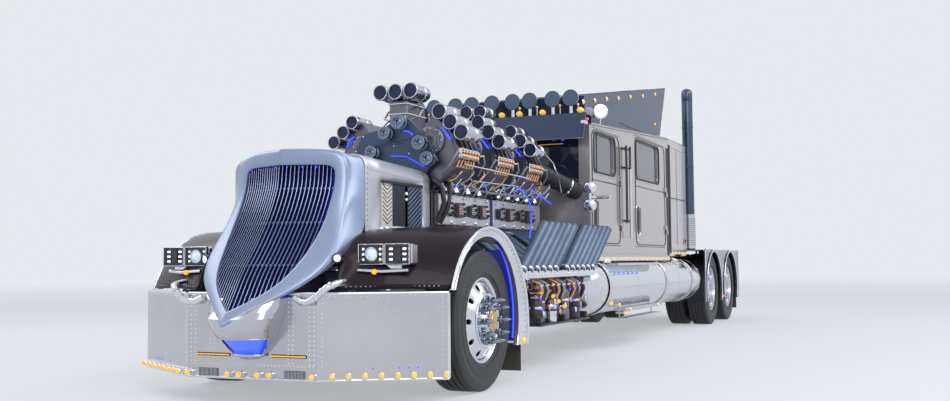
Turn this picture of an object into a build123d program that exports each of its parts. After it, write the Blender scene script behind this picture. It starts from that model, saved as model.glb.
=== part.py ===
from build123d import *
import os
from math import cos, hypot, pi, sin, sqrt

# A long-nose custom tractor unit with an open twin engine, a crew sleeper cab and a tandem drive.
# Lengths are in millimetres. The layout is drawn from the front axle: X to the truck's left,
# Y to the rear, Z up from the ground. The finished part is moved so that its origin lies
# on the ground below the middle of its box.

# Driving dimensions
WHEELBASE = 8748.0          # front axle to first drive axle
TANDEM = 1339.0             # first to second drive axle
NOSE_Y = -1576.0            # tip of the grille shell
TAIL_Y = WHEELBASE + TANDEM + 813.0     # rear end of the chassis rails

TYRE_R = 531.0
TYRE_W = 286.0
RIM_R = 314.0
TYRE_SIDES = 36             # flats round a tyre
FRONT_FACE_X = 1226.0       # outer face of a front tyre
REAR_FACE_X = 1196.0        # outer face of an outer rear tyre
TWIN_GAP = 46.0             # between the side walls of twin tyres
RUN = 0.3                   # gap between a turning piece and what carries it
GAP = 6.0                   # gap round doors

RAIL_X = 430.0              # outer face of a chassis rail
RAIL_T = 80.0
RAIL_H = 260.0
RAIL_TOP = 900.0

CAB_X = 1050.0              # outer face of the cab side
CAB_WALL = 50.0
CAB_FRONT = 3190.0
CAB_REAR = 6660.0
CAB_FLOOR = 995.0           # underside of the cab floor, above the tanks
CAB_ROOF_FRONT = 2420.0
CAB_ROOF_REAR = 2620.0
BOX_FRONT = 6860.0
BOX_REAR = 7990.0

ENGINE_FRONT = 450.0
ENGINE_REAR = 3050.0

HOOD_X = 570.0
HOOD_FRONT = -640.0
HOOD_REAR = 400.0
HOOD_BOTTOM = 1000.0
HOOD_TOP_FRONT = 1760.0
HOOD_TOP_REAR = 1715.0
SHEET = 12.0                # body panel thickness

KINGPIN_X = 950.0
KINGPIN_R = 22.0
SPINDLE_R = 42.0

# Derived places
AXLE_Z = TYRE_R
TYRE_TOP = 2 * TYRE_R
REAR_AXLES = [WHEELBASE, WHEELBASE + TANDEM]
SHIFT_Y = -(NOSE_Y + TAIL_Y) / 2
SIDES = [("left", 1), ("right", -1)]


def box(x0, x1, y0, y1, z0, z1):
    return Pos((x0 + x1) / 2, (y0 + y1) / 2, (z0 + z1) / 2) * Box(x1 - x0, y1 - y0, z1 - z0)


def rod(start, end, radius):
    a = Vector(*start)
    b = Vector(*end)
    return extrude(Plane(origin=a, z_dir=b - a) * Circle(radius), amount=(b - a).length)


def side_prism(points, x0, x1):
    """A (Y, Z) outline pushed out from x0 to x1."""
    outline = Polyline([(x0, y, z) for y, z in points], close=True)
    return extrude(make_face(outline), amount=x1 - x0, dir=(1, 0, 0))


def front_prism(points, y0, y1):
    """An (X, Z) outline pushed back from y0 to y1."""
    outline = Polyline([(x, y0, z) for x, z in points], close=True)
    return extrude(make_face(outline), amount=y1 - y0, dir=(0, 1, 0))


def plan_prism(points, z0, z1):
    """An (X, Y) outline pushed up from z0 to z1."""
    outline = Polyline([(x, y, z0) for x, y in points], close=True)
    return extrude(make_face(outline), amount=z1 - z0, dir=(0, 0, 1))


def side_loft(sections):
    """A ruled body through (Y, Z) outlines, each at its own X."""
    faces = [make_face(Polyline([(x, y, z) for y, z in points], close=True)) for x, points in sections]
    return loft(faces, ruled=True)


def front_loft(sections):
    """A ruled body through (X, Z) outlines, each at its own Y."""
    faces = [make_face(Polyline([(x, y, z) for x, z in points], close=True)) for y, points in sections]
    return loft(faces, ruled=True)


def plan_loft(sections):
    """A ruled body through (X, Y) outlines, each at its own Z."""
    faces = [make_face(Polyline([(x, y, z) for x, y in points], close=True)) for z, points in sections]
    return loft(faces, ruled=True)


def turned(points, x, y, z):
    """A (radius, X offset) outline turned about a cross axis through x, y, z."""
    outline = Polyline([(x + along, y + radius, z) for radius, along in points], close=True)
    return revolve(make_face(outline), axis=Axis((x, y, z), (1, 0, 0)))


def ring_loft(sections, y, z):
    """A ruled body through many-sided rings square to X. Each section: X, radius to the corners."""
    faces = []
    for x, radius in sections:
        turns = [2 * pi * i / TYRE_SIDES for i in range(TYRE_SIDES)]
        faces.append(make_face(Polyline([(x, y + radius * sin(a), z - radius * cos(a)) for a in turns],
                                        close=True)))
    return loft(faces, ruled=True)


def other_side(shape):
    return mirror(shape, about=Plane.YZ)


def both(shape):
    return [shape, other_side(shape)]


def joined(shapes):
    shapes = list(shapes)
    whole = shapes[0]
    for shape in shapes[1:]:
        whole = whole + shape
    return whole


def apart(shapes):
    return Compound(children=[solid for shape in shapes for solid in shape.solids()])


NODES = {}


def keep(name, shape):
    NODES[name] = shape


# Chassis: rails, cross members, front horns for the bumper, and the fifth-wheel bracket
CROSS_Y = [-600.0, 330.0, 3300.0, 5200.0, 6900.0, REAR_AXLES[0] - 648, REAR_AXLES[0] + 669, TAIL_Y - 400]
RAIL_FRONT = -940.0
rail = box(RAIL_X - RAIL_T, RAIL_X, RAIL_FRONT, TAIL_Y, RAIL_TOP - RAIL_H, RAIL_TOP)
rail_hollow = box(RAIL_X - RAIL_T - 1, RAIL_X - SHEET, RAIL_FRONT - 1, TAIL_Y + 1,
                  RAIL_TOP - RAIL_H + SHEET, RAIL_TOP - SHEET)
rails = both(rail - rail_hollow)
members = [box(-RAIL_X + SHEET, RAIL_X - SHEET, y - 45, y + 45, RAIL_TOP - RAIL_H + 30, RAIL_TOP - 40)
           for y in CROSS_Y]
SHAFT_R = 55.0
SHAFT_FRONT = (0.0, ENGINE_REAR + 40.0, 780.0)
SHAFT_REAR = (0.0, REAR_AXLES[0] - 100.0, AXLE_Z)
members = [member - rod(SHAFT_FRONT, SHAFT_REAR, SHAFT_R + 12) for member in members]
FIFTH_Y = (REAR_AXLES[0] + REAR_AXLES[1]) / 2
FIFTH_PIVOT_Z = 1060.0
FIFTH_PIN_R = 25.0
FIFTH_EAR_X = 330.0
ear_outline = [(FIFTH_Y - 220, RAIL_TOP), (FIFTH_Y + 220, RAIL_TOP), (FIFTH_Y + 60, FIFTH_PIVOT_Z + 45),
               (FIFTH_Y - 60, FIFTH_PIVOT_Z + 45)]
ears = both(side_prism(ear_outline, FIFTH_EAR_X + 30, FIFTH_EAR_X + 55))
ear_pins = both(rod((FIFTH_EAR_X - 28, FIFTH_Y, FIFTH_PIVOT_Z), (FIFTH_EAR_X + 54, FIFTH_Y, FIFTH_PIVOT_Z),
                    FIFTH_PIN_R))
keep("chassis_frame", joined(rails + members + ears + ear_pins))

# Fifth wheel: a round plate with a throat open to the rear, rocking on the two pins
FIFTH_R = 460.0
FIFTH_T = 50.0
FIFTH_TOP = FIFTH_PIVOT_Z + 110.0
THROAT_R = 26.0
plate = Pos(0, FIFTH_Y, FIFTH_TOP - FIFTH_T / 2) * Cylinder(FIFTH_R, FIFTH_T)
mouth = [(-THROAT_R, FIFTH_Y), (THROAT_R, FIFTH_Y), (THROAT_R, FIFTH_Y + 180),
         (200, FIFTH_Y + FIFTH_R + 10), (-200, FIFTH_Y + FIFTH_R + 10), (-THROAT_R, FIFTH_Y + 180)]
plate = plate - plan_prism(mouth, FIFTH_TOP - FIFTH_T - 1, FIFTH_TOP + 1)
plate = plate - Pos(0, FIFTH_Y, FIFTH_TOP - FIFTH_T / 2) * Cylinder(THROAT_R, FIFTH_T + 2)
lugs = both(box(FIFTH_EAR_X - 30, FIFTH_EAR_X + 24, FIFTH_Y - 70, FIFTH_Y + 70, FIFTH_PIVOT_Z - 45,
                FIFTH_TOP - FIFTH_T + 1))
bores = both(rod((FIFTH_EAR_X - 40, FIFTH_Y, FIFTH_PIVOT_Z), (FIFTH_EAR_X + 40, FIFTH_Y, FIFTH_PIVOT_Z),
                 FIFTH_PIN_R + RUN))
keep("fifth_wheel_plate", joined([plate] + lugs) - joined(bores))

# Front axle: dropped beam, springs and kingpins, which the knuckles turn on
BEAM_Z = 440.0
beam = joined([box(-KINGPIN_X, KINGPIN_X, -45, 45, BEAM_Z - 50, BEAM_Z + 50)]
              + both(rod((KINGPIN_X, 0, BEAM_Z - 55), (KINGPIN_X, 0, BEAM_Z + 55), 60))
              + both(rod((KINGPIN_X, 0, BEAM_Z - 112), (KINGPIN_X, 0, BEAM_Z + 112), KINGPIN_R))
              + both(box(RAIL_X - 75, RAIL_X - 5, -560, 560, BEAM_Z + 50, BEAM_Z + 90))
              + both(box(RAIL_X - 75, RAIL_X - 5, -560, -500, BEAM_Z + 80, RAIL_TOP - RAIL_H - RUN))
              + both(box(RAIL_X - 75, RAIL_X - 5, 500, 560, BEAM_Z + 80, RAIL_TOP - RAIL_H - RUN)))
keep("front_axle", beam)

# Knuckles: a yoke above and below the beam end, a web outside it, a spindle and a steering arm
ARM_Y = 215.0
ARM_X = KINGPIN_X - 70.0
ROD_R = 20.0
EYE_OUT = 10.0              # the rod's eye is short on the tyre's side
EYE_IN = 32.0
for name, side in SIDES:
    web = box(KINGPIN_X + 68, KINGPIN_X + 98, -70, 70, BEAM_Z - 110, BEAM_Z + 150)
    yokes = [box(KINGPIN_X - 45, KINGPIN_X + 70, -55, 55, z, z + 42) for z in (BEAM_Z - 100, BEAM_Z + 58)]
    spindle = rod((KINGPIN_X + 90, 0, AXLE_Z), (FRONT_FACE_X - 40, 0, AXLE_Z), SPINDLE_R)
    arm = box(KINGPIN_X - 80, KINGPIN_X, 30, 110, BEAM_Z - 100, BEAM_Z - 75)
    arm = arm + box(ARM_X - 22, ARM_X + 22, 100, ARM_Y + 30, BEAM_Z - 100, BEAM_Z - 75)
    knuckle = joined([web, spindle, arm] + yokes)
    knuckle = knuckle - rod((KINGPIN_X, 0, BEAM_Z - 130), (KINGPIN_X, 0, BEAM_Z + 130), KINGPIN_R + RUN)
    keep("knuckle_" + name, knuckle if side > 0 else other_side(knuckle))

# Track rod: slides across above the two steering arms
ROD_Z = BEAM_Z - 75 + 6 + ROD_R
eye = box(ARM_X - EYE_IN, ARM_X + EYE_OUT, ARM_Y - EYE_IN, ARM_Y + ROD_R + 1,
          ROD_Z - ROD_R - 1, ROD_Z + ROD_R + 4)
keep("track_rod", joined([rod((-ARM_X, ARM_Y, ROD_Z), (ARM_X, ARM_Y, ROD_Z), ROD_R)] + both(eye)))

# Front wheels: tyre, then a polished disc wheel with hand holes, a hub and long spiked nuts
HAND_HOLES = 10
NUTS = 10
NUT_CIRCLE = 160.0
NUT_R = 16.0
NUT_TIP_X = 1372.0
SHOULDER = 34.0


def tyre(x_middle, y):
    """Tread, shoulders and side walls, less a bore whose flats stand clear of the wheel."""
    half = TYRE_W / 2
    bead = half * 0.82
    bore_r = RIM_R / cos(pi / TYRE_SIDES)
    wall_r = RIM_R + 60 * (half + 1 - bead) / (half - bead)
    body = ring_loft([(x_middle - half, TYRE_R - SHOULDER * 1.6), (x_middle - half + SHOULDER, TYRE_R),
                      (x_middle + half - SHOULDER, TYRE_R), (x_middle + half, TYRE_R - SHOULDER * 1.6)],
                     y, AXLE_Z)
    bore = ring_loft([(x_middle - half - 1, wall_r), (x_middle - bead, bore_r), (x_middle + bead, bore_r),
                      (x_middle + half + 1, wall_r)], y, AXLE_Z)
    return body - bore


def around(x, y, radius, count, start=0.0):
    """Places round a cross axis at the axle height: (Y, Z) for each of count pieces."""
    steps = [start + 2 * pi * i / count for i in range(count)]
    return [(y + radius * cos(a), AXLE_Z + radius * sin(a)) for a in steps]


FRONT_TYRE_X = FRONT_FACE_X - TYRE_W / 2
RIM_T = 14.0
for name, side in SIDES:
    half = TYRE_W * 0.41
    barrel = [(RIM_R - RUN, -half), (RIM_R - RUN, half), (RIM_R - RIM_T, half),
              (RIM_R - RIM_T - 14, half - 30), (RIM_R - RIM_T - 14, -half + 30), (RIM_R - RIM_T, -half)]
    wheel = turned(barrel, FRONT_TYRE_X, 0, AXLE_Z)
    disc = [(RIM_R - RIM_T - 6, 44), (RIM_R - RIM_T - 6, 64), (215, 92), (190, 92), (190, 72), (208, 72)]
    wheel = wheel + turned(disc, FRONT_TYRE_X, 0, AXLE_Z)
    hub = [(SPINDLE_R + RUN, -25), (110, -25), (120, 60), (200, 66), (200, 92), (128, 92), (110, 150),
           (80, 165), (0.0, 165), (0.0, 112), (SPINDLE_R + RUN, 112)]
    wheel = wheel + turned(hub, FRONT_TYRE_X, 0, AXLE_Z)
    for y, z in around(0, 0, 252, HAND_HOLES, pi / HAND_HOLES):
        wheel = wheel - rod((FRONT_TYRE_X + 40, y, z), (FRONT_TYRE_X + 110, y, z), 27)
    for y, z in around(0, 0, NUT_CIRCLE, NUTS):
        wheel = wheel + rod((FRONT_TYRE_X + 80, y, z), (NUT_TIP_X - 60, y, z), NUT_R)
        tip = Plane(origin=(NUT_TIP_X - 30, y, z), z_dir=(1, 0, 0)) * Cone(NUT_R, 3, 61)
        wheel = wheel + tip
    tread = tyre(FRONT_TYRE_X, 0)
    keep("front_tyre_" + name, tread if side > 0 else other_side(tread))
    keep("front_wheel_" + name, wheel if side > 0 else other_side(wheel))

# Rear axles: housings, spring stacks and drive shafts
HOUSING_R = 85.0
STUB_R = 60.0
INNER_TYRE_X = REAR_FACE_X - TYRE_W * 1.5 - TWIN_GAP
OUTER_TYRE_X = REAR_FACE_X - TYRE_W / 2
axles = []
for y in REAR_AXLES:
    axle = [rod((-560, y, AXLE_Z), (560, y, AXLE_Z), HOUSING_R)]
    axle.append(rod((0, y - 150, AXLE_Z), (0, y + 150, AXLE_Z), 195))
    axle += both(rod((550, y, AXLE_Z), (OUTER_TYRE_X + 40, y, AXLE_Z), STUB_R))
    axle += both(box(RAIL_X - 75, RAIL_X - 5, y - 130, y + 130, AXLE_Z + 30, RAIL_TOP - RAIL_H - RUN))
    axles += axle
axles.append(rod((0, ENGINE_REAR + RUN, SHAFT_FRONT[2]), (0, ENGINE_REAR + 90, SHAFT_FRONT[2]), 90))
axles.append(rod(SHAFT_FRONT, SHAFT_REAR, SHAFT_R))
axles.append(rod((0, REAR_AXLES[0], AXLE_Z), (0, REAR_AXLES[1], AXLE_Z), 50))
keep("rear_axles", joined(axles))

# Rear twin wheels: two tyres on one deep wheel
for row, y in enumerate(REAR_AXLES, 1):
    for name, side in SIDES:
        tyres = [tyre(INNER_TYRE_X, y), tyre(OUTER_TYRE_X, y)]
        half = TYRE_W * 0.41
        inner_edge = INNER_TYRE_X - OUTER_TYRE_X - half
        barrel = [(RIM_R - RUN, inner_edge), (RIM_R - RUN, half), (RIM_R - RIM_T, half),
                  (RIM_R - RIM_T - 14, half - 40), (RIM_R - RIM_T - 14, inner_edge + 30),
                  (RIM_R - RIM_T, inner_edge)]
        wheel = turned(barrel, OUTER_TYRE_X, y, AXLE_Z)
        disc = [(STUB_R + RUN, -150), (RIM_R - RIM_T - 8, -150), (RIM_R - RIM_T - 8, -120), (125, -120),
                (118, 60), (90, 92), (0.0, 92), (0.0, 45), (STUB_R + RUN, 45)]
        wheel = wheel + turned(disc, OUTER_TYRE_X, y, AXLE_Z)
        for hy, hz in around(0, y, 235, HAND_HOLES, pi / HAND_HOLES):
            wheel = wheel - rod((OUTER_TYRE_X - 170, hy, hz), (OUTER_TYRE_X - 100, hy, hz), 27)
        for ny, nz in around(0, y, 165, NUTS):
            wheel = wheel + rod((OUTER_TYRE_X - 125, ny, nz), (OUTER_TYRE_X - 50, ny, nz), NUT_R)
        place = name + "_" + str(row)
        keep("rear_tyres_" + place, apart(tyres if side > 0 else [other_side(t) for t in tyres]))
        keep("rear_wheel_" + place, wheel if side > 0 else other_side(wheel))

# Front bumper: flat middle, swept wings, one bent sheet
BUMPER_FLAT_X = 532.0
BUMPER_Y = -1227.0
BUMPER_END = (1287.0, -769.0)
BUMPER_LOW = 180.0
BUMPER_HIGH = 765.0
BUMPER_T = 25.0
wing_length = hypot(BUMPER_END[0] - BUMPER_FLAT_X, BUMPER_END[1] - BUMPER_Y)
wing_across = (BUMPER_END[0] - BUMPER_FLAT_X) / wing_length
wing_back = (BUMPER_END[1] - BUMPER_Y) / wing_length
mitre = BUMPER_T * (1 - wing_across) / wing_back
bumper_plan = [(-BUMPER_FLAT_X, BUMPER_Y), (BUMPER_FLAT_X, BUMPER_Y), BUMPER_END,
               (BUMPER_END[0] - BUMPER_T * wing_back, BUMPER_END[1] + BUMPER_T * wing_across),
               (BUMPER_FLAT_X - mitre, BUMPER_Y + BUMPER_T), (-BUMPER_FLAT_X + mitre, BUMPER_Y + BUMPER_T),
               (-BUMPER_END[0] + BUMPER_T * wing_back, BUMPER_END[1] + BUMPER_T * wing_across),
               (-BUMPER_END[0], BUMPER_END[1])]
bumper = plan_prism(bumper_plan, BUMPER_LOW, BUMPER_HIGH)
bumper = bumper + joined(both(box(RAIL_X - RAIL_T, RAIL_X, BUMPER_Y + BUMPER_T - 1, RAIL_FRONT - RUN,
                                  RAIL_TOP - RAIL_H, BUMPER_HIGH - 20)))
keep("front_bumper", bumper)

# Marker lamps: bullet lamps along the bumper, sill lamps under the cab, lamps on the roof visor
LAMP_R = 24.0
LAMP_Z = 213.0
FLAT_LAMPS_X = [75.0, 170.0, 510.0]
WING_LAMPS = 8
lamps = []
for x in FLAT_LAMPS_X:
    lamps += both(rod((x, BUMPER_Y - 70, LAMP_Z), (x, BUMPER_Y, LAMP_Z), LAMP_R))
for i in range(WING_LAMPS):
    along = wing_length * (i + 0.9) / (WING_LAMPS + 0.1)
    x = BUMPER_FLAT_X + along * wing_across
    y = BUMPER_Y + along * wing_back
    lamps += both(rod((x + 70 * wing_back, y - 70 * wing_across, LAMP_Z), (x, y, LAMP_Z), LAMP_R))
SILL_LAMPS = 14
BOX_LAMPS = 5
SILL_Z = 985.0
for i in range(SILL_LAMPS):
    y = CAB_FRONT + 350 + i * (CAB_REAR - CAB_FRONT - 420) / (SILL_LAMPS - 1)
    lamps += both(rod((CAB_X, y, SILL_Z), (CAB_X + 35, y, SILL_Z), 22))
for i in range(BOX_LAMPS):
    y = BOX_FRONT + 130 + i * (BOX_REAR - BOX_FRONT - 260) / (BOX_LAMPS - 1)
    lamps += both(rod((1000, y, 1060), (1035, y, 1060), 20))
VISOR_LAMPS_X = [170.0, 370.0, 630.0, 1040.0]
VISOR_TOP = 2485.0
for x in VISOR_LAMPS_X:
    lamps += both(rod((x, 2985, VISOR_TOP + 32 + RUN), (x, 3085, VISOR_TOP + 32 + RUN), 32))
keep("marker_lamps", apart(lamps))

# Grille shell: a keel forward along the middle, two flanks swept back to the hood, narrowing downward
# to a point. Each level: height, keel Y, half width at the front, half width and Y at the back.
HOOD_SEAM = HOOD_FRONT - RUN
SHELL_LEVELS = [
    (1779.0, -888.0, 300.0, 340.0, HOOD_SEAM),
    (1765.0, -889.0, 375.0, 440.0, HOOD_SEAM),
    (1740.0, -890.0, 420.0, 520.0, HOOD_SEAM),
    (1700.0, -893.0, 445.0, 555.0, HOOD_SEAM),
    (1600.0, -907.0, 460.0, HOOD_X, HOOD_SEAM),
    (1501.0, -925.0, 467.0, HOOD_X, HOOD_SEAM),
    (1400.0, -968.0, 477.0, HOOD_X, HOOD_SEAM),
    (1284.0, -1036.0, 491.0, HOOD_X, HOOD_SEAM),
    (1180.0, -1109.0, 512.0, HOOD_X, -660.0),
    (1090.0, -1176.0, 534.0, 560.0, -780.0),
    (1000.0, -1253.0, 525.0, 537.0, -945.0),
    (905.0, -1330.0, 474.0, 485.0, -1060.0),
    (825.0, -1384.0, 400.0, 410.0, -1165.0),
    (735.0, -1442.0, 305.0, 315.0, -1255.0),
    (640.0, -1506.0, 180.0, 190.0, -1370.0),
    (548.0, NOSE_Y, 15.0, 20.0, -1500.0),
]
FLANK_SLOPE = 0.403         # how far a flank falls back for each step outward
FLANK_SWELL = 0.02
RIM_BACK = 22.0             # its rim is rolled back by this much
# The opening in it, for the bars
OPENING_TOP = 1654.0
OPENING_LOW = 674.0
OPENING_X = 385.0
OPENING_BEND = 1200.0       # above this height its sides are upright
OPENING_CURVE = 0.45        # below it they draw in along this power of the height


def keel_y(z):
    """The keel's Y at a height, between the levels of the shell."""
    levels = sorted(SHELL_LEVELS)
    for low, high in zip(levels, levels[1:]):
        if z <= high[0]:
            part = (z - low[0]) / (high[0] - low[0])
            return low[1] + part * (high[1] - low[1])
    return levels[-1][1]


def opening_half(z):
    """Half the width of the opening at a height: straight, then in to a point."""
    if z >= OPENING_BEND:
        return OPENING_X
    return OPENING_X * max(0.0, (z - OPENING_LOW) / (OPENING_BEND - OPENING_LOW)) ** OPENING_CURVE


shell_sections = []
for z, keel, half, back_x, back_y in SHELL_LEVELS:
    flank = [(part * half, keel + half * (part * FLANK_SLOPE - swell))
             for part, swell in ((0.5, FLANK_SWELL), (0.9, FLANK_SWELL / 3))]
    left = flank + [(half, keel + half * FLANK_SLOPE + RIM_BACK), (back_x, back_y)]
    shell_sections.append((z, [(0.0, keel)] + left + [(-x, y) for x, y in reversed(left)]))
shell = plan_loft(shell_sections)
OPENING_LEVELS = [OPENING_TOP, OPENING_BEND, 1120.0, 1030.0, 940.0, 860.0, 790.0, 735.0, 700.0,
                  OPENING_LOW + 4]
opening_sections = []
for z in OPENING_LEVELS:
    half = opening_half(z)
    front = keel_y(z)
    opening_sections.append((z, [(0.0, front - 60), (half, front - 60 + half * FLANK_SLOPE),
                                 (half, front + 700), (-half, front + 700),
                                 (-half, front - 60 + half * FLANK_SLOPE)]))
opening = plan_loft(opening_sections)
shell = shell - opening - box(-600, 600, BUMPER_Y - RUN, 0, 0, BUMPER_HIGH + 5)
keep("grille_shell", shell)

# Grille bars: upright strips that follow the keel's line, on three cross strips behind
BARS = 14
BAR_T = 9.0
BAR_DEPTH = 36.0
BAR_BACK = 22.0             # how far they stand behind the shell's face
BAR_STEPS = 9
bars = []
for i in range(BARS):
    x = (i + 0.5) * OPENING_X / BARS
    low = OPENING_LOW + (x / OPENING_X) ** (1 / OPENING_CURVE) * (OPENING_BEND - OPENING_LOW)
    heights = [low + (OPENING_TOP - low) * k / BAR_STEPS for k in range(BAR_STEPS + 1)]
    front = [(keel_y(z) + x * FLANK_SLOPE + BAR_BACK, z) for z in heights]
    back = [(y + BAR_DEPTH, z) for y, z in reversed(front)]
    bars += both(side_prism(front + back, x - BAR_T / 2, x + BAR_T / 2))
TIE_HEIGHTS = [950.0, 1250.0, 1500.0]
TIE = 14.0
ties = []
for z in TIE_HEIGHTS:
    half = opening_half(z)
    y = keel_y(z) + BAR_BACK + BAR_DEPTH - 4
    tie = [(0.0, y), (half, y + half * FLANK_SLOPE), (half, y + half * FLANK_SLOPE + TIE), (0.0, y + TIE),
           (-half, y + half * FLANK_SLOPE + TIE), (-half, y + half * FLANK_SLOPE)]
    ties.append(plan_prism(tie, z, z + TIE))
keep("grille_bars", joined(bars + ties) - shell)

# Chin scoop: a bow from under the shell's point back to the bumper, with a mouth near the ground.
# Each level: height, front Y, half width.
CHIN_LEVELS = [(317.0, -1290.0, 45.0), (335.0, -1345.0, 75.0), (380.0, -1405.0, 95.0),
               (455.0, -1482.0, 112.0), (520.0, -1538.0, 150.0), (600.0, -1528.0, 205.0),
               (680.0, -1470.0, 265.0), (735.0, -1420.0, 300.0)]
# Its mouth's levels: height, front Y, rear Y, half width
CHIN_MOUTH = [(350.0, -1440.0, -1320.0, 58.0), (445.0, -1540.0, -1420.0, 84.0)]
CHIN_STEPS = 5
CHIN_BACK = BUMPER_Y - RUN
chin_sections = []
for z, front, half in CHIN_LEVELS:
    turns = [pi / 2 * k / CHIN_STEPS for k in range(-CHIN_STEPS, CHIN_STEPS + 1)]
    chin_sections.append((z, [(half * sin(a), CHIN_BACK + (front - CHIN_BACK) * cos(a)) for a in turns]))
chin_mouth = plan_loft([(z, [(-half, front), (half, front), (half, rear), (-half, rear)])
                        for z, front, rear, half in CHIN_MOUTH])
keep("chin_scoop", plan_loft(chin_sections) - chin_mouth - opening - shell)

# Hood box: side panels with a screened opening, folded over to the top along a wide bend
HOOD_SIDE_HOLE = (-400.0, 270.0, 1235.0, 1570.0)
HOOD_BEND = 95.0
BEND_STEPS = 6


def hood_section(inset, top):
    """The hood's (X, Z) outline, drawn in by a sheet's thickness or not at all."""
    bend = HOOD_BEND - inset
    centre_x = HOOD_X - HOOD_BEND
    centre_z = top - HOOD_BEND
    turns = [pi / 2 * k / BEND_STEPS for k in range(BEND_STEPS + 1)]
    right = [(centre_x + bend * cos(a), centre_z + bend * sin(a)) for a in turns]
    right.insert(0, (HOOD_X - inset, HOOD_BOTTOM - inset))
    return right + [(-x, z) for x, z in reversed(right)]


hood = front_loft([(HOOD_FRONT, hood_section(0, HOOD_TOP_FRONT)),
                   (HOOD_REAR, hood_section(0, HOOD_TOP_REAR))])
hood = hood - front_loft([(HOOD_FRONT - 1, hood_section(SHEET, HOOD_TOP_FRONT)),
                          (HOOD_REAR + 1, hood_section(SHEET, HOOD_TOP_REAR))])
y0, y1, z0, z1 = HOOD_SIDE_HOLE
hood = hood - box(-HOOD_X - 1, HOOD_X + 1, y0, y1, z0, z1)
keep("hood_box", hood)

# Cooling pack: radiator behind the grille and the two side screens
core = box(-HOOD_X + SHEET + RUN, HOOD_X - SHEET - RUN, -500, -400.5, HOOD_BOTTOM - 60, 1640)
screens = both(box(HOOD_X - SHEET, HOOD_X - 4, y0 + RUN, y1 - RUN, z0 + RUN, z1 - RUN))
keep("cooling_pack", apart([core] + screens))

# Front fenders: a crowned wing over the wheel with a swept front, a band round the wheel's rear,
# and a lip round the arch that widens to the rear. Its two edges are circles of their own.
ARCH_OUT = (-24.0, AXLE_Z - 64, TYRE_R + 221)
ARCH_IN = (-74.0, AXLE_Z + 6, TYRE_R + 91)
LIP_FOOT = 310.0
FENDER_X = 1275.0
FENDER_MIDDLE_X = 920.0
FENDER_IN_X = HOOD_X + RUN
FENDER_FOOT = BUMPER_HIGH + 10
FENDER_T = 15.0
FENDER_CROWN = 14.0
# Each line across the wing: Y and height above the tyre at its inner edge, Y at the outer edge
WING_LINES = [(-1022.0, -130.0, -620.0), (-900.0, -4.0, -528.0), (-741.0, 109.0, -400.0),
              (-560.0, 138.0, -200.0), (-250.0, 151.0, -24.0), (100.0, 151.0, 200.0), (450.0, 128.0, 420.0)]


def arch_disc(arch, x0, x1, less=0.0):
    y, z, radius = arch
    return rod((x0, y, z), (x1, y, z), radius - less)


def arch_height(y):
    """The height of the arch's outer edge at a place along the truck."""
    return ARCH_OUT[1] + sqrt(ARCH_OUT[2] ** 2 - (y - ARCH_OUT[0]) ** 2)


wing_in = [(-1060.0, FENDER_FOOT)] + [(y, TYRE_TOP + rise) for y, rise, outer in WING_LINES]
wing_out = [(-708.0, FENDER_FOOT)] + [(outer, arch_height(outer)) for y, rise, outer in WING_LINES]
share = (FENDER_MIDDLE_X - FENDER_IN_X) / (FENDER_X - FENDER_IN_X)
wing_middle = [(a[0] + share * (b[0] - a[0]), a[1] + share * (b[1] - a[1]) + FENDER_CROWN)
               for a, b in zip(wing_in, wing_out)]
wing_lines = [(FENDER_IN_X, wing_in), (FENDER_MIDDLE_X, wing_middle), (FENDER_X, wing_out)]
wing_rear = [(450.0, FENDER_FOOT)]
fender = side_loft([(x, line + wing_rear) for x, line in wing_lines])
hollow = []
for x, line in wing_lines:
    within = [(y + FENDER_T, z - FENDER_T) for y, z in line[1:]]
    hollow.append((x, within + [(within[-1][0] + 60, within[-1][1]), (within[-1][0] + 60, 700.0),
                                (line[0][0] + FENDER_T, 700.0)]))
hollow[0] = (FENDER_IN_X - 1, hollow[0][1])
hollow[2] = (FENDER_X - FENDER_T, hollow[2][1])
fender = fender - side_loft(hollow) - arch_disc(ARCH_IN, FENDER_X - 30, FENDER_X + 60)
band = arch_disc(ARCH_OUT, 900, FENDER_X) - arch_disc(ARCH_OUT, 890, FENDER_X + 1, FENDER_T)
band = band & box(880, FENDER_X + 5, 240, 900, LIP_FOOT, 1500)
lip = arch_disc(ARCH_OUT, FENDER_X - 15, FENDER_X + 12) - arch_disc(ARCH_IN, FENDER_X - 20, FENDER_X + 20)
lip = lip & side_prism([(-900, FENDER_FOOT), (0, FENDER_FOOT), (0, LIP_FOOT), (1000, LIP_FOOT), (1000, 1500),
                        (-900, 1500)], 1200, FENDER_X + 20)
keep("front_fenders", apart(both(joined([fender, band, lip]))))

# Headlights: a case with a round projector and a bank of diodes set back in it, on a bracket
LIGHT = (849.0, -824.0, 1025.0)
LIGHT_HALF = (205.0, 60.0, 75.0)
LIGHT_EDGE = 14.0
x, y, z = LIGHT
half_x, half_y, half_z = LIGHT_HALF
light = box(x - half_x, x + half_x, y - half_y, y + half_y, z - half_z, z + half_z)
light = fillet(light.edges().filter_by(Axis.Y), LIGHT_EDGE)
face_y = y - half_y
light = light - box(x - half_x + 12, x + half_x - 12, face_y - 1, face_y + 26,
                    z - half_z + 12, z + half_z - 12)
projector = turned([(0.0, 0.0), (54.0, 0.0), (54.0, 24.0), (38.0, 30.0), (16.0, 36.0), (0.0, 36.0)], 0, 0, 0)
projector = Pos(x - 95, face_y + 27, z) * (Rot(0, 0, -90) * projector)
diodes = [box(x + 14 + 58 * i, x + 62 + 58 * i, face_y + 8, face_y + 27, z - 50 + 36 * k, z - 22 + 36 * k)
          for i in range(3) for k in range(3)]
bracket = box(x - 120, x + 120, y - 30, y + 20, z - 130, z - 74)
stem = box(x - 25, x + 25, y - 25, y + 15, 780, z - 120)
headlight = joined([light, projector, bracket, stem] + diodes) - fender
keep("headlights", apart(both(headlight)))

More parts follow.
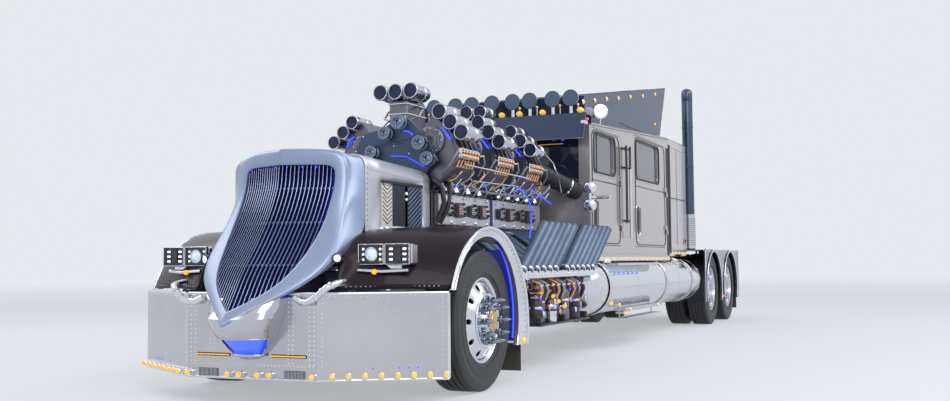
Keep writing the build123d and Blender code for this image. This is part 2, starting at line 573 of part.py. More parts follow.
# Engine block: two long engines end to end as one heavy body, wide at the heads, on mounts
HEAD_X = 560.0
HEAD_Z = 1560.0
TOP_X = 300.0
TOP_Z = 1660.0
block = front_prism([(-300, 700), (300, 700), (330, 950), (HEAD_X, 1270), (HEAD_X, HEAD_Z), (TOP_X, TOP_Z),
                     (-TOP_X, TOP_Z), (-HEAD_X, HEAD_Z), (-HEAD_X, 1270), (-330, 950)],
                    ENGINE_FRONT, ENGINE_REAR)
mounts = [box(290, RAIL_X - RAIL_T - RUN, y - 60, y + 60, 760, 830) for y in (650.0, 1600.0, 2850.0)]
block = joined([block] + [side for mount in mounts for side in both(mount)])
keep("engine_block", block)

# Engine fittings: side plates with coil boxes and studs, a row of bent intake pipes above each plate,
# fuel rails along the superchargers, and the pumps under the headers
fittings = []
PLATE_X = 600.0
# Each plate: front Y and rear Y
SIDE_PLATES = [(500.0, 1580.0), (1660.0, 2900.0)]
PLATE_Z = (1276.0, 1534.0)
BOX_PITCH = 250.0
ELBOW_R = 90.0
ELBOW_PIPE_R = 34.0
ELBOW_PITCH = 240.0
ELBOW_X = 618.0
ELBOW_Z = PLATE_Z[1] + RUN
side_plates = []
for y_start, y_end in SIDE_PLATES:
    plate = box(HEAD_X + RUN, PLATE_X, y_start, y_end, *PLATE_Z)
    boxes = int((y_end - y_start) / BOX_PITCH)
    for i in range(boxes):
        y = y_start + 130 + i * BOX_PITCH
        size = 62 if i % 2 else 48
        plate = plate + box(PLATE_X - 1, PLATE_X + 34, y - size, y + size, 1405 - size, 1405 + size)
        for stud_z in (PLATE_Z[0] + 24, PLATE_Z[1] - 24):
            plate = plate + rod((PLATE_X - 1, y + 120, stud_z), (PLATE_X + 14, y + 120, stud_z), 12)
    side_plates += both(plate)
fittings += side_plates
PUMPS_Y = [900.0, 1300.0, 1700.0, 2100.0, 2500.0]
for y in PUMPS_Y:
    fittings += both(rod((RAIL_X + RUN, y, 770), (640, y, 770), 95) + rod((600, y, 770), (668, y, 770), 58))
# Superchargers and scoop hats: three on each side, tilted outward, and two raised in the middle
# Each hat: side and Y of the scoop mouths
SIDE_HATS = [(1, 400.0), (1, 1190.0), (1, 1960.0), (-1, 1250.0), (-1, 2020.0)]
HAT_X = 755.0
HAT_Z = 2100.0
HAT_STEP = (98.0, -90.0)
SCOOP_R = 67.0
SCOOP_LENGTH = 330.0
SCOOP_MOUTH = 90.0          # how deep a mouth is bored
SCOOP_WALL = 7.0
SEAT = 0.33                 # upright gap that leaves RUN square to the sloping head
FAR_RISE = 90.0             # the hats on the right stand higher
BLOWER_X = 790.0
BLOWER_LENGTH = 520.0
BLOWER_END = 2870.0
BLOWER_FOOT = (TOP_X + 30, TOP_Z - 30 * (TOP_Z - HEAD_Z) / (HEAD_X - TOP_X) + SEAT)
BLOWER_HEEL = (HEAD_X, HEAD_Z + SEAT)
BLOWER_RIBS = 5
ROTOR_R = 118.0             # the round case of a rotor, seen at the front of each supercharger


def scoop(x, y, z, radius, length):
    """A trumpet: a tube with a rolled mouth, a bored front and a butterfly plate on its spindle."""
    tube = rod((x, y + 12, z), (x, y + length, z), radius - 4)
    lip = rod((x, y, z), (x, y + 22, z), radius)
    bore = rod((x, y - 1, z), (x, y + SCOOP_MOUTH, z), radius - 4 - SCOOP_WALL)
    plate = box(x - radius + 8, x + radius - 8, y + 50, y + 62, z - 5, z + 5)
    disc = rod((x, y + 54, z), (x, y + 60, z), radius * 0.5)
    return tube + lip - bore + plate + disc


blowers = []
hats = []
for side, y in SIDE_HATS:
    rise = 0.0 if side > 0 else FAR_RISE
    end = min(y + BLOWER_LENGTH, BLOWER_END)
    blower = front_prism([BLOWER_FOOT, BLOWER_HEEL, (740, 1740), (BLOWER_X - 20, 1800),
                          (BLOWER_X - 20, 1900 + rise), (690, 2070 + rise), (575, 2190 + rise),
                          (390, 1950 + rise)], y + 70, end)
    pitch = (end - y - 110) / (BLOWER_RIBS - 1)
    for i in range(BLOWER_RIBS):
        rib_y = y + 76 + i * pitch
        blower = blower + front_prism([(700, 1700), (BLOWER_X, 1790), (BLOWER_X, 1905 + rise),
                                       (700, 2085 + rise), (600, 2100 + rise), (600, 1750)],
                                      rib_y, rib_y + 14)
    rotor_z = 1960 + rise
    blower = blower + rod((560, y + 42, rotor_z), (560, y + 80, rotor_z), ROTOR_R)
    blower = blower + rod((560, y + 20, rotor_z), (560, y + 50, rotor_z), ROTOR_R * 0.55)
    hat = joined([scoop(HAT_X + k * HAT_STEP[0], y, HAT_Z + rise + k * HAT_STEP[1], SCOOP_R, SCOOP_LENGTH)
                  for k in (-1, 0, 1)])
    rail = box(BLOWER_X + RUN, BLOWER_X + 40, y + 80, y + 430, 1805, 1895)
    for i in range(6):
        cap_y = y + 110 + 58 * i
        rail = rail + rod((BLOWER_X + 39, cap_y, 1862), (BLOWER_X + 60, cap_y, 1862), 17)
        rail = rail + rod((BLOWER_X + 39, cap_y, 1824), (BLOWER_X + 52, cap_y, 1824), 12)
    pieces = [blower - hat, hat, rail]
    if side < 0:
        pieces = [other_side(piece) for piece in pieces]
    blowers.append(pieces[0])
    hats.append(pieces[1])
    fittings.append(pieces[2])
for y_start, y_end in SIDE_PLATES:
    for i in range(int((y_end - y_start) / ELBOW_PITCH)):
        y = y_start + 60 + i * ELBOW_PITCH
        bend = Pos(ELBOW_X - ELBOW_R, y, ELBOW_Z) * (Rot(90, 0, 0) * Torus(ELBOW_R, ELBOW_PIPE_R))
        bend = (bend & box(0, ELBOW_X + 60, y - 60, y + 60, ELBOW_Z, ELBOW_Z + 200)) - block
        fittings += [bend - joined(blowers[:3]), other_side(bend) - joined(blowers[3:5])]
CENTRE_HATS_Y = [880.0, 2400.0]
CENTRE_HAT_Z = 2470.0
CENTRE_STEP = 150.0
CENTRE_R = 72.0
for y in CENTRE_HATS_Y:
    column = box(-90, 90, y + 60, y + 420, TOP_Z + RUN, CENTRE_HAT_Z - 70)
    column = column + rod((0, y + 30, TOP_Z + 170), (0, y + 450, TOP_Z + 170), 165)
    hat = joined([scoop(k * CENTRE_STEP, y, CENTRE_HAT_Z, CENTRE_R, 300) for k in (-1, 0, 1)]
                 + [box(-170, 170, y + 100, y + 300, CENTRE_HAT_Z - 70, CENTRE_HAT_Z)])
    blowers.append(column - hat)
    hats.append(hat)
keep("engine_fittings", apart(fittings))
keep("superchargers", apart(blowers))
keep("scoop_hats", apart(hats))

# Belt drive: a plate on the engine's front with pulleys, and belts over their rims
PLATE_Y = 410.0
PULLEY_Y = 330.0
# Each pulley: X, Z, radius
PULLEYS = [(310.0, 2119.0, 62.0), (185.0, 2032.0, 55.0), (500.0, 1937.0, 60.0), (572.0, 1804.0, 58.0),
           (60.0, 1880.0, 52.0), (0.0, 1560.0, 110.0), (0.0, 1230.0, 130.0)]
drive_plate = front_prism([(-200, 1200), (200, 1200), (560, 1730), (640, 1790), (545, 1990), (330, 2185),
                           (130, 2080), (-60, 2040), (-140, 1900), (-200, 1600)], PLATE_Y, ENGINE_FRONT - RUN)
for x, z in ((330.0, 1880.0), (120.0, 1700.0)):
    drive_plate = drive_plate - rod((x, PLATE_Y - 1, z), (x, ENGINE_FRONT, z), 55)
drive_plate = drive_plate - hats[0] - blowers[0]
pulleys = []
for x, z, r in PULLEYS:
    pulley = rod((x, PULLEY_Y, z), (x, PLATE_Y + 1, z), r - 7)
    for y in (PULLEY_Y, PULLEY_Y + 56):
        pulley = pulley + rod((x, y, z), (x, y + 8, z), r)
    pulley = pulley - rod((x, PULLEY_Y - 1, z), (x, PULLEY_Y + 20, z), r * 0.62)
    pulleys.append(pulley - hats[0])
keep("belt_drive", joined([drive_plate] + pulleys))

# Header pipes: two groups of six on each side, leaning back from a flange, open at their tips
PIPE_R = 44.0
PIPE_WALL = 5.0
TIP_DEPTH = 60.0
PIPE_TIP_X = 1235.0
PIPE_STEP = 158.0
PIPE_GROUPS = [(860.0, 1290.0), (1960.0, 2390.0)]
PIPE_LOW_Z = 880.0
PIPE_HIGH_Z = 1290.0
pipes = []
tips = []
for y_low, y_high in PIPE_GROUPS:
    for i in range(6):
        foot = Vector(PIPE_TIP_X - 60, y_low + i * PIPE_STEP, PIPE_LOW_Z)
        tip = Vector(PIPE_TIP_X, y_high + i * PIPE_STEP, PIPE_HIGH_Z)
        run = (tip - foot).normalized()
        pipes.append(rod(tuple(foot), tuple(tip), PIPE_R))
        tips.append(rod(tuple(tip - run * TIP_DEPTH), tuple(tip + run * 2), PIPE_R - PIPE_WALL))
        pipes.append(rod((520, foot.Y + 60, 1300), (PIPE_TIP_X - 60, foot.Y, PIPE_LOW_Z + 10), 30))
flange = box(PIPE_TIP_X - 130, PIPE_TIP_X - 20, 820, 2800, PIPE_LOW_Z - 60, PIPE_LOW_Z + 10)
header = joined(pipes + [flange]) - joined(tips)
header = header - block - joined(side_plates[::2])
keep("header_pipes", apart(both(header)))

# Hoses and duct beside the engine
hoses = both(rod((520, 2700, 1950), (900, 3220, 1690), 90)
             - box(-1000, 1000, CAB_FRONT - RUN, CAB_FRONT + 300, 1000, 2300))
hoses = [hose - joined(blowers) - block for hose in hoses]
keep("engine_hoses", apart(hoses))

# Cab: hollow shell with four door openings, windscreen opening and rear wall
DOOR_LOW = 1130.0
WINDOW_CORNER = 70.0
# Each door: name, front Y, rear Y, top at its front, window front, window rear, window low, window high
DOORS = [("front", 3250.0, 4320.0, 2370.0, 3330.0, 4120.0, 1910.0, 2320.0),
         ("rear", 4960.0, 6470.0, 2470.0, 5020.0, 6130.0, 1950.0, 2410.0)]
CAB_EDGE = 45.0             # rounding of the roof's long edges
cab_outline = [(CAB_FRONT, CAB_FLOOR), (CAB_REAR, CAB_FLOOR), (CAB_REAR, CAB_ROOF_REAR),
               (CAB_FRONT, CAB_ROOF_FRONT)]
cab_inner = [(CAB_FRONT + CAB_WALL, CAB_FLOOR + CAB_WALL), (CAB_REAR - CAB_WALL, CAB_FLOOR + CAB_WALL),
             (CAB_REAR - CAB_WALL, CAB_ROOF_REAR - CAB_WALL),
             (CAB_FRONT + CAB_WALL, CAB_ROOF_FRONT - CAB_WALL)]
cab = side_prism(cab_outline, -CAB_X, CAB_X)
roof_edges = [edge for edge in cab.edges().filter_by(lambda e: abs(e.tangent_at(0.5).Y) > 0.9)
              if edge.center().Z > CAB_ROOF_FRONT]
cab = fillet(roof_edges, CAB_EDGE)
cab = cab - side_prism(cab_inner, -CAB_X + CAB_WALL, CAB_X - CAB_WALL)
SILL_DROP = 33.0            # a sill strip hangs beside the tank
SILL_T = 15.0
cab = cab + joined(both(box(CAB_X - SILL_T, CAB_X, CAB_FRONT, CAB_REAR,
                            CAB_FLOOR - SILL_DROP, CAB_FLOOR + 1)))
SCREEN_X = 930.0
SCREEN_LOW = 1790.0
SCREEN_HIGH = 2290.0
POST_X = 25.0
for side in (1, -1):
    x0, x1 = sorted((side * POST_X, side * SCREEN_X))
    cab = cab - box(x0, x1, CAB_FRONT - 1, CAB_FRONT + CAB_WALL + 1, SCREEN_LOW, SCREEN_HIGH)
HINGE_R = 12.0
HINGE_X = CAB_X + 14.0
for door, y0, y1, top, w0, w1, wz0, wz1 in DOORS:
    cab = cab - box(-CAB_X - 1, -CAB_X + CAB_WALL + 1, y0, y1, DOOR_LOW, top)
    cab = cab - box(CAB_X - CAB_WALL - 1, CAB_X + 1, y0, y1, DOOR_LOW, top)
HINGE_Z = [1300.0, 1800.0]
HINGE_H = 60.0
cab_hinges = []
for door, y0, y1, top, w0, w1, wz0, wz1 in DOORS:
    for z in HINGE_Z:
        cab_hinges += both(rod((HINGE_X, y1 + 4, z), (HINGE_X, y1 + 4, z + HINGE_H), HINGE_R)
                           + box(CAB_X - 1, HINGE_X + 6, y1 + 4, y1 + 60, z, z + HINGE_H))
cab = joined([cab] + cab_hinges)
keep("cab_shell", cab)



def window(x0, x1, y0, y1, z0, z1):
    """A block through a door with its corners rounded."""
    block = box(x0, x1, y0, y1, z0, z1)
    return fillet(block.edges().filter_by(Axis.X), WINDOW_CORNER)


for door, y0, y1, top, w0, w1, wz0, wz1 in DOORS:
    for name, side in SIDES:
        panel = box(CAB_X - CAB_WALL, CAB_X, y0 + GAP, y1 - GAP, DOOR_LOW + GAP, top - GAP)
        panel = panel - window(CAB_X - CAB_WALL - 1, CAB_X + 1, w0, w1, wz0, wz1)
        for z in HINGE_Z:
            barrel = rod((HINGE_X, y1 + 4, z + HINGE_H + RUN), (HINGE_X, y1 + 4, z + 2 * HINGE_H), HINGE_R)
            leaf = box(CAB_X - 1, HINGE_X + 6, y1 - 60, y1 - GAP, z + HINGE_H + RUN, z + 2 * HINGE_H)
            leaf = leaf + box(CAB_X + 4, HINGE_X + 6, y1 - 60, y1 + 4, z + HINGE_H + RUN, z + 2 * HINGE_H)
            panel = panel + barrel + leaf
        pull_y = y0 + 110
        pull = box(CAB_X - 1, CAB_X + 40, pull_y - 15, pull_y + 15, 1300, 1330)
        pull = pull + box(CAB_X - 1, CAB_X + 40, pull_y - 15, pull_y + 15, 1560, 1590)
        pull = pull + box(CAB_X + 25, CAB_X + 45, pull_y - 15, pull_y + 15, 1300, 1590)
        panel = panel + pull
        middle = CAB_X - CAB_WALL / 2
        glass = window(middle - 4, middle + 4, w0 + RUN, w1 - RUN, wz0 + RUN, wz1 - RUN)
        keep("door_" + door + "_" + name, panel if side > 0 else other_side(panel))
        keep("door_glass_" + door + "_" + name, glass if side > 0 else other_side(glass))

# Windscreen: two flat panes
pane = box(POST_X + RUN, SCREEN_X - RUN, CAB_FRONT + 20, CAB_FRONT + 28,
           SCREEN_LOW + RUN, SCREEN_HIGH - RUN)
keep("windscreen", apart(both(pane)))

# Cab inside: two seats, rear bunk, dashboard and steering column
FLOOR_TOP = CAB_FLOOR + CAB_WALL + RUN
TRIM_X = CAB_X - CAB_WALL - 5
inside = [box(-TRIM_X, TRIM_X, CAB_FRONT + CAB_WALL + RUN, CAB_FRONT + 420, 1300, 1720)]
for x in (500.0, -500.0):
    inside.append(joined([box(x - 130, x + 130, 4150, 4500, FLOOR_TOP, 1290),
                          box(x - 260, x + 260, 4050, 4600, 1290, 1430),
                          box(x - 260, x + 260, 4560, 4700, 1300, 2050)]))
inside.append(box(-TRIM_X, TRIM_X, 5750, CAB_REAR - CAB_WALL - 5, FLOOR_TOP, 1500))
COLUMN_X = 500.0
WHEEL_CENTRE = (COLUMN_X, 3760.0, 1620.0)
COLUMN_LOW = (COLUMN_X, 3560.0, 1460.0)
column_dir = Vector(0, WHEEL_CENTRE[1] - COLUMN_LOW[1], WHEEL_CENTRE[2] - COLUMN_LOW[2]).normalized()
column_end = Vector(*WHEEL_CENTRE) - column_dir * 25
inside.append(rod(COLUMN_LOW, tuple(column_end), 28))
keep("cab_interior", apart([joined([inside[0], inside[4]])] + inside[1:4]))
rim_plane = Plane(origin=WHEEL_CENTRE, z_dir=column_dir)
wheel_rim = rim_plane * Torus(215, 16)
spokes = [rim_plane * (Rot(0, 0, 90 * k + 45) * Pos(108, 0, 0) * Box(215, 26, 12)) for k in range(4)]
hub = rim_plane * Pos(0, 0, -8) * Cylinder(45, 32)
keep("steering_wheel", joined([wheel_rim, hub] + spokes))

# Cab brightwork: grab rails between the doors and the mirrors ahead of the front doors
rails_between = []
for y in (4405.0, 4560.0):
    feet = [rod((CAB_X, y, z), (CAB_X + 55, y, z), 10) for z in (1420, 2030, 2250)]
    rails_between += both(joined([rod((CAB_X + 55, y, 1390), (CAB_X + 55, y, 2280), 14)] + feet))
mirror_arm = joined([rod((CAB_X, 3215, 1620), (CAB_X + 210, 3215, 1620), 18),
                     rod((CAB_X + 50, 3215, 1620), (CAB_X + 50, 3000, 1620), 14),
                     rod((CAB_X + 50, 3000, 1520), (CAB_X + 50, 3000, 1720), 14)]
                    + [rod((CAB_X + 50, 2960, z), (CAB_X + 50, 3040, z), 68) for z in (1530, 1710)])
keep("cab_brightwork", apart(rails_between + both(mirror_arm)))

# Visor and roof fairing
visor = side_prism([(CAB_FRONT - RUN, 2390), (CAB_FRONT - RUN, VISOR_TOP), (2985, VISOR_TOP), (2885, 2215),
                    (2905, 2207), (3000, VISOR_TOP - 20), (CAB_FRONT - 20, VISOR_TOP - 20),
                    (CAB_FRONT - 20, 2390)], -1080, 1080)
fairing_side = [(3240.0, 2700.0), (6880.0, 3320.0), (6500.0, 2560.0), (3300.0, 2400.0)]
wedge = side_prism(fairing_side, -980, 980)
hollow_side = [(3400.0, 2700.0), (7000.0, 3312.0), (6700.0, 2640.0), (3400.0, 2400.0)]
wedge_inner = side_prism(hollow_side, -960, 960)
fairing = wedge - wedge_inner
fairing = fairing - side_prism([(CAB_FRONT - 200, CAB_FLOOR), (CAB_REAR + 200, CAB_FLOOR),
                                (CAB_REAR + 200, CAB_ROOF_REAR + 200 * 200 / 3470 + RUN),
                                (CAB_FRONT - 200, CAB_ROOF_FRONT - 200 * 200 / 3470 + RUN)], -1100, 1100)
keep("roof_fairings", apart([visor, fairing]))

# Roof lamps: round lamps in a row above the visor
ROOF_LAMPS_X = [237.0, 431.0, 688.0, 886.0]
ROOF_LAMP_R = 86.0
ROOF_LAMP_Z = 2660.0
# Half the section of a lamp: radius and distance behind its rim
LAMP_BOWL = [(0.0, 4.0), (ROOF_LAMP_R - 10, 4.0), (ROOF_LAMP_R - 8, 0.0), (ROOF_LAMP_R, 0.0),
             (ROOF_LAMP_R, 22.0), (ROOF_LAMP_R - 12, 48.0), (ROOF_LAMP_R - 38, 84.0), (26.0, 106.0),
             (0.0, 110.0)]
round_lamps = []
for x in [0.0] + ROOF_LAMPS_X + [-x for x in ROOF_LAMPS_X]:
    bowl = Pos(x, 3070, ROOF_LAMP_Z) * (Rot(0, 0, 90) * turned(LAMP_BOWL, 0, 0, 0))
    foot = box(x - 18, x + 18, 3090, 3130, VISOR_TOP + RUN, 2600)
    round_lamps.append(bowl + foot)
keep("roof_lamps", apart(round_lamps))

# Rear box, boot and stacks
BOX_X = 1000.0
BOX_LOW = 1020.0
BOX_HIGH = 2640.0
BOX_EDGE = 40.0
PANEL_INSET = 8.0
rear_box = box(-BOX_X, BOX_X, BOX_FRONT, BOX_REAR, BOX_LOW, BOX_HIGH)
rear_box = fillet(rear_box.edges().filter_by(Axis.Z) + rear_box.edges().group_by(Axis.Z)[-1], BOX_EDGE)
# Set-back panels: front Y, rear Y, low Z, high Z
BOX_PANELS = [(BOX_FRONT + 110, BOX_FRONT + 535, 1180.0, 2520.0),
              (BOX_FRONT + 585, BOX_REAR - 110, 1180.0, 2520.0)]
for y_start, y_end, z_low, z_high in BOX_PANELS:
    rear_box = rear_box - joined(both(box(BOX_X - PANEL_INSET, BOX_X + 1, y_start, y_end, z_low, z_high)))
keep("rear_box", rear_box)
BOOT_X = 960.0
BOOT_HIGH = 2590.0
PLEATS = 4
pleat = (BOX_FRONT - CAB_REAR - 2 * RUN) / PLEATS
boot = box(-BOOT_X + 30, BOOT_X - 30, CAB_REAR + RUN, BOX_FRONT - RUN, 1000, BOOT_HIGH - 30)
for i in range(PLEATS):
    y = CAB_REAR + RUN + i * pleat
    fold = [(y, BOOT_X - 30), (y + pleat / 2, BOOT_X), (y + pleat, BOOT_X - 30)]
    outline = [(x, y) for y, x in fold] + [(-x, y) for y, x in reversed(fold)]
    boot = boot + plan_prism(outline, 1000, BOOT_HIGH)
keep("cab_boot", boot)
STACK_X = 1000.0
STACK_Y = REAR_AXLES[0] - 598
STACK_R = 80.0
STACK_TOP = 3340.0
FENDER_TOP = TYRE_TOP + 53
stack = rod((STACK_X, STACK_Y, FENDER_TOP + RUN), (STACK_X, STACK_Y, STACK_TOP), STACK_R)
stack = stack + Pos(STACK_X, STACK_Y, STACK_TOP) * Sphere(STACK_R)
stack = stack + box(STACK_X - 20, STACK_X + 20, BOX_REAR + RUN, STACK_Y, 2300, 2340)
keep("exhaust_stacks", apart(both(stack)))

# Fuel tanks with domed ends, straps and steps
TANK_R = 290.0
TANK_X = 900.0
TANK_Z = 690.0
TANK_FRONT = 2900.0
TANK_REAR = REAR_AXLES[0] - 698
DOME = 120.0
half_section = [(0.0, TANK_FRONT), (TANK_R * 0.55, TANK_FRONT + 22), (TANK_R * 0.85, TANK_FRONT + 62),
                (TANK_R, TANK_FRONT + DOME), (TANK_R, TANK_REAR - DOME), (TANK_R * 0.85, TANK_REAR - 62),
                (TANK_R * 0.55, TANK_REAR - 22), (0.0, TANK_REAR)]
tank_face = make_face(Polyline([(TANK_X + r, y, TANK_Z) for r, y in half_section], close=True))
tank = revolve(tank_face, axis=Axis((TANK_X, 0, TANK_Z), (0, 1, 0)))
STRAPS_Y = [3400.0, 5900.0, 7400.0]
STRAP_R = TANK_R + 10
tank = tank + joined([rod((TANK_X, y - 40, TANK_Z), (TANK_X, y + 40, TANK_Z), STRAP_R) for y in STRAPS_Y])
tank = tank + joined([box(RAIL_X + RUN, TANK_X, y - 40, y + 40, 660, 720) for y in STRAPS_Y])
step_top = box(TANK_X + 60, 1200, 3650, 5450, TANK_Z + TANK_R - 60, TANK_Z + TANK_R - 40)
step_low = joined([box(TANK_X + 180, 1210, 3900, 5500, 420, 445),
                   box(TANK_X + 190, TANK_X + 210, 4000, 4060, 430, 600),
                   box(TANK_X + 190, TANK_X + 210, 5300, 5360, 430, 600)])
keep("fuel_tanks", apart(both(joined([tank, step_top, step_low]))))

# Rear fenders: flat top, outer skin with two round arches and their lips
SKIN_X = 1227.0
SKIN_T = 14.0
REAR_ARCH_R = TYRE_R + 25
DECK_IN_X = 540.0
FENDER_FRONT = REAR_AXLES[0] - 638
FENDER_REAR = TAIL_Y - 40
FENDER_LOW = 340.0
skin = box(SKIN_X - SKIN_T, SKIN_X, FENDER_FRONT, FENDER_REAR, FENDER_LOW, FENDER_TOP)
for y in REAR_AXLES:
    skin = skin - rod((SKIN_X - 40, y, AXLE_Z), (SKIN_X + 40, y, AXLE_Z), REAR_ARCH_R)
    skin = skin - box(SKIN_X - 40, SKIN_X + 40, y - REAR_ARCH_R, y + REAR_ARCH_R, FENDER_LOW - 10, AXLE_Z)
arch_lips = []
for y in REAR_AXLES:
    ring = rod((SKIN_X - SKIN_T, y, AXLE_Z), (SKIN_X + 14, y, AXLE_Z), REAR_ARCH_R + 26)
    ring = ring - rod((SKIN_X - 40, y, AXLE_Z), (SKIN_X + 40, y, AXLE_Z), REAR_ARCH_R)
    ring = ring & box(SKIN_X - 60, SKIN_X + 60, y - 700, y + 700, FENDER_LOW, FENDER_TOP)
    arch_lips.append(ring)
deck = box(DECK_IN_X, SKIN_X, BOX_REAR + 2, FENDER_REAR, FENDER_TOP - SKIN_T, FENDER_TOP)
posts = [box(RAIL_X + RUN, DECK_IN_X + 10, y - 30, y + 30, RAIL_TOP - 40, RAIL_TOP)
         + box(DECK_IN_X - 10, DECK_IN_X + 10, y - 30, y + 30, RAIL_TOP - 40, FENDER_TOP - 5)
         for y in (FENDER_FRONT - 20, FENDER_FRONT + 1307, FENDER_REAR - 80)]
keep("rear_fenders", apart(both(joined([skin, deck] + arch_lips + posts))))

# Mudflaps behind the front wheels and behind the last axle
FLAP_LOW = 90.0
flap_y = ARCH_OUT[0] + sqrt(ARCH_OUT[2] ** 2 - (ARCH_OUT[1] - LIP_FOOT) ** 2)
flaps = both(box(930, 1230, flap_y - 13, flap_y - 3, FLAP_LOW, LIP_FOOT - RUN))
flaps += both(box(600, 1190, FENDER_REAR - 60, FENDER_REAR - 50, 160, FENDER_TOP - SKIN_T - RUN))
keep("mudflaps", apart(flaps))

# Write every piece, moved to the origin below the middle of the box
os.makedirs("parts", exist_ok=True)
for name, shape in NODES.items():
    export_step(Pos(0, SHIFT_Y, 0) * shape, "parts/" + name + ".step")
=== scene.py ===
import bpy
from math import atan2, cos, hypot, pi, radians, sin, sqrt
from mathutils import Matrix, Vector


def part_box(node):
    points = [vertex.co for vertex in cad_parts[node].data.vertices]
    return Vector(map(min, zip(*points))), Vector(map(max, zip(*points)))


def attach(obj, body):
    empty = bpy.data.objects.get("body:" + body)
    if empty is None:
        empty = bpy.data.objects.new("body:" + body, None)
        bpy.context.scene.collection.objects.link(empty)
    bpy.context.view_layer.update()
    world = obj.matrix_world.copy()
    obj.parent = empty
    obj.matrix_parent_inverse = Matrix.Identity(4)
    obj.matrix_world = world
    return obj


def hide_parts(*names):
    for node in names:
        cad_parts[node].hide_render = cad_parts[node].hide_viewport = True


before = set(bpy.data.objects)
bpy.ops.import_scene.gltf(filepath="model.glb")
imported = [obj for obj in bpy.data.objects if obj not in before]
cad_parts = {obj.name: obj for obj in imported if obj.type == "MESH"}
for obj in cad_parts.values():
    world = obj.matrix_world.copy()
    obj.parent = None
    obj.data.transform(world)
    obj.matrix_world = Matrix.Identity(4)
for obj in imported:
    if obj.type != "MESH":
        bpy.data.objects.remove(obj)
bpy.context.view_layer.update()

# Camera: it stands low, ahead of the truck on its left, and looks back along it.
# Places and sizes in this file are in metres from the point on the ground below the front axle: X to
# the truck's left, Y to the rear, Z up. Only the outlines given to lathe are in millimetres. AXLE_Y
# carries that point into the frame.
low_corner, high_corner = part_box("front_tyre_left")
AXLE_Y = (low_corner.y + high_corner.y) / 2
EYE = Vector((4.3335, -7.2404 + AXLE_Y, 0.9691))
YAW = radians(-23.742)
PITCH = radians(3.325)
ROLL = radians(-0.476)
forward = Vector((sin(YAW) * cos(PITCH), cos(YAW) * cos(PITCH), sin(PITCH)))
level = Vector((cos(YAW), -sin(YAW), 0.0))
across = cos(ROLL) * level + sin(ROLL) * level.cross(forward)
upward = across.cross(forward)
lens_data = bpy.data.cameras.new("camera")
lens_data.sensor_width = 36.0
lens_data.lens = 39.82
lens_data.clip_end = 300.0
camera = bpy.data.objects.new("camera", lens_data)
camera.matrix_world = Matrix.Translation(EYE) @ Matrix((across, upward, -forward)).transposed().to_4x4()
bpy.context.scene.collection.objects.link(camera)
bpy.context.scene.camera = camera
bpy.context.scene.view_settings.view_transform = "Standard"

# Studio: a pale plain floor that fades with distance into a pale even sky, and three large soft boxes
# hung over the truck. The eye, metal and glass see the floor and the sky in BACKDROP.
BACKDROP = (0.8, 0.82, 0.855, 1)


def node(tree, kind, inputs=None, **settings):
    """A shader node with its settings. Each input is given a value, or the output that feeds it."""
    made = tree.nodes.new("ShaderNode" + kind)
    for name, value in settings.items():
        setattr(made, name, value)
    for socket, value in (inputs or {}).items():
        if isinstance(value, bpy.types.NodeSocket):
            tree.links.new(value, made.inputs[socket])
        else:
            made.inputs[socket].default_value = value
    return made


def seen_share(tree):
    """1 for the rays that show the studio to the eye, to metal or through glass, 0 for the rest."""
    rays = node(tree, "LightPath").outputs
    total = rays["Is Camera Ray"]
    for name in ("Is Glossy Ray", "Is Transmission Ray"):
        total = node(tree, "Math", {0: total, 1: rays[name]}, operation="MAXIMUM").outputs["Value"]
    return total


FLOOR_RINGS = [0.02, 12.0, 40.0, 150.0]
FLOOR_STEPS = 96
points = [(r * cos(2 * pi * k / FLOOR_STEPS), r * sin(2 * pi * k / FLOOR_STEPS), 0.0)
          for r in FLOOR_RINGS for k in range(FLOOR_STEPS)]
faces = [(i * FLOOR_STEPS + k, i * FLOOR_STEPS + (k + 1) % FLOOR_STEPS,
          (i + 1) * FLOOR_STEPS + (k + 1) % FLOOR_STEPS, (i + 1) * FLOOR_STEPS + k)
         for i in range(len(FLOOR_RINGS) - 1) for k in range(FLOOR_STEPS)]
faces.append(tuple(range(FLOOR_STEPS)))
floor_mesh = bpy.data.meshes.new("studio_floor")
floor_mesh.from_pydata(points, [], faces)
floor_mesh.polygons.foreach_set("use_smooth", [True] * len(faces))
studio_floor = bpy.data.objects.new("studio_floor", floor_mesh)
bpy.context.scene.collection.objects.link(studio_floor)
floor_paint = bpy.data.materials.new("studio_floor")
floor_paint.use_nodes = True
floor_mesh.materials.append(floor_paint)
tree = floor_paint.node_tree
matt = tree.nodes["Principled BSDF"]
matt.inputs["Base Color"].default_value = (0.78, 0.79, 0.81, 1)
matt.inputs["Roughness"].default_value = 0.9
matt.inputs["Specular IOR Level"].default_value = 0.1
FADE_NEAR, FADE_FAR = 8.0, 45.0
place = node(tree, "TexCoord").outputs["Object"]
reach = node(tree, "VectorMath", {0: place}, operation="LENGTH").outputs["Value"]
fade = node(tree, "MapRange", {"Value": reach, "From Min": FADE_NEAR, "From Max": FADE_FAR, "To Min": 0.5,
                               "To Max": 1.0})
share = node(tree, "Math", {0: seen_share(tree), 1: fade.outputs["Result"]}, operation="MULTIPLY")
pale = node(tree, "Emission", {"Color": BACKDROP})
mixed = node(tree, "MixShader", {0: share.outputs["Value"], 1: matt.outputs["BSDF"], 2: pale.outputs["Emission"]})
tree.links.new(mixed.outputs["Shader"], tree.nodes["Material Output"].inputs["Surface"])

sky = bpy.data.worlds.new("studio_sky")
sky.use_nodes = True
tree = sky.node_tree
dome = tree.nodes["Background"]
dome.inputs["Color"].default_value = (0.86, 0.9, 1.0, 1)
dome.inputs["Strength"].default_value = 0.62
pale = node(tree, "Background", {"Color": BACKDROP})
mixed = node(tree, "MixShader", {0: seen_share(tree), 1: dome.outputs["Background"], 2: pale.outputs["Background"]})
tree.links.new(mixed.outputs["Shader"], tree.nodes["World Output"].inputs["Surface"])
bpy.context.scene.world = sky

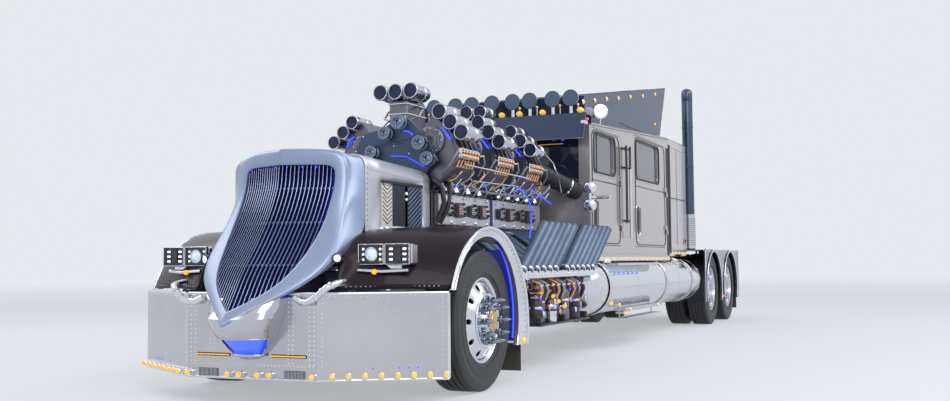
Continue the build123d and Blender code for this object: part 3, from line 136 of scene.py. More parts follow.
# Each soft box: place, the point it faces, width, height, power in watts
SOFT_BOXES = [((7.5, -7.0, 8.5), (0.0, 1.0, 1.2), 9.0, 7.5, 600.0),
              ((9.0, 6.0, 9.0), (0.0, 6.0, 1.2), 10.0, 7.5, 540.0),
              ((-8.0, 1.0, 9.0), (0.0, 3.0, 1.2), 10.0, 8.0, 400.0)]
for number, (place, target, width, height, power) in enumerate(SOFT_BOXES):
    light_data = bpy.data.lights.new("soft_box_%d" % number, "AREA")
    light_data.shape = "RECTANGLE"
    light_data.size = width
    light_data.size_y = height
    light_data.energy = power
    soft_box = bpy.data.objects.new("soft_box_%d" % number, light_data)
    spot = Vector(place) + Vector((0, AXLE_Y, 0))
    aim = Vector(target) + Vector((0, AXLE_Y, 0)) - spot
    soft_box.matrix_world = Matrix.Translation(spot) @ aim.to_track_quat("-Z", "Y").to_matrix().to_4x4()
    bpy.context.scene.collection.objects.link(soft_box)

# Chassis: two welded channel rails with cross members, painted gloss black. Bolt heads show in rows
# where the members meet the rails, and two round air tanks hang between them behind the cab.
LEFT, REAR, FRONT, UP = (1, 0, 0), (0, 1, 0), (0, -1, 0), (0, 0, 1)


class Shape:
    """The faces of one piece, gathered before it is fitted to the truck."""

    def __init__(self):
        self.points = []
        self.faces = []
        self.coats = []

    def skin(self, rings, closed=True, first=True, last=True, coat=0):
        """Faces from each outline to the next, all with the same number of points."""
        start = len(self.points)
        count = len(rings[0])
        for ring in rings:
            self.points += [Vector(p) for p in ring]
        for i in range(len(rings) - 1):
            a = start + i * count
            b = a + count
            for k in range(count if closed else count - 1):
                n = (k + 1) % count
                self.faces.append((a + k, a + n, b + n, b + k))
                self.coats.append(coat)
        if first:
            self.faces.append(tuple(start + k for k in reversed(range(count))))
            self.coats.append(coat)
        if last:
            end = start + (len(rings) - 1) * count
            self.faces.append(tuple(end + k for k in range(count)))
            self.coats.append(coat)

    def sleeve(self, rings, coat=0):
        """A skin with both its ends open."""
        self.skin(rings, first=False, last=False, coat=coat)

    def sheet(self, rows, coat=0):
        """A skin that isn't closed round."""
        self.skin(rows, closed=False, first=False, last=False, coat=coat)

    def turn(self, profile, centre, axis=LEFT, steps=24, coat=0):
        """A (radius, distance along the axis) outline turned about the axis."""
        axis = Vector(axis).normalized()
        side = axis.orthogonal().normalized()
        over = axis.cross(side)
        centre = Vector(centre)
        rings = []
        for radius, along in profile:
            radius = max(radius, 0.0004)
            rings.append([centre + axis * along + radius * (cos(a) * side + sin(a) * over)
                          for a in [2 * pi * k / steps for k in range(steps)]])
        self.skin(rings, coat=coat)

    def lathe(self, profile, centre, axis=LEFT, steps=24, coat=0):
        """The same with an outline in millimetres."""
        self.turn([(radius / 1000, along / 1000) for radius, along in profile], centre, axis, steps, coat)

    def rod(self, start, end, radius, steps=12, coat=0, edge=0.15):
        """A round bar with its end edges eased."""
        start, end = Vector(start), Vector(end)
        length = (end - start).length
        ease = min(radius * edge, length / 3)
        self.turn([(radius - ease, 0), (radius, ease), (radius, length - ease), (radius - ease, length)],
                  start, end - start, steps, coat)

    def tube(self, path, radius, steps=10, coat=0, ends=True):
        """A round tube bent along a path."""
        path = [Vector(p) for p in path]
        side = (path[1] - path[0]).orthogonal().normalized()
        rings = []
        for i, place in enumerate(path):
            ahead = (path[min(i + 1, len(path) - 1)] - path[max(i - 1, 0)]).normalized()
            side = (side - ahead * side.dot(ahead)).normalized()
            over = ahead.cross(side)
            rings.append([place + radius * (cos(a) * side + sin(a) * over)
                          for a in [2 * pi * k / steps for k in range(steps)]])
        self.skin(rings, first=ends, last=ends, coat=coat)

    def block(self, x0, x1, y0, y1, z0, z1, ease=0.004, coat=0):
        """A bar or plate with all its edges eased."""
        e = min(ease, (x1 - x0) / 3, (y1 - y0) / 3, (z1 - z0) / 3)
        rings = []
        for z, inset in ((z0, e), (z0 + e, 0), (z1 - e, 0), (z1, e)):
            u0, u1, v0, v1 = x0 + inset, x1 - inset, y0 + inset, y1 - inset
            rings.append([(u0 + e, v0, z), (u1 - e, v0, z), (u1, v0 + e, z), (u1, v1 - e, z),
                          (u1 - e, v1, z), (u0 + e, v1, z), (u0, v1 - e, z), (u0, v0 + e, z)])
        self.skin(rings, coat=coat)

    def studs(self, places, out, radius=0.009, rise=0.4, steps=8, coat=0):
        """Domed heads of rivets or bolts standing on a surface that faces out."""
        out = Vector(out).normalized()
        for place in places:
            self.turn([(radius, 0.0), (radius * 0.8, radius * rise * 0.7), (radius * 0.3, radius * rise)],
                      place, out, steps, coat)

    def add(self, other):
        """Another piece's faces."""
        count = len(self.points)
        self.points += [p.copy() for p in other.points]
        self.faces += [tuple(i + count for i in face) for face in other.faces]
        self.coats += other.coats
        return self

    def flipped(self):
        """The faces moved over to the truck's other side."""
        self.points = [Vector((-p.x, p.y, p.z)) for p in self.points]
        self.faces = [tuple(reversed(face)) for face in self.faces]
        return self

    def mirrored(self):
        """The same faces again on the truck's other side."""
        return self.add(Shape().add(self).flipped())


def along(start, end, count):
    """Places evenly spaced on a line, both ends included."""
    start, end = Vector(start), Vector(end)
    return [start.lerp(end, k / (count - 1)) for k in range(count)]


def fit(name, shape, coats, body="truck", replaces=(), smooth=38.0, levels=0):
    """Make a piece from its faces, put it on its body and hide the solids it stands for."""
    mesh = bpy.data.meshes.new(name)
    mesh.from_pydata([(p.x, p.y + AXLE_Y, p.z) for p in shape.points], [], shape.faces)
    mesh.validate()
    for coat in coats:
        mesh.materials.append(coat)
    if len(coats) > 1:
        mesh.polygons.foreach_set("material_index", shape.coats)
    piece = bpy.data.objects.new(name, mesh)
    bpy.context.scene.collection.objects.link(piece)
    if levels:
        rounding = piece.modifiers.new("rounding", "SUBSURF")
        rounding.levels = levels
        rounding.render_levels = levels
        mesh.polygons.foreach_set("use_smooth", [True] * len(mesh.polygons))
    else:
        mesh.shade_smooth()
        mesh.set_sharp_from_angle(angle=radians(smooth))
    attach(piece, body)
    if replaces:
        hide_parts(*replaces)
    return piece


def finish(name, colour, metal=0.0, rough=0.4, coat=0.0, mottle=0.08, patch=1.5, grain=0.04, grain_size=250.0,
           stretch=(1.0, 1.0, 1.0), bump=0.03, dust=0.0, glow=0.0):
    """A surface with broad colour variation, fine grain in its roughness and relief, and dust low down."""
    material = bpy.data.materials.new(name)
    material.use_nodes = True
    tree = material.node_tree
    shader = tree.nodes["Principled BSDF"]
    shader.inputs["Metallic"].default_value = metal
    shader.inputs["Coat Weight"].default_value = coat
    shader.inputs["Coat Roughness"].default_value = 0.04
    place = node(tree, "TexCoord").outputs["Object"]
    stretched = node(tree, "Mapping", {"Vector": place, "Scale": stretch}).outputs["Vector"]
    clouds = node(tree, "TexNoise", {"Vector": place, "Scale": patch, "Detail": 6.0, "Roughness": 0.6}).outputs["Fac"]
    fine = node(tree, "TexNoise", {"Vector": stretched, "Scale": grain_size, "Detail": 4.0}).outputs["Fac"]
    shades = node(tree, "ValToRGB", {"Fac": clouds})
    darker, lighter = shades.color_ramp.elements
    darker.position, lighter.position = 0.3, 0.72
    darker.color = tuple(c * (1 - mottle) for c in colour) + (1,)
    lighter.color = tuple(min(1.0, c * (1 + mottle) + mottle * 0.01) for c in colour) + (1,)
    surface = shades.outputs["Color"]
    half = node(tree, "Math", {0: clouds, 1: 0.5}, operation="MULTIPLY").outputs["Value"]
    blend = node(tree, "Math", {0: fine, 1: 0.5, 2: half}, operation="MULTIPLY_ADD").outputs["Value"]
    spread = {"Value": blend, "To Min": max(0.02, rough - grain), "To Max": min(1.0, rough + grain)}
    roughness = node(tree, "MapRange", spread).outputs["Result"]
    if dust:
        height = node(tree, "SeparateXYZ", {"Vector": place}).outputs["Z"]
        low_down = node(tree, "MapRange", {"Value": height, "From Min": 1.1, "From Max": 0.1, "To Max": dust})
        patches = node(tree, "Math", {0: low_down.outputs["Result"], 1: clouds},
                       operation="MULTIPLY").outputs["Value"]
        surface = node(tree, "Mix", {0: patches, 6: surface, 7: (0.3, 0.25, 0.2, 1)}, data_type="RGBA").outputs[2]
        roughness = node(tree, "Math", {0: patches, 1: roughness}, operation="ADD").outputs["Value"]
    tree.links.new(surface, shader.inputs["Base Color"])
    tree.links.new(roughness, shader.inputs["Roughness"])
    if bump:
        relief = node(tree, "Bump", {"Strength": bump, "Distance": 0.002, "Height": fine})
        tree.links.new(relief.outputs["Normal"], shader.inputs["Normal"])
    if glow:
        tree.links.new(surface, shader.inputs["Emission Color"])
        shader.inputs["Emission Strength"].default_value = glow
    return material


def repaint(solid, coat):
    """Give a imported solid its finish."""
    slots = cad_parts[solid].data.materials
    slots.clear()
    slots.append(coat)


RAIL_X = 0.43
RAIL_LOW = 0.64
MEMBERS_Y = [-0.6, 0.33, 3.3, 5.2, 6.9, 8.1, 9.417, 10.5]
AIR_TANKS_Y = [(5.45, 6.35), (7.05, 7.95)]
frame_black = finish("frame_black", (0.022, 0.022, 0.027), rough=0.26, coat=0.6, mottle=0.25, dust=0.45)
bolt_zinc = finish("bolt_zinc", (0.52, 0.52, 0.55), metal=1.0, rough=0.32, mottle=0.2, patch=20.0)
repaint("chassis_frame", frame_black)
fittings = Shape()
for y in MEMBERS_Y:
    for z in (RAIL_LOW + 0.06, RAIL_LOW + 0.13, RAIL_LOW + 0.2):
        fittings.studs([(RAIL_X, y - 0.03, z), (RAIL_X, y + 0.03, z)], LEFT, 0.014, 0.7, 6)
for z in (0.86, 0.68):
    fittings.studs(along((RAIL_X, 8.3, z), (RAIL_X, 10.8, z), 26), LEFT, 0.011, 0.7, 6)
fittings.mirrored()
for start, end in AIR_TANKS_Y:
    for x in (-0.17, 0.17):
        fittings.turn([(0.03, 0), (0.09, 0.012), (0.12, 0.05), (0.12, end - start - 0.05),
                       (0.09, end - start - 0.012), (0.03, end - start)], (x, start, 0.8), REAR, 24, 1)
for x, z in ((0.335, 0.875), (0.335, 0.855), (-0.335, 0.875), (-0.335, 0.855)):
    fittings.tube([(x, 3.4, z), (x, 5.0, z - 0.005), (x, 7.0, z), (x, 8.9, z - 0.005), (x, 10.6, z)], 0.007, 6, 2)
hose_black = finish("hose_black", (0.02, 0.02, 0.024), rough=0.5, mottle=0.2)
tank_silver = finish("tank_silver", (0.5, 0.5, 0.53), metal=1.0, rough=0.25, mottle=0.1, dust=0.3)
fit("chassis_fittings", fittings, [bolt_zinc, tank_silver, hose_black])

# Front axle: a forged dropped beam on two leaf springs of seven leaves, held by U-bolts. The knuckles
# turn on kingpins at its ends and a track rod joins their arms.
axle_iron = finish("axle_iron", (0.055, 0.055, 0.065), metal=0.3, rough=0.42, mottle=0.25, grain_size=120.0,
                   bump=0.25, dust=0.5)
for solid in ("front_axle", "rear_axles", "knuckle_left", "knuckle_right", "track_rod"):
    repaint(solid, axle_iron)
LEAF_X = (0.357, 0.423)
LEAF_T = 0.012
springs = Shape()
for leaf in range(7):
    reach = 0.62 - leaf * 0.075
    top = 0.478 - leaf * (LEAF_T + 0.001) + 0.085
    path = [(reach * k / 8, top + 0.05 * (reach * k / 8 / 0.62) ** 2) for k in range(-8, 9)]
    for (y0, z0), (y1, z1) in zip(path, path[1:]):
        springs.skin([[(LEAF_X[0], y, z), (LEAF_X[1], y, z), (LEAF_X[1], y, z - LEAF_T), (LEAF_X[0], y, z - LEAF_T)]
                      for y, z in ((y0, z0), (y1, z1))])
for y in (-0.09, 0.09):
    springs.tube([(0.35, y, 0.37), (0.35, y, 0.57), (0.36, y, 0.585), (0.42, y, 0.585), (0.43, y, 0.57),
                  (0.43, y, 0.37)], 0.011, 8)
springs.rod((0.34, -0.62, 0.6), (0.44, -0.62, 0.6), 0.03, 16)
springs.rod((0.34, 0.62, 0.6), (0.44, 0.62, 0.6), 0.03, 16)
springs.mirrored()
fit("front_springs", springs, [axle_iron])

# Rear axles: cast housings with a round cover and bolts, on short springs. The covers and the
# brake chambers show from behind between the wheels.
REAR_AXLES_Y = (8.748, 10.087)
AXLE_Z = 0.531


def circle(centre, radius, count, over=LEFT, start=0.0):
    """Places round a centre in an upright plane: across the truck, or along it with over=REAR."""
    return [Vector(centre) + radius * (cos(a) * Vector(over) + sin(a) * Vector(UP))
            for a in [start + 2 * pi * k / count for k in range(count)]]


rear_gear = Shape()
for y in REAR_AXLES_Y:
    rear_gear.lathe([(190, 0), (200, 10), (180, 35), (110, 60), (20, 66)], (0, y + 0.15, AXLE_Z), REAR, 32)
    rear_gear.studs(circle((0, y + 0.18, AXLE_Z), 0.172, 12), REAR, 0.012, 0.8, 6)
    for x in (0.47, -0.47):
        rear_gear.lathe([(30, 0), (75, 10), (80, 50), (85, 55), (85, 70), (80, 75), (70, 130), (30, 140)],
                        (x, y + 0.14, 0.62), (0, 1, 0.2), 20)
        for leaf in range(5):
            z = 0.645 - leaf * 0.016
            rear_gear.block(min(x * 0.76, x * 0.9), max(x * 0.76, x * 0.9), y - 0.5 + leaf * 0.07,
                            y + 0.5 - leaf * 0.07, z - 0.013, z, 0.003)
fit("rear_axle_gear", rear_gear, [axle_iron])

# Wheels: forged aluminium discs, polished bright, with hand holes and long spiked nut covers. The front
# ones stand proud of the tyre, the rear ones are deep dishes round a drum hub. Tyres are road treads.
TYRE_R = AXLE_Z
TYRE_W = 0.286
tyre_rubber = finish("tyre_rubber", (0.024, 0.024, 0.026), rough=0.62, mottle=0.22, patch=6.0, grain_size=160.0,
                     bump=0.3)
sidewall_rubber = finish("sidewall_rubber", (0.028, 0.028, 0.031), rough=0.5, mottle=0.2, patch=5.0,
                         grain_size=90.0, bump=0.12)
spike_steel = finish("spike_steel", (0.28, 0.31, 0.4), metal=1.0, rough=0.22, mottle=0.08, patch=20.0)
wheel_polish = finish("wheel_polish", (0.7, 0.72, 0.78), metal=1.0, rough=0.2, mottle=0.04, patch=8.0,
                      grain=0.05, bump=0.02)
# Black for the disc behind the hand holes: painted shade seen through them.
hand_hole_painted_shade = finish("hand_hole_painted_shade", (0.02, 0.02, 0.024), rough=0.7, mottle=0.3)
hub_gold = finish("hub_gold", (0.62, 0.46, 0.22), metal=1.0, rough=0.25, mottle=0.15, patch=30.0)


def ribbed_tyre(x_middle, y, side, blocks=0):
    """A tyre with grooves round it, ribs on its walls, and cross cuts when it drives."""
    half = TYRE_W / 2
    wall = [(0.3145, -0.82 * half), (0.335, -0.9 * half), (0.347, -0.93 * half), (0.35, -0.99 * half),
            (0.36, -0.97 * half), (0.395, -half), (0.43, -half), (0.434, -0.985 * half), (0.44, -half),
            (0.478, -0.985 * half), (0.481, -0.965 * half), (0.486, -0.975 * half), (0.505, -0.93 * half),
            (0.522, -0.87 * half)]
    tread = [(TYRE_R - 0.003, -0.78 * half)]
    for groove in (-0.5, -0.17, 0.17, 0.5):
        for offset, depth in ((-0.035, 0.0), (-0.025, 0.014), (0.025, 0.014), (0.035, 0.0)):
            tread.append((TYRE_R - 0.001 - depth - 0.003 * abs(groove), (groove + offset) * half))
    tread.append((TYRE_R - 0.003, 0.78 * half))
    wall_out = [(r, -a) for r, a in reversed(wall)]
    tyre = Shape()
    steps = 88
    tyre.turn([(r, a * side) for r, a in wall], (x_middle, y, TYRE_R), LEFT, steps, 1)
    tyre.turn([(r, a * side) for r, a in [wall[-1]] + tread + [wall_out[0]]], (x_middle, y, TYRE_R), LEFT, steps)
    tyre.turn([(r, a * side) for r, a in wall_out], (x_middle, y, TYRE_R), LEFT, steps, 1)
    tyre.faces = [f for f in tyre.faces if len(f) == 4]
    tyre.coats = [1 if max(hypot(tyre.points[i].y - y, tyre.points[i].z - TYRE_R) for i in f) < 0.5225 else 0
                  for f in tyre.faces]
    for k in range(blocks):
        a = 2 * pi * k / blocks
        ahead = Vector((0, -sin(a), cos(a)))
        out = Vector((0, cos(a), sin(a)))
        middle = Vector((x_middle, y, TYRE_R)) + out * (TYRE_R - 0.006)
        for lane in (-0.68, -0.335, 0.0, 0.335, 0.68):
            lean = 0.012 if lane > 0 else -0.012
            u0 = Vector((lane * half - 0.0215, 0, 0)) - ahead * (0.013 - lean)
            u1 = Vector((lane * half + 0.0215, 0, 0)) - ahead * (0.013 + lean)
            rings = []
            for lift, shrink in ((0.0, 1.0), (0.0062, 0.9)):
                base = middle + out * lift
                rings.append([base + u0, base + u1, base + u1 + ahead * 0.03 * shrink,
                              base + u0 + ahead * 0.03 * shrink])
            tyre.skin(rings, first=False)
    return tyre


def holed_disc(shape, x, y, side, inner, outer, hole_at, hole_r, count, slope, coat=0, thick=0.022):
    """A wheel disc cut into sectors, each with one hand hole and a pressed edge round it."""
    steps = 24
    for sector in range(count):
        centre_a = 2 * pi * sector / count
        rings = []
        ring_hole, ring_lip, ring_edge = [], [], []
        for k in range(steps):
            t = 2 * pi * k / steps
            hr = hole_at + hole_r * cos(t)
            ha = centre_a + hole_r * 0.86 * sin(t) / hole_at
            ring_hole.append((hr, ha, -thick))
            ring_lip.append((hr, ha, 0.0))
            ring_edge.append((hole_at + (hole_r + 0.008) * cos(t),
                              centre_a + (hole_r + 0.008) * 0.86 * sin(t) / hole_at, 0.004))
        border = []
        half_angle = pi / count
        for k in range(steps):
            t = 2 * pi * k / steps
            u, v = cos(t), sin(t)
            scale = 1 / max(abs(u), abs(v))
            r = (inner + outer) / 2 + u * scale * (outer - inner) / 2
            border.append((r, centre_a + v * scale * half_angle, 0.004))
        for ring in (ring_hole, ring_lip, ring_edge, border):
            rings.append([(x + side * (slope(r) + lift), y + r * cos(a), TYRE_R + r * sin(a)) for r, a, lift in ring])
        shape.sleeve(rings, coat)


FRONT_X = 1.226 - TYRE_W / 2
for name, side in (("left", 1), ("right", -1)):
    body = "front_wheel_" + name
    tyre = ribbed_tyre(side * FRONT_X, 0.0, side)
    fit("front_tyre_" + name + "_rubber", tyre, [tyre_rubber, sidewall_rubber], body,
        ["front_tyre_" + name])
    wheel = Shape()
    x = side * FRONT_X
    wheel.lathe([(300, -110), (313.5, -117), (313.5, 112), (318, 117), (318, 122), (306, 124), (298, 118), (292, 98),
                 (286, 50), (284, -80), (300, -110)], (x, 0, TYRE_R), (side, 0, 0), 72)
    holed_disc(wheel, x, 0.0, side, 0.205, 0.288, 0.252, 0.024, 10, lambda r: 0.095 + (0.288 - r) * 0.62)
    wheel.lathe([(205, 146), (206, 156), (200, 163), (185, 163), (178, 158), (176, 149), (130, 149), (122, 153),
                 (120, 160), (113, 183), (106, 193), (88, 197), (86, 207)], (x, 0, TYRE_R), (side, 0, 0), 60)
    wheel.lathe([(86, 206), (85.5, 209), (78, 214), (55, 217)], (x, 0, TYRE_R), (side, 0, 0), 60, 2)
    wheel.lathe([(55, 216.5), (52, 221), (30, 226), (10, 228)], (x, 0, TYRE_R), (side, 0, 0), 32, 2)
    # A flat black disc inside the rim behind the hand holes: painted shade of the wheel's inside seen through them.
    wheel.lathe([(285, 30), (50, 30)], (x, 0, TYRE_R), (side, 0, 0), 40, 1)
    for place in circle((x, 0, TYRE_R), 0.157, 10, REAR):
        wheel.lathe([(27, 146), (27, 162), (22.5, 166), (22.5, 200), (26, 203), (26, 210), (21.5, 214), (20.5, 232),
                     (12, 262), (4, 287)], place, (side, 0, 0), 12, 3)
    wheel.studs(circle((x + side * 0.1965, 0, TYRE_R), 0.099, 8, REAR, 0.2), (side, 0, 0), 0.0065, 0.8, 6)
    fit("front_wheel_" + name + "_disc", wheel, [wheel_polish, hand_hole_painted_shade, hub_gold, spike_steel], body,
        ["front_wheel_" + name])


TWIN_GAP = 0.046
OUTER_X = 1.196 - TYRE_W / 2
INNER_X = OUTER_X - TYRE_W - TWIN_GAP
for row, y in enumerate(REAR_AXLES_Y, 1):
    for name, side in (("left", 1), ("right", -1)):
        place = name + "_" + str(row)
        body = "rear_wheel_" + place
        tyres = ribbed_tyre(side * INNER_X, y, side, blocks=52)
        tyres.add(ribbed_tyre(side * OUTER_X, y, side, blocks=52))
        fit("rear_tyres_" + place + "_rubber", tyres, [tyre_rubber, sidewall_rubber], body,
            ["rear_tyres_" + place])
        wheel = Shape()
        x = side * OUTER_X
        wheel.lathe([(300, -440), (313.5, -447), (313.5, 112), (318, 117), (318, 122), (306, 124), (298, 118),
                     (292, 90), (286, 40), (284, -100), (284, -420), (300, -440)], (x, y, TYRE_R), (side, 0, 0), 72)
        holed_disc(wheel, x, y, side, 0.19, 0.284, 0.24, 0.029, 10, lambda r: -0.138 + (0.284 - r) * 0.1)
        wheel.lathe([(190, -128), (130, -122), (125, -112), (120, 30), (112, 48), (90, 60), (88, 78), (78, 90),
                     (50, 94), (10, 95)], (x, y, TYRE_R), (side, 0, 0), 48)
        for nut in circle((x, y, TYRE_R), 0.162, 10, REAR):
            wheel.lathe([(23, -125), (23, -108), (18.5, -104), (18.5, -62), (12, -35), (3, -18)], nut,
                        (side, 0, 0), 10)
        wheel.studs(circle((x + side * 0.055, y, TYRE_R), 0.1, 8, REAR, 0.2), (side, 0, 0), 0.008, 0.8, 6)
        fit("rear_wheel_" + place + "_disc", wheel, [wheel_polish], body, ["rear_wheel_" + place])

# Front bumper: one tall sheet of polished aluminium with a flat middle and swept wings, riveted along
# its folds, with two bars of amber diodes, two mesh vents and a row of bullet lamps near the ground.
bumper_polish = finish("bumper_polish", (0.6, 0.61, 0.64), metal=1.0, rough=0.1, mottle=0.1, patch=1.2, grain=0.05,
                       bump=0.015, dust=0.35)
trim_polish = finish("trim_polish", (0.74, 0.76, 0.8), metal=1.0, rough=0.08, mottle=0.05, patch=5.0, grain=0.03,
                     bump=0.0)
amber_glow = finish("amber_glow", (0.95, 0.42, 0.03), rough=0.12, coat=1.0, mottle=0.3, patch=40.0, glow=0.75)
mesh_black = finish("mesh_black", (0.03, 0.03, 0.035), metal=0.6, rough=0.45, mottle=0.3)
blue_glow = finish("blue_glow", (0.03, 0.06, 1.0), rough=0.2, mottle=0.1, glow=2.2)
repaint("front_bumper", bumper_polish)
BUMPER_X = 0.532
BUMPER_Y = -1.227
BUMPER_LOW = 0.18
BUMPER_TOP = 0.765
WING = Vector((1.287, -0.769, 0)) - Vector((BUMPER_X, BUMPER_Y, 0))
WING_OUT = Vector((-WING.y, WING.x, 0)).normalized() * -1
bumper_trim = Shape()


def on_wing(part, z, proud=0.0):
    """A place on the left wing: part of the way out to its end, at a height."""
    return Vector((BUMPER_X, BUMPER_Y, z)) + WING * part + WING_OUT * proud


for z in (BUMPER_TOP - 0.003, BUMPER_LOW + 0.004):
    bumper_trim.tube([(0, BUMPER_Y + 0.004, z), (0.3, BUMPER_Y + 0.004, z), (BUMPER_X - 0.01, BUMPER_Y + 0.006, z)]
                     + [on_wing(t, z, -0.004) for t in (0.02, 0.3, 0.7, 1.0)], 0.01, 10)
bumper_trim.tube([on_wing(1.0, z, -0.006) for z in (0.185, 0.4, 0.6, 0.76)], 0.011, 10)
for x in (0.508, 0.47, 0.34, 0.305):
    bumper_trim.studs(along((x, BUMPER_Y, 0.29), (x, BUMPER_Y, 0.735), 15), FRONT, 0.0065)
for part in (0.035, 0.95):
    bumper_trim.studs([on_wing(part, 0.28 + 0.032 * k) for k in range(15)], WING_OUT, 0.0065)
bumper_trim.studs([on_wing(0.05 + 0.9 * k / 22, 0.742) for k in range(23)], WING_OUT, 0.0055)
bumper_trim.studs(along((0.05, BUMPER_Y, 0.275), (0.5, BUMPER_Y, 0.275), 16), FRONT, 0.0055)
bumper_trim.block(0.17, 0.45, BUMPER_Y - 0.008, BUMPER_Y + 0.002, 0.33, 0.352, 0.003, 2)
for x in along((0.177, 0, 0), (0.443, 0, 0), 24):
    bumper_trim.lathe([(5.8, 0), (5, 4), (2, 6)], (x[0], BUMPER_Y - 0.008, 0.341), FRONT, 8, 1)
bumper_trim.block(0.27, 0.44, BUMPER_Y - 0.003, BUMPER_Y + 0.002, 0.185, 0.245, 0.002, 2)
for k in range(15):
    x = 0.277 + k * 0.0112
    bumper_trim.block(x, x + 0.003, BUMPER_Y - 0.007, BUMPER_Y - 0.002, 0.188, 0.242, 0.001)
for k in range(6):
    z = 0.19 + k * 0.0098
    bumper_trim.block(0.272, 0.438, BUMPER_Y - 0.006, BUMPER_Y - 0.002, z, z + 0.0025, 0.001)
for part in (0.42, 0.62, 0.69, 0.76):
    bumper_trim.studs([on_wing(part, 0.262)], WING_OUT, 0.007, 0.8, 8, 3)
bumper_trim.mirrored()
fit("bumper_trim", bumper_trim, [trim_polish, amber_glow, mesh_black, blue_glow])

# Marker lamps: chrome bullet pods with amber noses along the bumper, small amber beads along the cab
# sill and the rear box, and amber torpedoes on the roof visor.
CAB_BEADS = (3.54, 6.59)
BOX_BEADS = (6.99, 7.86)
lamps = Shape()
pods = [((x, BUMPER_Y, 0.213), Vector(FRONT)) for x in (0.075, 0.17, 0.51)]
pods += [(on_wing((k + 0.9) / 8.1, 0.213), WING_OUT) for k in range(8)]
for place, out in pods:
    place = Vector(place)
    lamps.lathe([(21, -1), (21.8, 4), (19, 7), (20.2, 22), (21.2, 30), (20, 34)], place, out, 16)
    lamps.lathe([(19.3, 33), (18.5, 39), (15.5, 48), (9.5, 55), (3, 58)], place, out, 16, 1)
for k in range(14):
    y = CAB_BEADS[0] + k * (CAB_BEADS[1] - CAB_BEADS[0]) / 13
    lamps.lathe([(17, 0), (18, 5), (14, 8)], (1.05, y, 0.98), LEFT, 14)
    lamps.lathe([(14, 7), (12, 16), (8, 22), (2, 25)], (1.05, y, 0.98), LEFT, 14, 1)
for k in range(5):
    y = BOX_BEADS[0] + k * (BOX_BEADS[1] - BOX_BEADS[0]) / 4
    lamps.lathe([(19, 0), (20, 6), (17, 9)], (1.0, y, 1.06), LEFT, 14)
    lamps.lathe([(16.5, 8), (14, 20), (9, 28), (3, 31)], (1.0, y, 1.06), LEFT, 14, 1)
for x in (0.135, 0.335, 0.595, 1.005):
    lamps.turn([(0.004, 0.0), (0.018, 0.003), (0.028, 0.02), (0.0315, 0.045), (0.0315, 0.085), (0.03, 0.098)][::-1],
               (x, 2.988, 2.517), REAR, 18, 1)
    lamps.lathe([(31, 60), (32, 64), (32, 92), (22, 98), (4, 99)], (x, 2.985, 2.517), REAR, 18)
    lamps.block(x - 0.012, x + 0.012, 3.02, 3.07, 2.4855, 2.495, 0.003)
lamps.mirrored()
fit("marker_lamp_pods", lamps, [trim_polish, amber_glow], replaces=["marker_lamps"])

# Grille shell: a beaten aluminium surround with a keel down its middle, painted satin silver blue. Its
# border narrows downward to a point in front of the bumper, and its sides run back to the hood.
shell_blue = finish("shell_blue", (0.28, 0.345, 0.49), metal=0.55, rough=0.33, coat=0.35, mottle=0.06, patch=0.8,
                    grain=0.05, grain_size=700.0, bump=0.015, dust=0.2)
KEEL = [(0.54, -1.582), (0.674, -1.482), (0.905, -1.33), (1.096, -1.171), (1.284, -1.036), (1.501, -0.925),
        (1.654, -0.9), (1.8, -0.885)]
KEEL_SLOPE = 0.155 / 0.385


def keel_y(z):
    """How far forward the keel stands at a height, on a smooth line."""
    places = [KEEL[0]] + KEEL + [KEEL[-1]]
    for i in range(1, len(places) - 2):
        if z <= places[i + 1][0] or i == len(places) - 3:
            (z0, y0), (z1, y1), (z2, y2), (z3, y3) = places[i - 1:i + 3]
            t = (z - z1) / (z2 - z1)
            slope1 = (y2 - y0) / max(z2 - z0, 0.01) * (z2 - z1)
            slope2 = (y3 - y1) / max(z3 - z1, 0.01) * (z2 - z1)
            return ((2 * t ** 3 - 3 * t ** 2 + 1) * y1 + (t ** 3 - 2 * t ** 2 + t) * slope1
                    + (3 * t ** 2 - 2 * t ** 3) * y2 + (t ** 3 - t ** 2) * slope2)


def on_face(x, z, back=0.0):
    """A place on the swept front face."""
    return Vector((x, keel_y(z) + KEEL_SLOPE * abs(x) + back, z))


# Each station round the left half: opening (X, Z), outer rim (X, Z), back edge (X, Y, Z)
SHELL = [((0.0, 1.676), (0.0, 1.796), (0.0, -0.64, 1.757)),
         ((0.02, 1.676), (0.02, 1.796), (0.022, -0.64, 1.757)),
         ((0.14, 1.676), (0.16, 1.796), (0.175, -0.64, 1.757)),
         ((0.27, 1.676), (0.305, 1.791), (0.34, -0.64, 1.757)),
         ((0.352, 1.672), (0.4, 1.772), (0.475, -0.64, 1.757)),
         ((0.384, 1.64), (0.452, 1.716), (0.545, -0.64, 1.728)),
         ((0.385, 1.52), (0.466, 1.575), (0.569, -0.64, 1.64)),
         ((0.385, 1.4), (0.476, 1.43), (0.569, -0.64, 1.45)),
         ((0.385, 1.28), (0.49, 1.3), (0.569, -0.64, 1.3)),
         ((0.374, 1.13), (0.512, 1.18), (0.569, -0.66, 1.185)),
         ((0.34, 0.985), (0.532, 1.08), (0.56, -0.78, 1.095)),
         ((0.3, 0.895), (0.52, 0.975), (0.535, -0.94, 0.995)),
         ((0.257, 0.832), (0.474, 0.885), (0.485, -1.06, 0.905)),
         ((0.212, 0.788), (0.4, 0.812), (0.41, -1.17, 0.832)),
         ((0.162, 0.748), (0.305, 0.745), (0.315, -1.255, 0.765)),
         ((0.1, 0.706), (0.18, 0.668), (0.19, -1.37, 0.688)),
         ((0.02, 0.658), (0.03, 0.566), (0.031, -1.485, 0.584)),
         ((0.0, 0.648), (0.0, 0.548), (0.0, -1.492, 0.566))]
rows = []
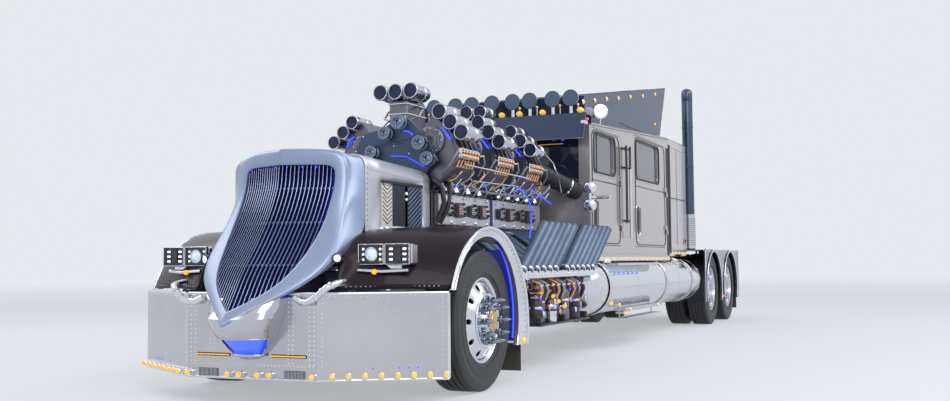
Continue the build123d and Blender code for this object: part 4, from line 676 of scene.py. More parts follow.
for (ox, oz), (rx, rz), (bx, by, bz) in SHELL:
    inner, rim, back = on_face(ox, oz), on_face(rx, rz, 0.02), Vector((bx, by, bz))

    def band(part, back):
        return on_face(ox + (rx - ox) * part, oz + (rz - oz) * part, back)

    side = rim.lerp(back, 0.12) + Vector((0.006 if rx > 0.1 else 0.0, 0, 0.004 if rz > 1.7 else 0.0))
    inside = back.lerp(Vector((ox, back.y, oz)), 0.12)
    rows.append([inner + Vector((0, 0.1, 0)), inner + Vector((0, 0.014, 0)), inner, band(0.06, -0.005),
                 band(0.18, -0.008), band(0.5, -0.009), band(0.82, -0.006), band(0.94, 0.001), rim, side,
                 rim.lerp(back, 0.6), back, inside, inside.lerp(inner + Vector((0, 0.1, 0)), 0.5)])
left_rings = [list(ring) for ring in zip(*rows)]
rings = [ring + [Vector((-p.x, p.y, p.z)) for p in reversed(ring[1:-1])] for ring in left_rings]
shell = Shape()
shell.sleeve(rings + [rings[0]])
shell_piece = fit("grille_shell_body", shell, [shell_blue],
                  replaces=["grille_shell"], levels=3)
folds = shell_piece.data.attributes.new("crease_edge", "FLOAT", "EDGE")
FOLDED_RINGS = {2: 0.65, 8: 0.7, 11: 0.95}
for edge in shell_piece.data.edges:
    ends = [shell_piece.data.vertices[i].co for i in edge.vertices]
    ring_numbers = {i // len(rings[0]) for i in edge.vertices}
    if all(abs(p.x) < 0.001 and p.z < 1.77 for p in ends):
        folds.data[edge.index].value = 0.6
    elif len(ring_numbers) == 1:
        folds.data[edge.index].value = FOLDED_RINGS.get(ring_numbers.pop(), 0.0)

# Grille bars: upright steel strips with round fronts that follow the keel's curve, before a dark
# screen that glows faint blue, painted light from the diodes. Blue diodes sit under the top edge and a
# blue strip runs down each side.
bar_steel = finish("bar_steel", (0.24, 0.27, 0.4), metal=1.0, rough=0.24, mottle=0.1, patch=4.0, bump=0.02)
# The screen's glow is painted light, the blue of the diodes falling on it; the screen is no lamp.
screen_blue_painted_glow = finish("screen_blue_painted_glow", (0.01, 0.012, 0.15), rough=0.45, mottle=0.5, patch=4.0, glow=0.45)
white_glow = finish("white_glow", (0.86, 0.93, 1.0), rough=0.1, coat=1.0, mottle=0.03, glow=1.2)
BARS = 14
OPENING_X = 0.385
# Lower edge of the opening: X, Z
OPENING_FOOT = [(0.0, 0.65), (0.1, 0.708), (0.2, 0.78), (0.28, 0.86), (0.34, 0.985), (0.365, 1.09), (0.385, 1.25)]


def between(table, value, given=0, wanted=1):
    """A table's column read between its rows, at a value of another column."""
    for low, high in zip(table, table[1:]):
        if value <= high[given]:
            break
    t = max(0.0, min(1.0, (value - low[given]) / (high[given] - low[given])))
    return low[wanted] + (high[wanted] - low[wanted]) * t


bars = Shape()
for i in range(BARS):
    x = (i + 0.55) * OPENING_X / BARS
    foot = between(OPENING_FOOT, x) - 0.012
    rings = []
    for k in range(19):
        z = foot + (1.682 - foot) * k / 18
        y = on_face(x, z, 0.02).y
        rings.append([(x - 0.0042, y + 0.036, z), (x - 0.0048, y + 0.008, z), (x - 0.003, y + 0.0015, z),
                      (x, y - 0.0005, z), (x + 0.003, y + 0.0015, z), (x + 0.0048, y + 0.008, z),
                      (x + 0.0042, y + 0.036, z)])
    bars.skin(rings)
for z in (0.95, 1.25, 1.5):
    half = between(OPENING_FOOT, z, 1, 0) + 0.015
    bars.skin([[on_face(x, z, 0.045), on_face(x, z + 0.012, 0.045), on_face(x, z + 0.012, 0.056),
                on_face(x, z, 0.056)] for x in (0.001, half)])
bars.mirrored()
fit("grille_bar_set", bars, [bar_steel], replaces=["grille_bars"])
screen = Shape()
heights = [0.65, 0.68, 0.74, 0.82, 0.92, 1.02, 1.12, 1.2, 1.3, 1.4, 1.5, 1.6, 1.687]
widths = [between(OPENING_FOOT, z, 1, 0) + 0.012 for z in heights]
screen.sheet([[on_face(half * t / 6, z, 0.075) for t in range(-6, 7)] for z, half in zip(heights, widths)])
for x in (0.05, 0.15, 0.25, 0.35):
    for side in (1, -1):
        screen.studs([on_face(side * x, 1.662, 0.014)], (0, -1, -0.4), 0.006, 0.9, 8, 1)
for side in (1, -1):
    screen.tube([on_face(side * (OPENING_X - 0.008), z, 0.066) for z in (1.63, 1.5, 1.35, 1.22)], 0.005, 6, 1)
fit("grille_screen", screen, [screen_blue_painted_glow, blue_glow])

# Chin: a polished pan that fills the gap between the shell's point and the bumper, drawn to a narrow
# foot, with a slot lit blue from inside and a bright crescent lip under it.
chin = Shape()
# Each level: height, front Y, half width
CHIN = [(0.317, -1.275, 0.06), (0.335, -1.3, 0.105), (0.38, -1.36, 0.15), (0.455, -1.44, 0.203),
        (0.52, -1.5, 0.235), (0.6, -1.528, 0.266), (0.68, -1.47, 0.29), (0.735, -1.42, 0.3)]
CHIN_BACK = -1.228


def chin_level(z, inset=0.0, back=0.0):
    """The pan's outline at a height, from one side round the front to the other."""
    for (z0, front0, half0), (z1, front1, half1) in zip(CHIN, CHIN[1:]):
        if z <= z1:
            break
    t = (z - z0) / (z1 - z0)
    front, half = front0 + (front1 - front0) * t + inset + back, half0 + (half1 - half0) * t - inset
    return [Vector((half * sin(a), CHIN_BACK + (front - CHIN_BACK) * cos(a) ** 0.72, z))
            for a in [pi / 2 * k / 12 for k in range(-12, 13)]]


chin.skin([chin_level(z) for z in (0.317, 0.325, 0.335, 0.345)], closed=False, last=False)
mouth_rows = [chin_level(z) for z in (0.345, 0.38, 0.42, 0.462)]
for part in (slice(0, 3), slice(22, 25)):
    chin.sheet([row[part] for row in mouth_rows])
chin.sheet([chin_level(z, 0.03)[2:23] for z in (0.347, 0.4, 0.461)], 1)
chin.sheet([chin_level(z) for z in (0.462, 0.49, 0.52, 0.56, 0.6)])
chin.sheet([chin_level(0.345)[2:23], chin_level(0.347, 0.03)[2:23]])
chin.sheet([chin_level(0.462)[2:23], chin_level(0.461, 0.03)[2:23]])
chin.tube([p + Vector((0, -0.002, 0.0)) for p in chin_level(0.347)[1:24]], 0.012, 10)
chin.tube([p + Vector((0, -0.001, 0.0)) for p in chin_level(0.462)[2:23]], 0.004, 8)
for part in (slice(0, 12), slice(13, 25)):
    chin.sheet([chin_level(0.6)[part], chin_level(0.64, back=0.03)[part]])
for part in (slice(0, 10), slice(15, 25)):
    chin.sheet([chin_level(z, back=0.03)[part] for z in (0.64, 0.68, 0.735)])
fit("chin_scoop_pan", chin, [bumper_polish, blue_glow], replaces=["chin_scoop"], smooth=50)

# Hood box: sheet panels folded over the radiator with a large radius at the top edges, riveted to the
# shell and along the folds, painted with the shell. Each side has a framed opening with a brushed
# strip and two panels of herringbone mesh.
hood_silver = finish("hood_silver", (0.56, 0.57, 0.62), metal=0.55, rough=0.34, coat=0.35, mottle=0.06, patch=0.9,
                     grain=0.05, grain_size=700.0, bump=0.015, dust=0.15)
rivet_grey = finish("rivet_grey", (0.3, 0.31, 0.37), metal=0.8, rough=0.35, mottle=0.1)
strip_brushed = finish("strip_brushed", (0.78, 0.72, 0.66), metal=1.0, rough=0.28, mottle=0.1, patch=6.0,
                       stretch=(1, 1, 0.05), grain_size=500.0, grain=0.1, bump=0.1)
mesh_navy = finish("mesh_navy", (0.1, 0.15, 0.3), metal=0.8, rough=0.3, mottle=0.2, patch=10.0)
HOOD_X = 0.57
HOOD_FRONT = -0.64
HOOD_REAR = 0.4
HOOD_BEND = 0.095
WINDOW_Y = (-0.4, 0.27)
WINDOW_Z = (1.235, 1.57)
hood = Shape()
stations = [HOOD_FRONT, WINDOW_Y[0], -0.18, 0.05, WINDOW_Y[1], HOOD_REAR]
sections = []
for y in stations:
    top = 1.758 - 0.045 * (y - HOOD_FRONT) / (HOOD_REAR - HOOD_FRONT)
    side = [(HOOD_X, 1.0), (HOOD_X, WINDOW_Z[0]), (HOOD_X, WINDOW_Z[1])]
    bend = [(HOOD_X - HOOD_BEND + HOOD_BEND * cos(a), top - HOOD_BEND + HOOD_BEND * sin(a))
            for a in [pi / 2 * k / 8 for k in range(9)]]
    half = side + bend
    sections.append([(x, y, z) for x, z in half] + [(-x, y, z) for x, z in reversed(half)])
hood.sheet(sections)
count = len(sections[0])
openings = [i * (count - 1) + k for i in (1, 2, 3) for k in (1, count - 3)]
hood.faces = [f for i, f in enumerate(hood.faces) if i not in openings]
hood_piece = fit("hood_panels", hood, [hood_silver], replaces=["hood_box"])
sheet = hood_piece.modifiers.new("sheet", "SOLIDIFY")
sheet.thickness = 0.012
sheet.offset = -1.0 if hood_piece.data.polygons[0].normal.x > 0 else 1.0
hood_trim = Shape()
# Each row of rivets: first Y, Z, last Y, Z, number, radius
RIVET_ROWS = [(-0.618, 1.12, -0.618, 1.655, 15, 0.0085), (-0.585, 1.645, 0.36, 1.605, 27, 0.0068),
              (0.375, 1.24, 0.375, 1.58, 9, 0.0068), (-0.43, 1.26, -0.43, 1.56, 8, 0.005)]
for y0, z0, y1, z1, number, radius in RIVET_ROWS:
    hood_trim.studs(along((HOOD_X, y0, z0), (HOOD_X, y1, z1), number), LEFT, radius)
x = HOOD_X
y0, y1 = WINDOW_Y
z0, z1 = WINDOW_Z
hood_trim.block(x - 0.012, x + 0.004, y0 - 0.008, y1 + 0.008, z1 - 0.012, z1 + 0.012, 0.003, 2)
hood_trim.block(x - 0.012, x + 0.003, y0 - 0.006, y1 + 0.006, z0 - 0.01, z0 + 0.008, 0.003, 1)
hood_trim.block(x - 0.012, x + 0.003, y1 - 0.008, y1 + 0.01, z0, z1, 0.003, 1)
STRIP_END = -0.237
POST_Y = 0.0
hood_trim.block(x - 0.008, x + 0.002, y0, STRIP_END, z0, z1 - 0.01, 0.003, 3)
for k in range(10):
    z = z0 + 0.02 + k * 0.032
    for y_start, y_end in ((y0 + 0.01, (y0 + STRIP_END) / 2), (STRIP_END - 0.01, (y0 + STRIP_END) / 2)):
        hood_trim.tube([(x + 0.0015, y_start, min(z + 0.04, z1 - 0.016)), (x + 0.0015, y_end, z)], 0.0035, 5, 2)
for start_y, end_y in ((STRIP_END + 0.012, POST_Y - 0.028), (y1 - 0.014, POST_Y + 0.028)):
    hood_trim.block(x - 0.02, x - 0.013, min(start_y, end_y), max(start_y, end_y), z0, z1 - 0.012, 0.002, 2)
    for k in range(-4, 10):
        low_z, high_z = z0 + 0.036 * k, z0 + 0.036 * k + 0.13
        ends = [Vector((x - 0.007, end_y, low_z)), Vector((x - 0.007, start_y, high_z))]
        if ends[0].z < z0:
            ends[0] = ends[0].lerp(ends[1], (z0 - ends[0].z) / (high_z - low_z))
        if high_z > z1 - 0.012:
            ends[1] = ends[1].lerp(ends[0], (high_z - z1 + 0.012) / (high_z - ends[0].z))
        if (ends[1] - ends[0]).length > 0.02 and ends[1].z > ends[0].z:
            hood_trim.tube(ends, 0.0065, 6, 4)
hood_trim.block(x - 0.018, x - 0.004, POST_Y - 0.022, POST_Y + 0.022, z0, z1 - 0.012, 0.003, 2)
for z, r in ((1.5, 0.011), (1.455, 0.009)):
    hood_trim.rod((x - 0.006, POST_Y, z), (x + 0.002, POST_Y, z), r, 12, 5)
for y, z in ((-0.314, 1.217), (-0.415, 1.211)):
    hood_trim.lathe([(22, 0), (24, 5), (20, 14), (10, 18), (3, 19)], (x, y, z), LEFT, 16, 1)
hood_trim.mirrored()
repaint("cooling_pack", mesh_black)
fit("hood_trim", hood_trim, [rivet_grey, trim_polish, mesh_black, strip_brushed, mesh_navy, white_glow])

# Front fenders: crowned wings in dark gloss maroon over the wheels, with a wide polished lip round each
# arch, a bead along its edge, rows of rivets, and blue diode strips inside. A navy band inside each arch
# glows faintly: painted light from those strips.
fender_maroon = finish("fender_maroon", (0.013, 0.005, 0.01), rough=0.3, coat=0.1, mottle=0.3, patch=1.4, grain=0.05,
                       bump=0.01)
fender_maroon.node_tree.nodes["Principled BSDF"].inputs["Specular IOR Level"].default_value = 0.18
# The liner's glow is painted light, the blue of the diode strips falling on it; the liner is no lamp.
liner_navy_painted_glow = finish("liner_navy_painted_glow", (0.01, 0.014, 0.16), rough=0.4, coat=0.2, mottle=0.3, glow=0.8)
LIP_OUT = (-0.024, 0.467, 0.752)
LIP_IN = (-0.074, 0.537, 0.622)
FENDER_X = 1.275
# Each line across the wing: inner edge (Y, Z), angle of its outer end round the lip
WING_LINES = [((-1.062, 0.775), 155.8), ((-1.022, 0.934), 141.0), ((-0.9, 1.053), 128.0), ((-0.741, 1.171), 116.5),
              ((-0.56, 1.2), 104.0), ((-0.25, 1.213), 90.0), ((0.1, 1.213), 73.0), ((0.45, 1.19), 53.5)]
fender = Shape()
wing_rows = []
for (yi, zi), turn in WING_LINES:
    yo, zo = LIP_OUT[0] + LIP_OUT[2] * cos(radians(turn)), LIP_OUT[1] + LIP_OUT[2] * sin(radians(turn))
    rise = Vector((0, yi + 0.3, 1.0)).normalized() * 0.014
    wing_rows.append([Vector((0.568 + (FENDER_X - 0.568) * t, yi + (yo - yi) * t, zi + (zo - zi) * t))
                      + rise * (1 - (2 * t - 1) ** 2) for t in [k / 10 for k in range(11)]])
for row in wing_rows[1:3]:
    for p in row[1:7]:
        p.y = max(p.y, -0.862)
fender.sheet(wing_rows)
for side, name in ((1, "left"), (-1, "right")):
    wing = Shape().add(fender)
    wing.points = [Vector((side * p.x, p.y, p.z)) for p in wing.points]
    if side > 0:
        wing.faces = [tuple(reversed(f)) for f in wing.faces]
    wing_piece = fit("front_fender_" + name, wing, [fender_maroon], levels=2,
                     replaces=["front_fenders"])
    skin_sheet = wing_piece.modifiers.new("sheet", "SOLIDIFY")
    skin_sheet.thickness = 0.01
    skin_sheet.offset = -1.0
lip = Shape()
steps = 46
face_out, face_in, roll_out, roll_in = [], [], [], []
for k in range(steps + 1):
    a = radians(156 - 168 * k / steps)
    face_out.append(Vector((FENDER_X + 0.01, LIP_OUT[0] + LIP_OUT[2] * cos(a), LIP_OUT[1] + LIP_OUT[2] * sin(a))))
    a = radians(157.5 - 178.9 * k / steps)
    face_in.append(Vector((FENDER_X + 0.004, LIP_IN[0] + LIP_IN[2] * cos(a), LIP_IN[1] + LIP_IN[2] * sin(a))))
    roll_out.append(Vector((FENDER_X - 0.03, face_out[-1].y, face_out[-1].z)))
    roll_in.append(Vector((FENDER_X - 0.03, face_in[-1].y, face_in[-1].z)))
lip.skin([[p, q, r, s] for p, q, r, s in zip(face_out, face_in, roll_in, roll_out)])
lip.tube(face_out, 0.013, 10)
lip.tube(face_in, 0.006, 8)
ring_out = [p.lerp(q, 0.3) + Vector((0.001, 0, 0)) for p, q in zip(face_out, face_in)]
lip.studs(ring_out[2:-1], LEFT, 0.0055, 0.5, 6, 1)
lip.lathe([(24, 0), (22, 8), (12, 16), (2, 18)], (FENDER_X + 0.008, 0.645, 0.337), LEFT, 14, 2)
# A navy band inside the arch, in the liner finish whose glow is painted light from the diode strips.
band_rings = []
for k in range(20):
    a = radians(53 - 64 * k / 19)
    y = LIP_OUT[0] + (LIP_OUT[2] - 0.012) * cos(a)
    z = LIP_OUT[1] + (LIP_OUT[2] - 0.012) * sin(a)
    inward = Vector((0, -cos(a), -sin(a))) * 0.012
    outer_edge, inner_edge = Vector((FENDER_X - 0.02, y, z)), Vector((0.9, y, z))
    band_rings.append([outer_edge, inner_edge, inner_edge + inward, outer_edge + inward])
lip.skin(band_rings, coat=3)
strip_r = LIP_IN[2] + 0.045
lip.tube([Vector((FENDER_X - 0.06, LIP_IN[0] + strip_r * cos(a), LIP_IN[1] + strip_r * sin(a)))
          for a in [radians(150 - 165 * k / 30) for k in range(31)]], 0.007, 6, 4)
lip.mirrored()
fit("front_arch_lips", lip, [trim_polish, rivet_grey, amber_glow, liner_navy_painted_glow, blue_glow])
fender_rivets = Shape()
fender_rivets.studs([wing_rows[0][1].lerp(wing_rows[0][9], k / 19) + Vector((0, -0.003, 0.026)) for k in range(20)],
                    (0.3, -1, 0.2), 0.006)
fender_rivets.studs([p + Vector((-0.045, -0.012, 0.014)) for p in roll_out[2:22]], (0.2, -0.6, 0.8), 0.0065)
fender_rivets.mirrored()
fit("fender_rivets", fender_rivets, [rivet_grey])

# Headlights: chrome cases on brackets ahead of the wheels, each with a round projector, a bank of
# diodes and a clear cover.
lamp_chrome = finish("lamp_chrome", (0.7, 0.72, 0.76), metal=1.0, rough=0.1, mottle=0.06, patch=12.0)
lamp_black = finish("lamp_black", (0.015, 0.015, 0.02), rough=0.25, coat=0.6, mottle=0.3)
lens_pale = finish("lens_pale", (0.5, 0.58, 0.7), rough=0.05, coat=1.0, mottle=0.2, patch=30.0, glow=0.7)
LIGHT_X, LIGHT_Y, LIGHT_Z = 0.849, -0.824, 1.025
headlight = Shape()
headlight.block(LIGHT_X - 0.205, LIGHT_X + 0.205, LIGHT_Y - 0.04, LIGHT_Y + 0.06, LIGHT_Z - 0.073,
                LIGHT_Z + 0.073, 0.012)
front = LIGHT_Y - 0.066
for x0, x1 in ((LIGHT_X - 0.202, LIGHT_X + 0.0015), (LIGHT_X + 0.0065, LIGHT_X + 0.202)):
    for z0, z1 in ((LIGHT_Z - 0.073, LIGHT_Z - 0.065), (LIGHT_Z + 0.065, LIGHT_Z + 0.073)):
        headlight.block(x0, x1, front, LIGHT_Y - 0.036, z0, z1, 0.004)
    for low, high in ((x0, x0 + 0.008), (x1 - 0.008, x1)):
        headlight.block(low, high, front, LIGHT_Y - 0.036, LIGHT_Z - 0.073, LIGHT_Z + 0.073, 0.004)
    headlight.block(x0 + 0.007, x1 - 0.007, LIGHT_Y - 0.046, LIGHT_Y - 0.038, LIGHT_Z - 0.066,
                    LIGHT_Z + 0.066, 0.002, 1)
lamp_face = LIGHT_Y - 0.046
headlight.lathe([(50, 0), (50, 12), (44, 14), (41, 6)], (LIGHT_X - 0.1, lamp_face, LIGHT_Z), FRONT, 32)
headlight.lathe([(41, 4), (34, 16), (20, 24), (4, 27)], (LIGHT_X - 0.1, lamp_face, LIGHT_Z), FRONT, 32, 4)
for x in (LIGHT_X - 0.168, LIGHT_X - 0.034):
    for row in range(3):
        headlight.lathe([(9, 0), (8, 4), (3, 6)], (x, lamp_face, LIGHT_Z + 0.036 * (row - 1)), FRONT, 12, 2)
headlight.block(LIGHT_X + 0.079, LIGHT_X + 0.129, lamp_face - 0.01, lamp_face, LIGHT_Z - 0.05,
                LIGHT_Z + 0.05, 0.008, 1)
for column in (0, 2):
    for row in range(3):
        x, z = LIGHT_X + 0.052 + 0.052 * column, LIGHT_Z + 0.036 * (row - 1)
        headlight.block(x - 0.018, x + 0.018, lamp_face - 0.004, lamp_face + 0.001, z - 0.012, z + 0.012, 0.004, 1)
        headlight.block(x - 0.014, x + 0.014, lamp_face - 0.007, lamp_face - 0.002, z - 0.0075, z + 0.0075, 0.003, 2)
headlight.block(LIGHT_X - 0.12, LIGHT_X + 0.12, LIGHT_Y - 0.03, LIGHT_Y + 0.02, LIGHT_Z - 0.105,
                LIGHT_Z - 0.071, 0.006)
headlight.tube([(LIGHT_X - 0.18, LIGHT_Y - 0.1, 0.915), (LIGHT_X, LIGHT_Y - 0.085, 0.905),
                (LIGHT_X + 0.17, LIGHT_Y - 0.02, 0.915)], 0.012, 10)
headlight.rod((LIGHT_X, LIGHT_Y, 0.775), (LIGHT_X, LIGHT_Y, LIGHT_Z - 0.09), 0.022, 16)
headlight.lathe([(20, 0), (18, 14), (4, 20)], (LIGHT_X - 0.05, LIGHT_Y - 0.098, 0.905), FRONT, 12, 3)
headlight.lathe([(30, 0), (36, 10), (35, 30), (29, 34)], (0.548, -0.985, 1.0), (0.35, -1, 0), 20, 1)
headlight.lathe([(27, 31), (18, 40), (3, 43)], (0.548, -0.985, 1.0), (0.35, -1, 0), 20, 2)
headlight.tube([(0.548, -0.98, 1.0), (0.57, -0.9, 0.99), (0.62, -0.86, 0.95), (0.66, -0.88, 0.915)], 0.012, 8)
headlight.tube([(0.66, -1.1, 0.84), (0.657, -1.2, 0.829), (0.63, -1.265, 0.805), (0.575, -1.285, 0.752),
                (0.536, -1.29, 0.725), (0.495, -1.285, 0.708), (0.44, -1.27, 0.705), (0.379, -1.262, 0.735)],
               0.023, 14)
for place in ((0.648, -1.235, 0.82), (0.605, -1.278, 0.78), (0.555, -1.289, 0.738)):
    headlight.lathe([(23, -12), (28, -9), (28, 9), (23, 12)], place, (-0.5, -0.25, -0.6), 16)
headlight.mirrored()
fit("headlight_cases", headlight, [lamp_chrome, lamp_black, white_glow, amber_glow, lens_pale],
    replaces=["headlights"])

# Engine: two long cast engines end to end, painted dark, open to view between the hood and the cab.
# Each head carries a bright machined plate with coil boxes, and a row of bent chromed intake pipes.
engine_iron = finish("engine_iron", (0.07, 0.06, 0.075), metal=0.5, rough=0.42, mottle=0.35, patch=5.0,
                     grain_size=140.0, bump=0.3)
plate_bright = finish("plate_bright", (0.62, 0.61, 0.64), metal=0.9, rough=0.3, mottle=0.14, patch=9.0,
                      grain_size=400.0, bump=0.06)
cast_silver = finish("cast_silver", (0.19, 0.185, 0.225), metal=0.9, rough=0.34, mottle=0.2, patch=7.0,
                     grain_size=220.0, bump=0.2)
coil_red = finish("coil_red", (0.16, 0.035, 0.035), rough=0.35, coat=0.4, mottle=0.3, patch=14.0)
fitting_black = finish("fitting_black", (0.018, 0.018, 0.022), rough=0.38, coat=0.2, mottle=0.3)
copper_cap = finish("copper_cap", (0.72, 0.42, 0.2), metal=1.0, rough=0.25, mottle=0.25, patch=40.0)
braided_line = finish("braided_line", (0.42, 0.42, 0.46), metal=0.9, rough=0.4, mottle=0.3, patch=60.0, grain=0.15,
                      grain_size=900.0, bump=0.5)
repaint("engine_block", engine_iron)


def prism(shape, outline, y0, y1, ease=0.006, coat=0):
    """A casting with one (X, Z) outline along the truck and its end edges eased."""
    cx = sum(x for x, z in outline) / len(outline)
    cz = sum(z for x, z in outline) / len(outline)
    reach = max(hypot(x - cx, z - cz) for x, z in outline)
    shrink = 1 - ease / reach * 1.4
    rings = []
    for y, scale in ((y0, shrink), (y0 + ease, 1.0), (y1 - ease, 1.0), (y1, shrink)):
        rings.append([(cx + (x - cx) * scale, y, cz + (z - cz) * scale) for x, z in outline])
    shape.skin(rings, coat=coat)


heads = Shape()
SIDE_PLATES = [(0.5, 1.58), (1.66, 2.9)]
for start, end in SIDE_PLATES:
    heads.block(0.5603, 0.6, start, end, 1.276, 1.534, 0.005)
    for k in range(int((end - start) / 0.25)):
        y = start + 0.13 + k * 0.25
        size = 0.062 if k % 2 else 0.048
        heads.block(0.599, 0.626, y - size, y + size, 1.405 - size, 1.405 + size, 0.006, 2)
        heads.block(0.625, 0.634, y - size * 0.72, y + size * 0.72, 1.405 - size * 0.72, 1.405 + size * 0.72, 0.004,
                    1 if k % 2 else 2)
        for step in (-0.5, -0.17, 0.17, 0.5):
            heads.block(0.632, 0.637, y - size * 0.6, y + size * 0.6, 1.402 + size * step,
                        1.408 + size * step, 0.001, 3)
        for z in (1.3, 1.51):
            heads.lathe([(14, 0), (14, 10), (10, 14), (3, 16)], (0.599, y + 0.12, z), LEFT, 10, 3)
        for dy, z in ((0.09, 1.36), (0.115, 1.42), (0.09, 1.46), (0.14, 1.38)):
            heads.lathe([(13, 0), (13, 18), (9, 22), (9, 32), (3, 34)], (0.599, y + dy, z), LEFT, 8, 2)
    for z in (1.289, 1.521):
        heads.studs(along((0.6, start + 0.03, z), (0.6, end - 0.03, z), 22), LEFT, 0.007, 0.7, 6, 3)
    for k in range(int((end - start) / 0.24)):
        y = start + 0.06 + k * 0.24
        path = [(0.528 + 0.09 * cos(a), y, 1.5345 + 0.09 * sin(a)) for a in [pi * t / 14 for t in range(12)]]
        heads.tube(path, 0.0335, 14, 3)
        heads.lathe([(42, 0), (44, 4), (44, 12), (36, 16)], (0.618, y, 1.535), UP, 16, 2)
        heads.tube([(0.62, y + 0.12, 1.53), (0.65, y + 0.12, 1.58), (0.64, y + 0.1, 1.66), (0.6, y + 0.08, 1.7)],
                   0.008, 6, 4)
for y in (0.9, 1.3, 1.7, 2.1, 2.5):
    heads.lathe([(60, 0), (90, 10), (95, 30), (95, 100), (88, 110), (95, 120), (95, 190), (85, 210), (58, 212),
                 (58, 234), (40, 238)], (0.4303, y, 0.77), LEFT, 22, 3)
    heads.studs(circle((0.638, y, 0.77), 0.076, 8, REAR), LEFT, 0.008, 0.8, 6, 2)
    heads.lathe([(20, 0), (20, 16), (12, 24), (3, 26)], (0.62, y + 0.15, 0.8), LEFT, 10, 5)
    heads.lathe([(16, 0), (16, 14), (10, 20), (3, 22)], (0.62, y - 0.16, 0.72), LEFT, 10, 5)
    heads.tube([(0.56, y + 0.09, 0.83), (0.6, y + 0.16, 0.92), (0.58, y + 0.2, 1.05), (0.545, y + 0.16, 1.24)], 0.016,
               8, 4)
    heads.tube([(0.5, y + 0.12, 0.7), (0.56, y + 0.19, 0.66), (0.56, y + 0.28, 0.72)], 0.022, 8, 3)
heads.mirrored()
fit("head_plates_and_pumps", heads, [plate_bright, coil_red, fitting_black, trim_polish, braided_line, amber_glow],
    replaces=["engine_fittings"])

# Superchargers: ribbed cast cases that lean outward over each head, with a round rotor cover bolted on
# the front, a fuel rail with copper caps along the side, and two upright ones in the middle.
blowers = Shape()
SIDE_HATS = [(1, 0.4), (1, 1.19), (1, 1.96), (-1, 1.25), (-1, 2.02)]
CENTRE_HATS_Y = [0.88, 2.4]
for side, y in SIDE_HATS:
    rise = 0.0 if side > 0 else 0.09
    end = min(y + 0.52, 2.87)
    case = Shape()
    prism(case, [(0.33, 1.6488), (0.56, 1.5603), (0.74, 1.74), (0.77, 1.8), (0.77, 1.9 + rise), (0.69, 2.07 + rise),
                 (0.575, 2.19 + rise), (0.39, 1.95 + rise)], y + 0.07, end, 0.008)
    for k in range(5):
        rib_y = y + 0.076 + k * (end - y - 0.11) / 4
        prism(case, [(0.7, 1.7), (0.79, 1.79), (0.79, 1.905 + rise), (0.7, 2.085 + rise), (0.6, 2.1 + rise),
                     (0.6, 1.75)], rib_y, rib_y + 0.014, 0.003)
    z = 1.96 + rise
    case.lathe([(118, 38), (118, 6), (110, 0), (88, -2), (84, -10), (66, -12), (65, -22), (50, -24), (30, -23),
                (20, -20)], (0.56, y + 0.042, z), REAR, 36)
    case.studs(circle((0.56, y + 0.0415, z), 0.099, 12), FRONT, 0.008, 0.8, 6, 2)
    for k in range(5):
        for z_stud in (1.81, 1.89):
            case.studs([(0.77, y + 0.13 + k * (end - y - 0.11) / 4, z_stud)], LEFT, 0.009, 0.8, 6, 2)
    case.block(0.7903, 0.822, y + 0.08, y + 0.43, 1.805, 1.895, 0.006, 2)
    for k in range(6):
        cap_y = y + 0.11 + 0.058 * k
        case.lathe([(17, 0), (17, 12), (14, 18), (8, 22), (3, 23)], (0.821, cap_y, 1.862), LEFT, 12, 3)
        case.lathe([(12, 0), (12, 12), (6, 16), (2, 17)], (0.821, cap_y, 1.824), LEFT, 10, 3)
        case.lathe([(11, 0), (11, 50), (15, 52), (15, 62), (4, 66)], (0.79, cap_y, 1.8), (-0.45, 0, -1), 10, 3)
    case.tube([(0.82, y + 0.44, 1.85), (0.835, y + 0.5, 1.86), (0.82, y + 0.56, 1.8), (0.74, y + 0.6, 1.7)], 0.009,
              8, 4)
    case.tube([(0.8, y + 0.075, 1.85), (0.815, y + 0.03, 1.86), (0.75, y + 0.02, 1.76), (0.66, y + 0.06, 1.68)],
              0.009, 8, 4)
    case.tube([(0.66, y + 0.045, 2.06 + rise), (0.7, y + 0.03, 2.02 + rise), (0.74, y + 0.05, 1.96 + rise)],
              0.007, 6, 5)
    if side < 0:
        case.flipped()
    blowers.add(case)
for y in CENTRE_HATS_Y:
    blowers.block(-0.09, 0.09, y + 0.06, y + 0.42, 1.6603, 2.4, 0.012)
    blowers.lathe([(90, 0), (155, 8), (165, 30), (165, 390), (155, 412), (90, 420)], (0, y + 0.03, 1.83), REAR, 40)
    for k in range(9):
        blowers.lathe([(168, 0), (171, 4), (171, 10), (168, 14)], (0, y + 0.065 + k * 0.04, 1.83), REAR, 40, 2)
    blowers.studs(circle((0, y + 0.033, 1.83), 0.14, 12), FRONT, 0.009, 0.8, 6, 2)
    for z in (2.05, 2.16, 2.27, 2.36):
        blowers.block(-0.098, 0.098, y + 0.052, y + 0.428, z, z + 0.016, 0.004, 2)
    for x, z in ((0.1, 2.0), (-0.1, 2.0), (0.1, 2.22), (-0.1, 2.22)):
        blowers.tube([(x, y + 0.1, z), (x * 1.7, y + 0.12, z + 0.03), (x * 1.7, y + 0.2, z + 0.1),
                      (x, y + 0.25, z + 0.14)], 0.01, 8, 4)
fit("supercharger_cases", blowers, [cast_silver, coil_red, trim_polish, copper_cap, braided_line, blue_glow],
    replaces=["superchargers"])

# Scoop hats: three spun aluminium trumpets side by side on each supercharger, with rolled mouths and
# dark butterfly plates on one shaft. The bores are dark inside and closed a little way in: painted
# shade. Levers at the shaft's ends are pulled by thin rods.
hat_spun = finish("hat_spun", (0.54, 0.56, 0.64), metal=1.0, rough=0.2, mottle=0.08, patch=6.0, stretch=(1, 0.05, 1),
                  grain_size=300.0, bump=0.05)
# Dark inside the bores is painted shade; on the butterfly plates it is their own dark colour.
bore_shade_and_plate_dark = finish("bore_shade_and_plate_dark", (0.03, 0.04, 0.085), metal=0.7, rough=0.4, mottle=0.3, patch=8.0)
hats = Shape()


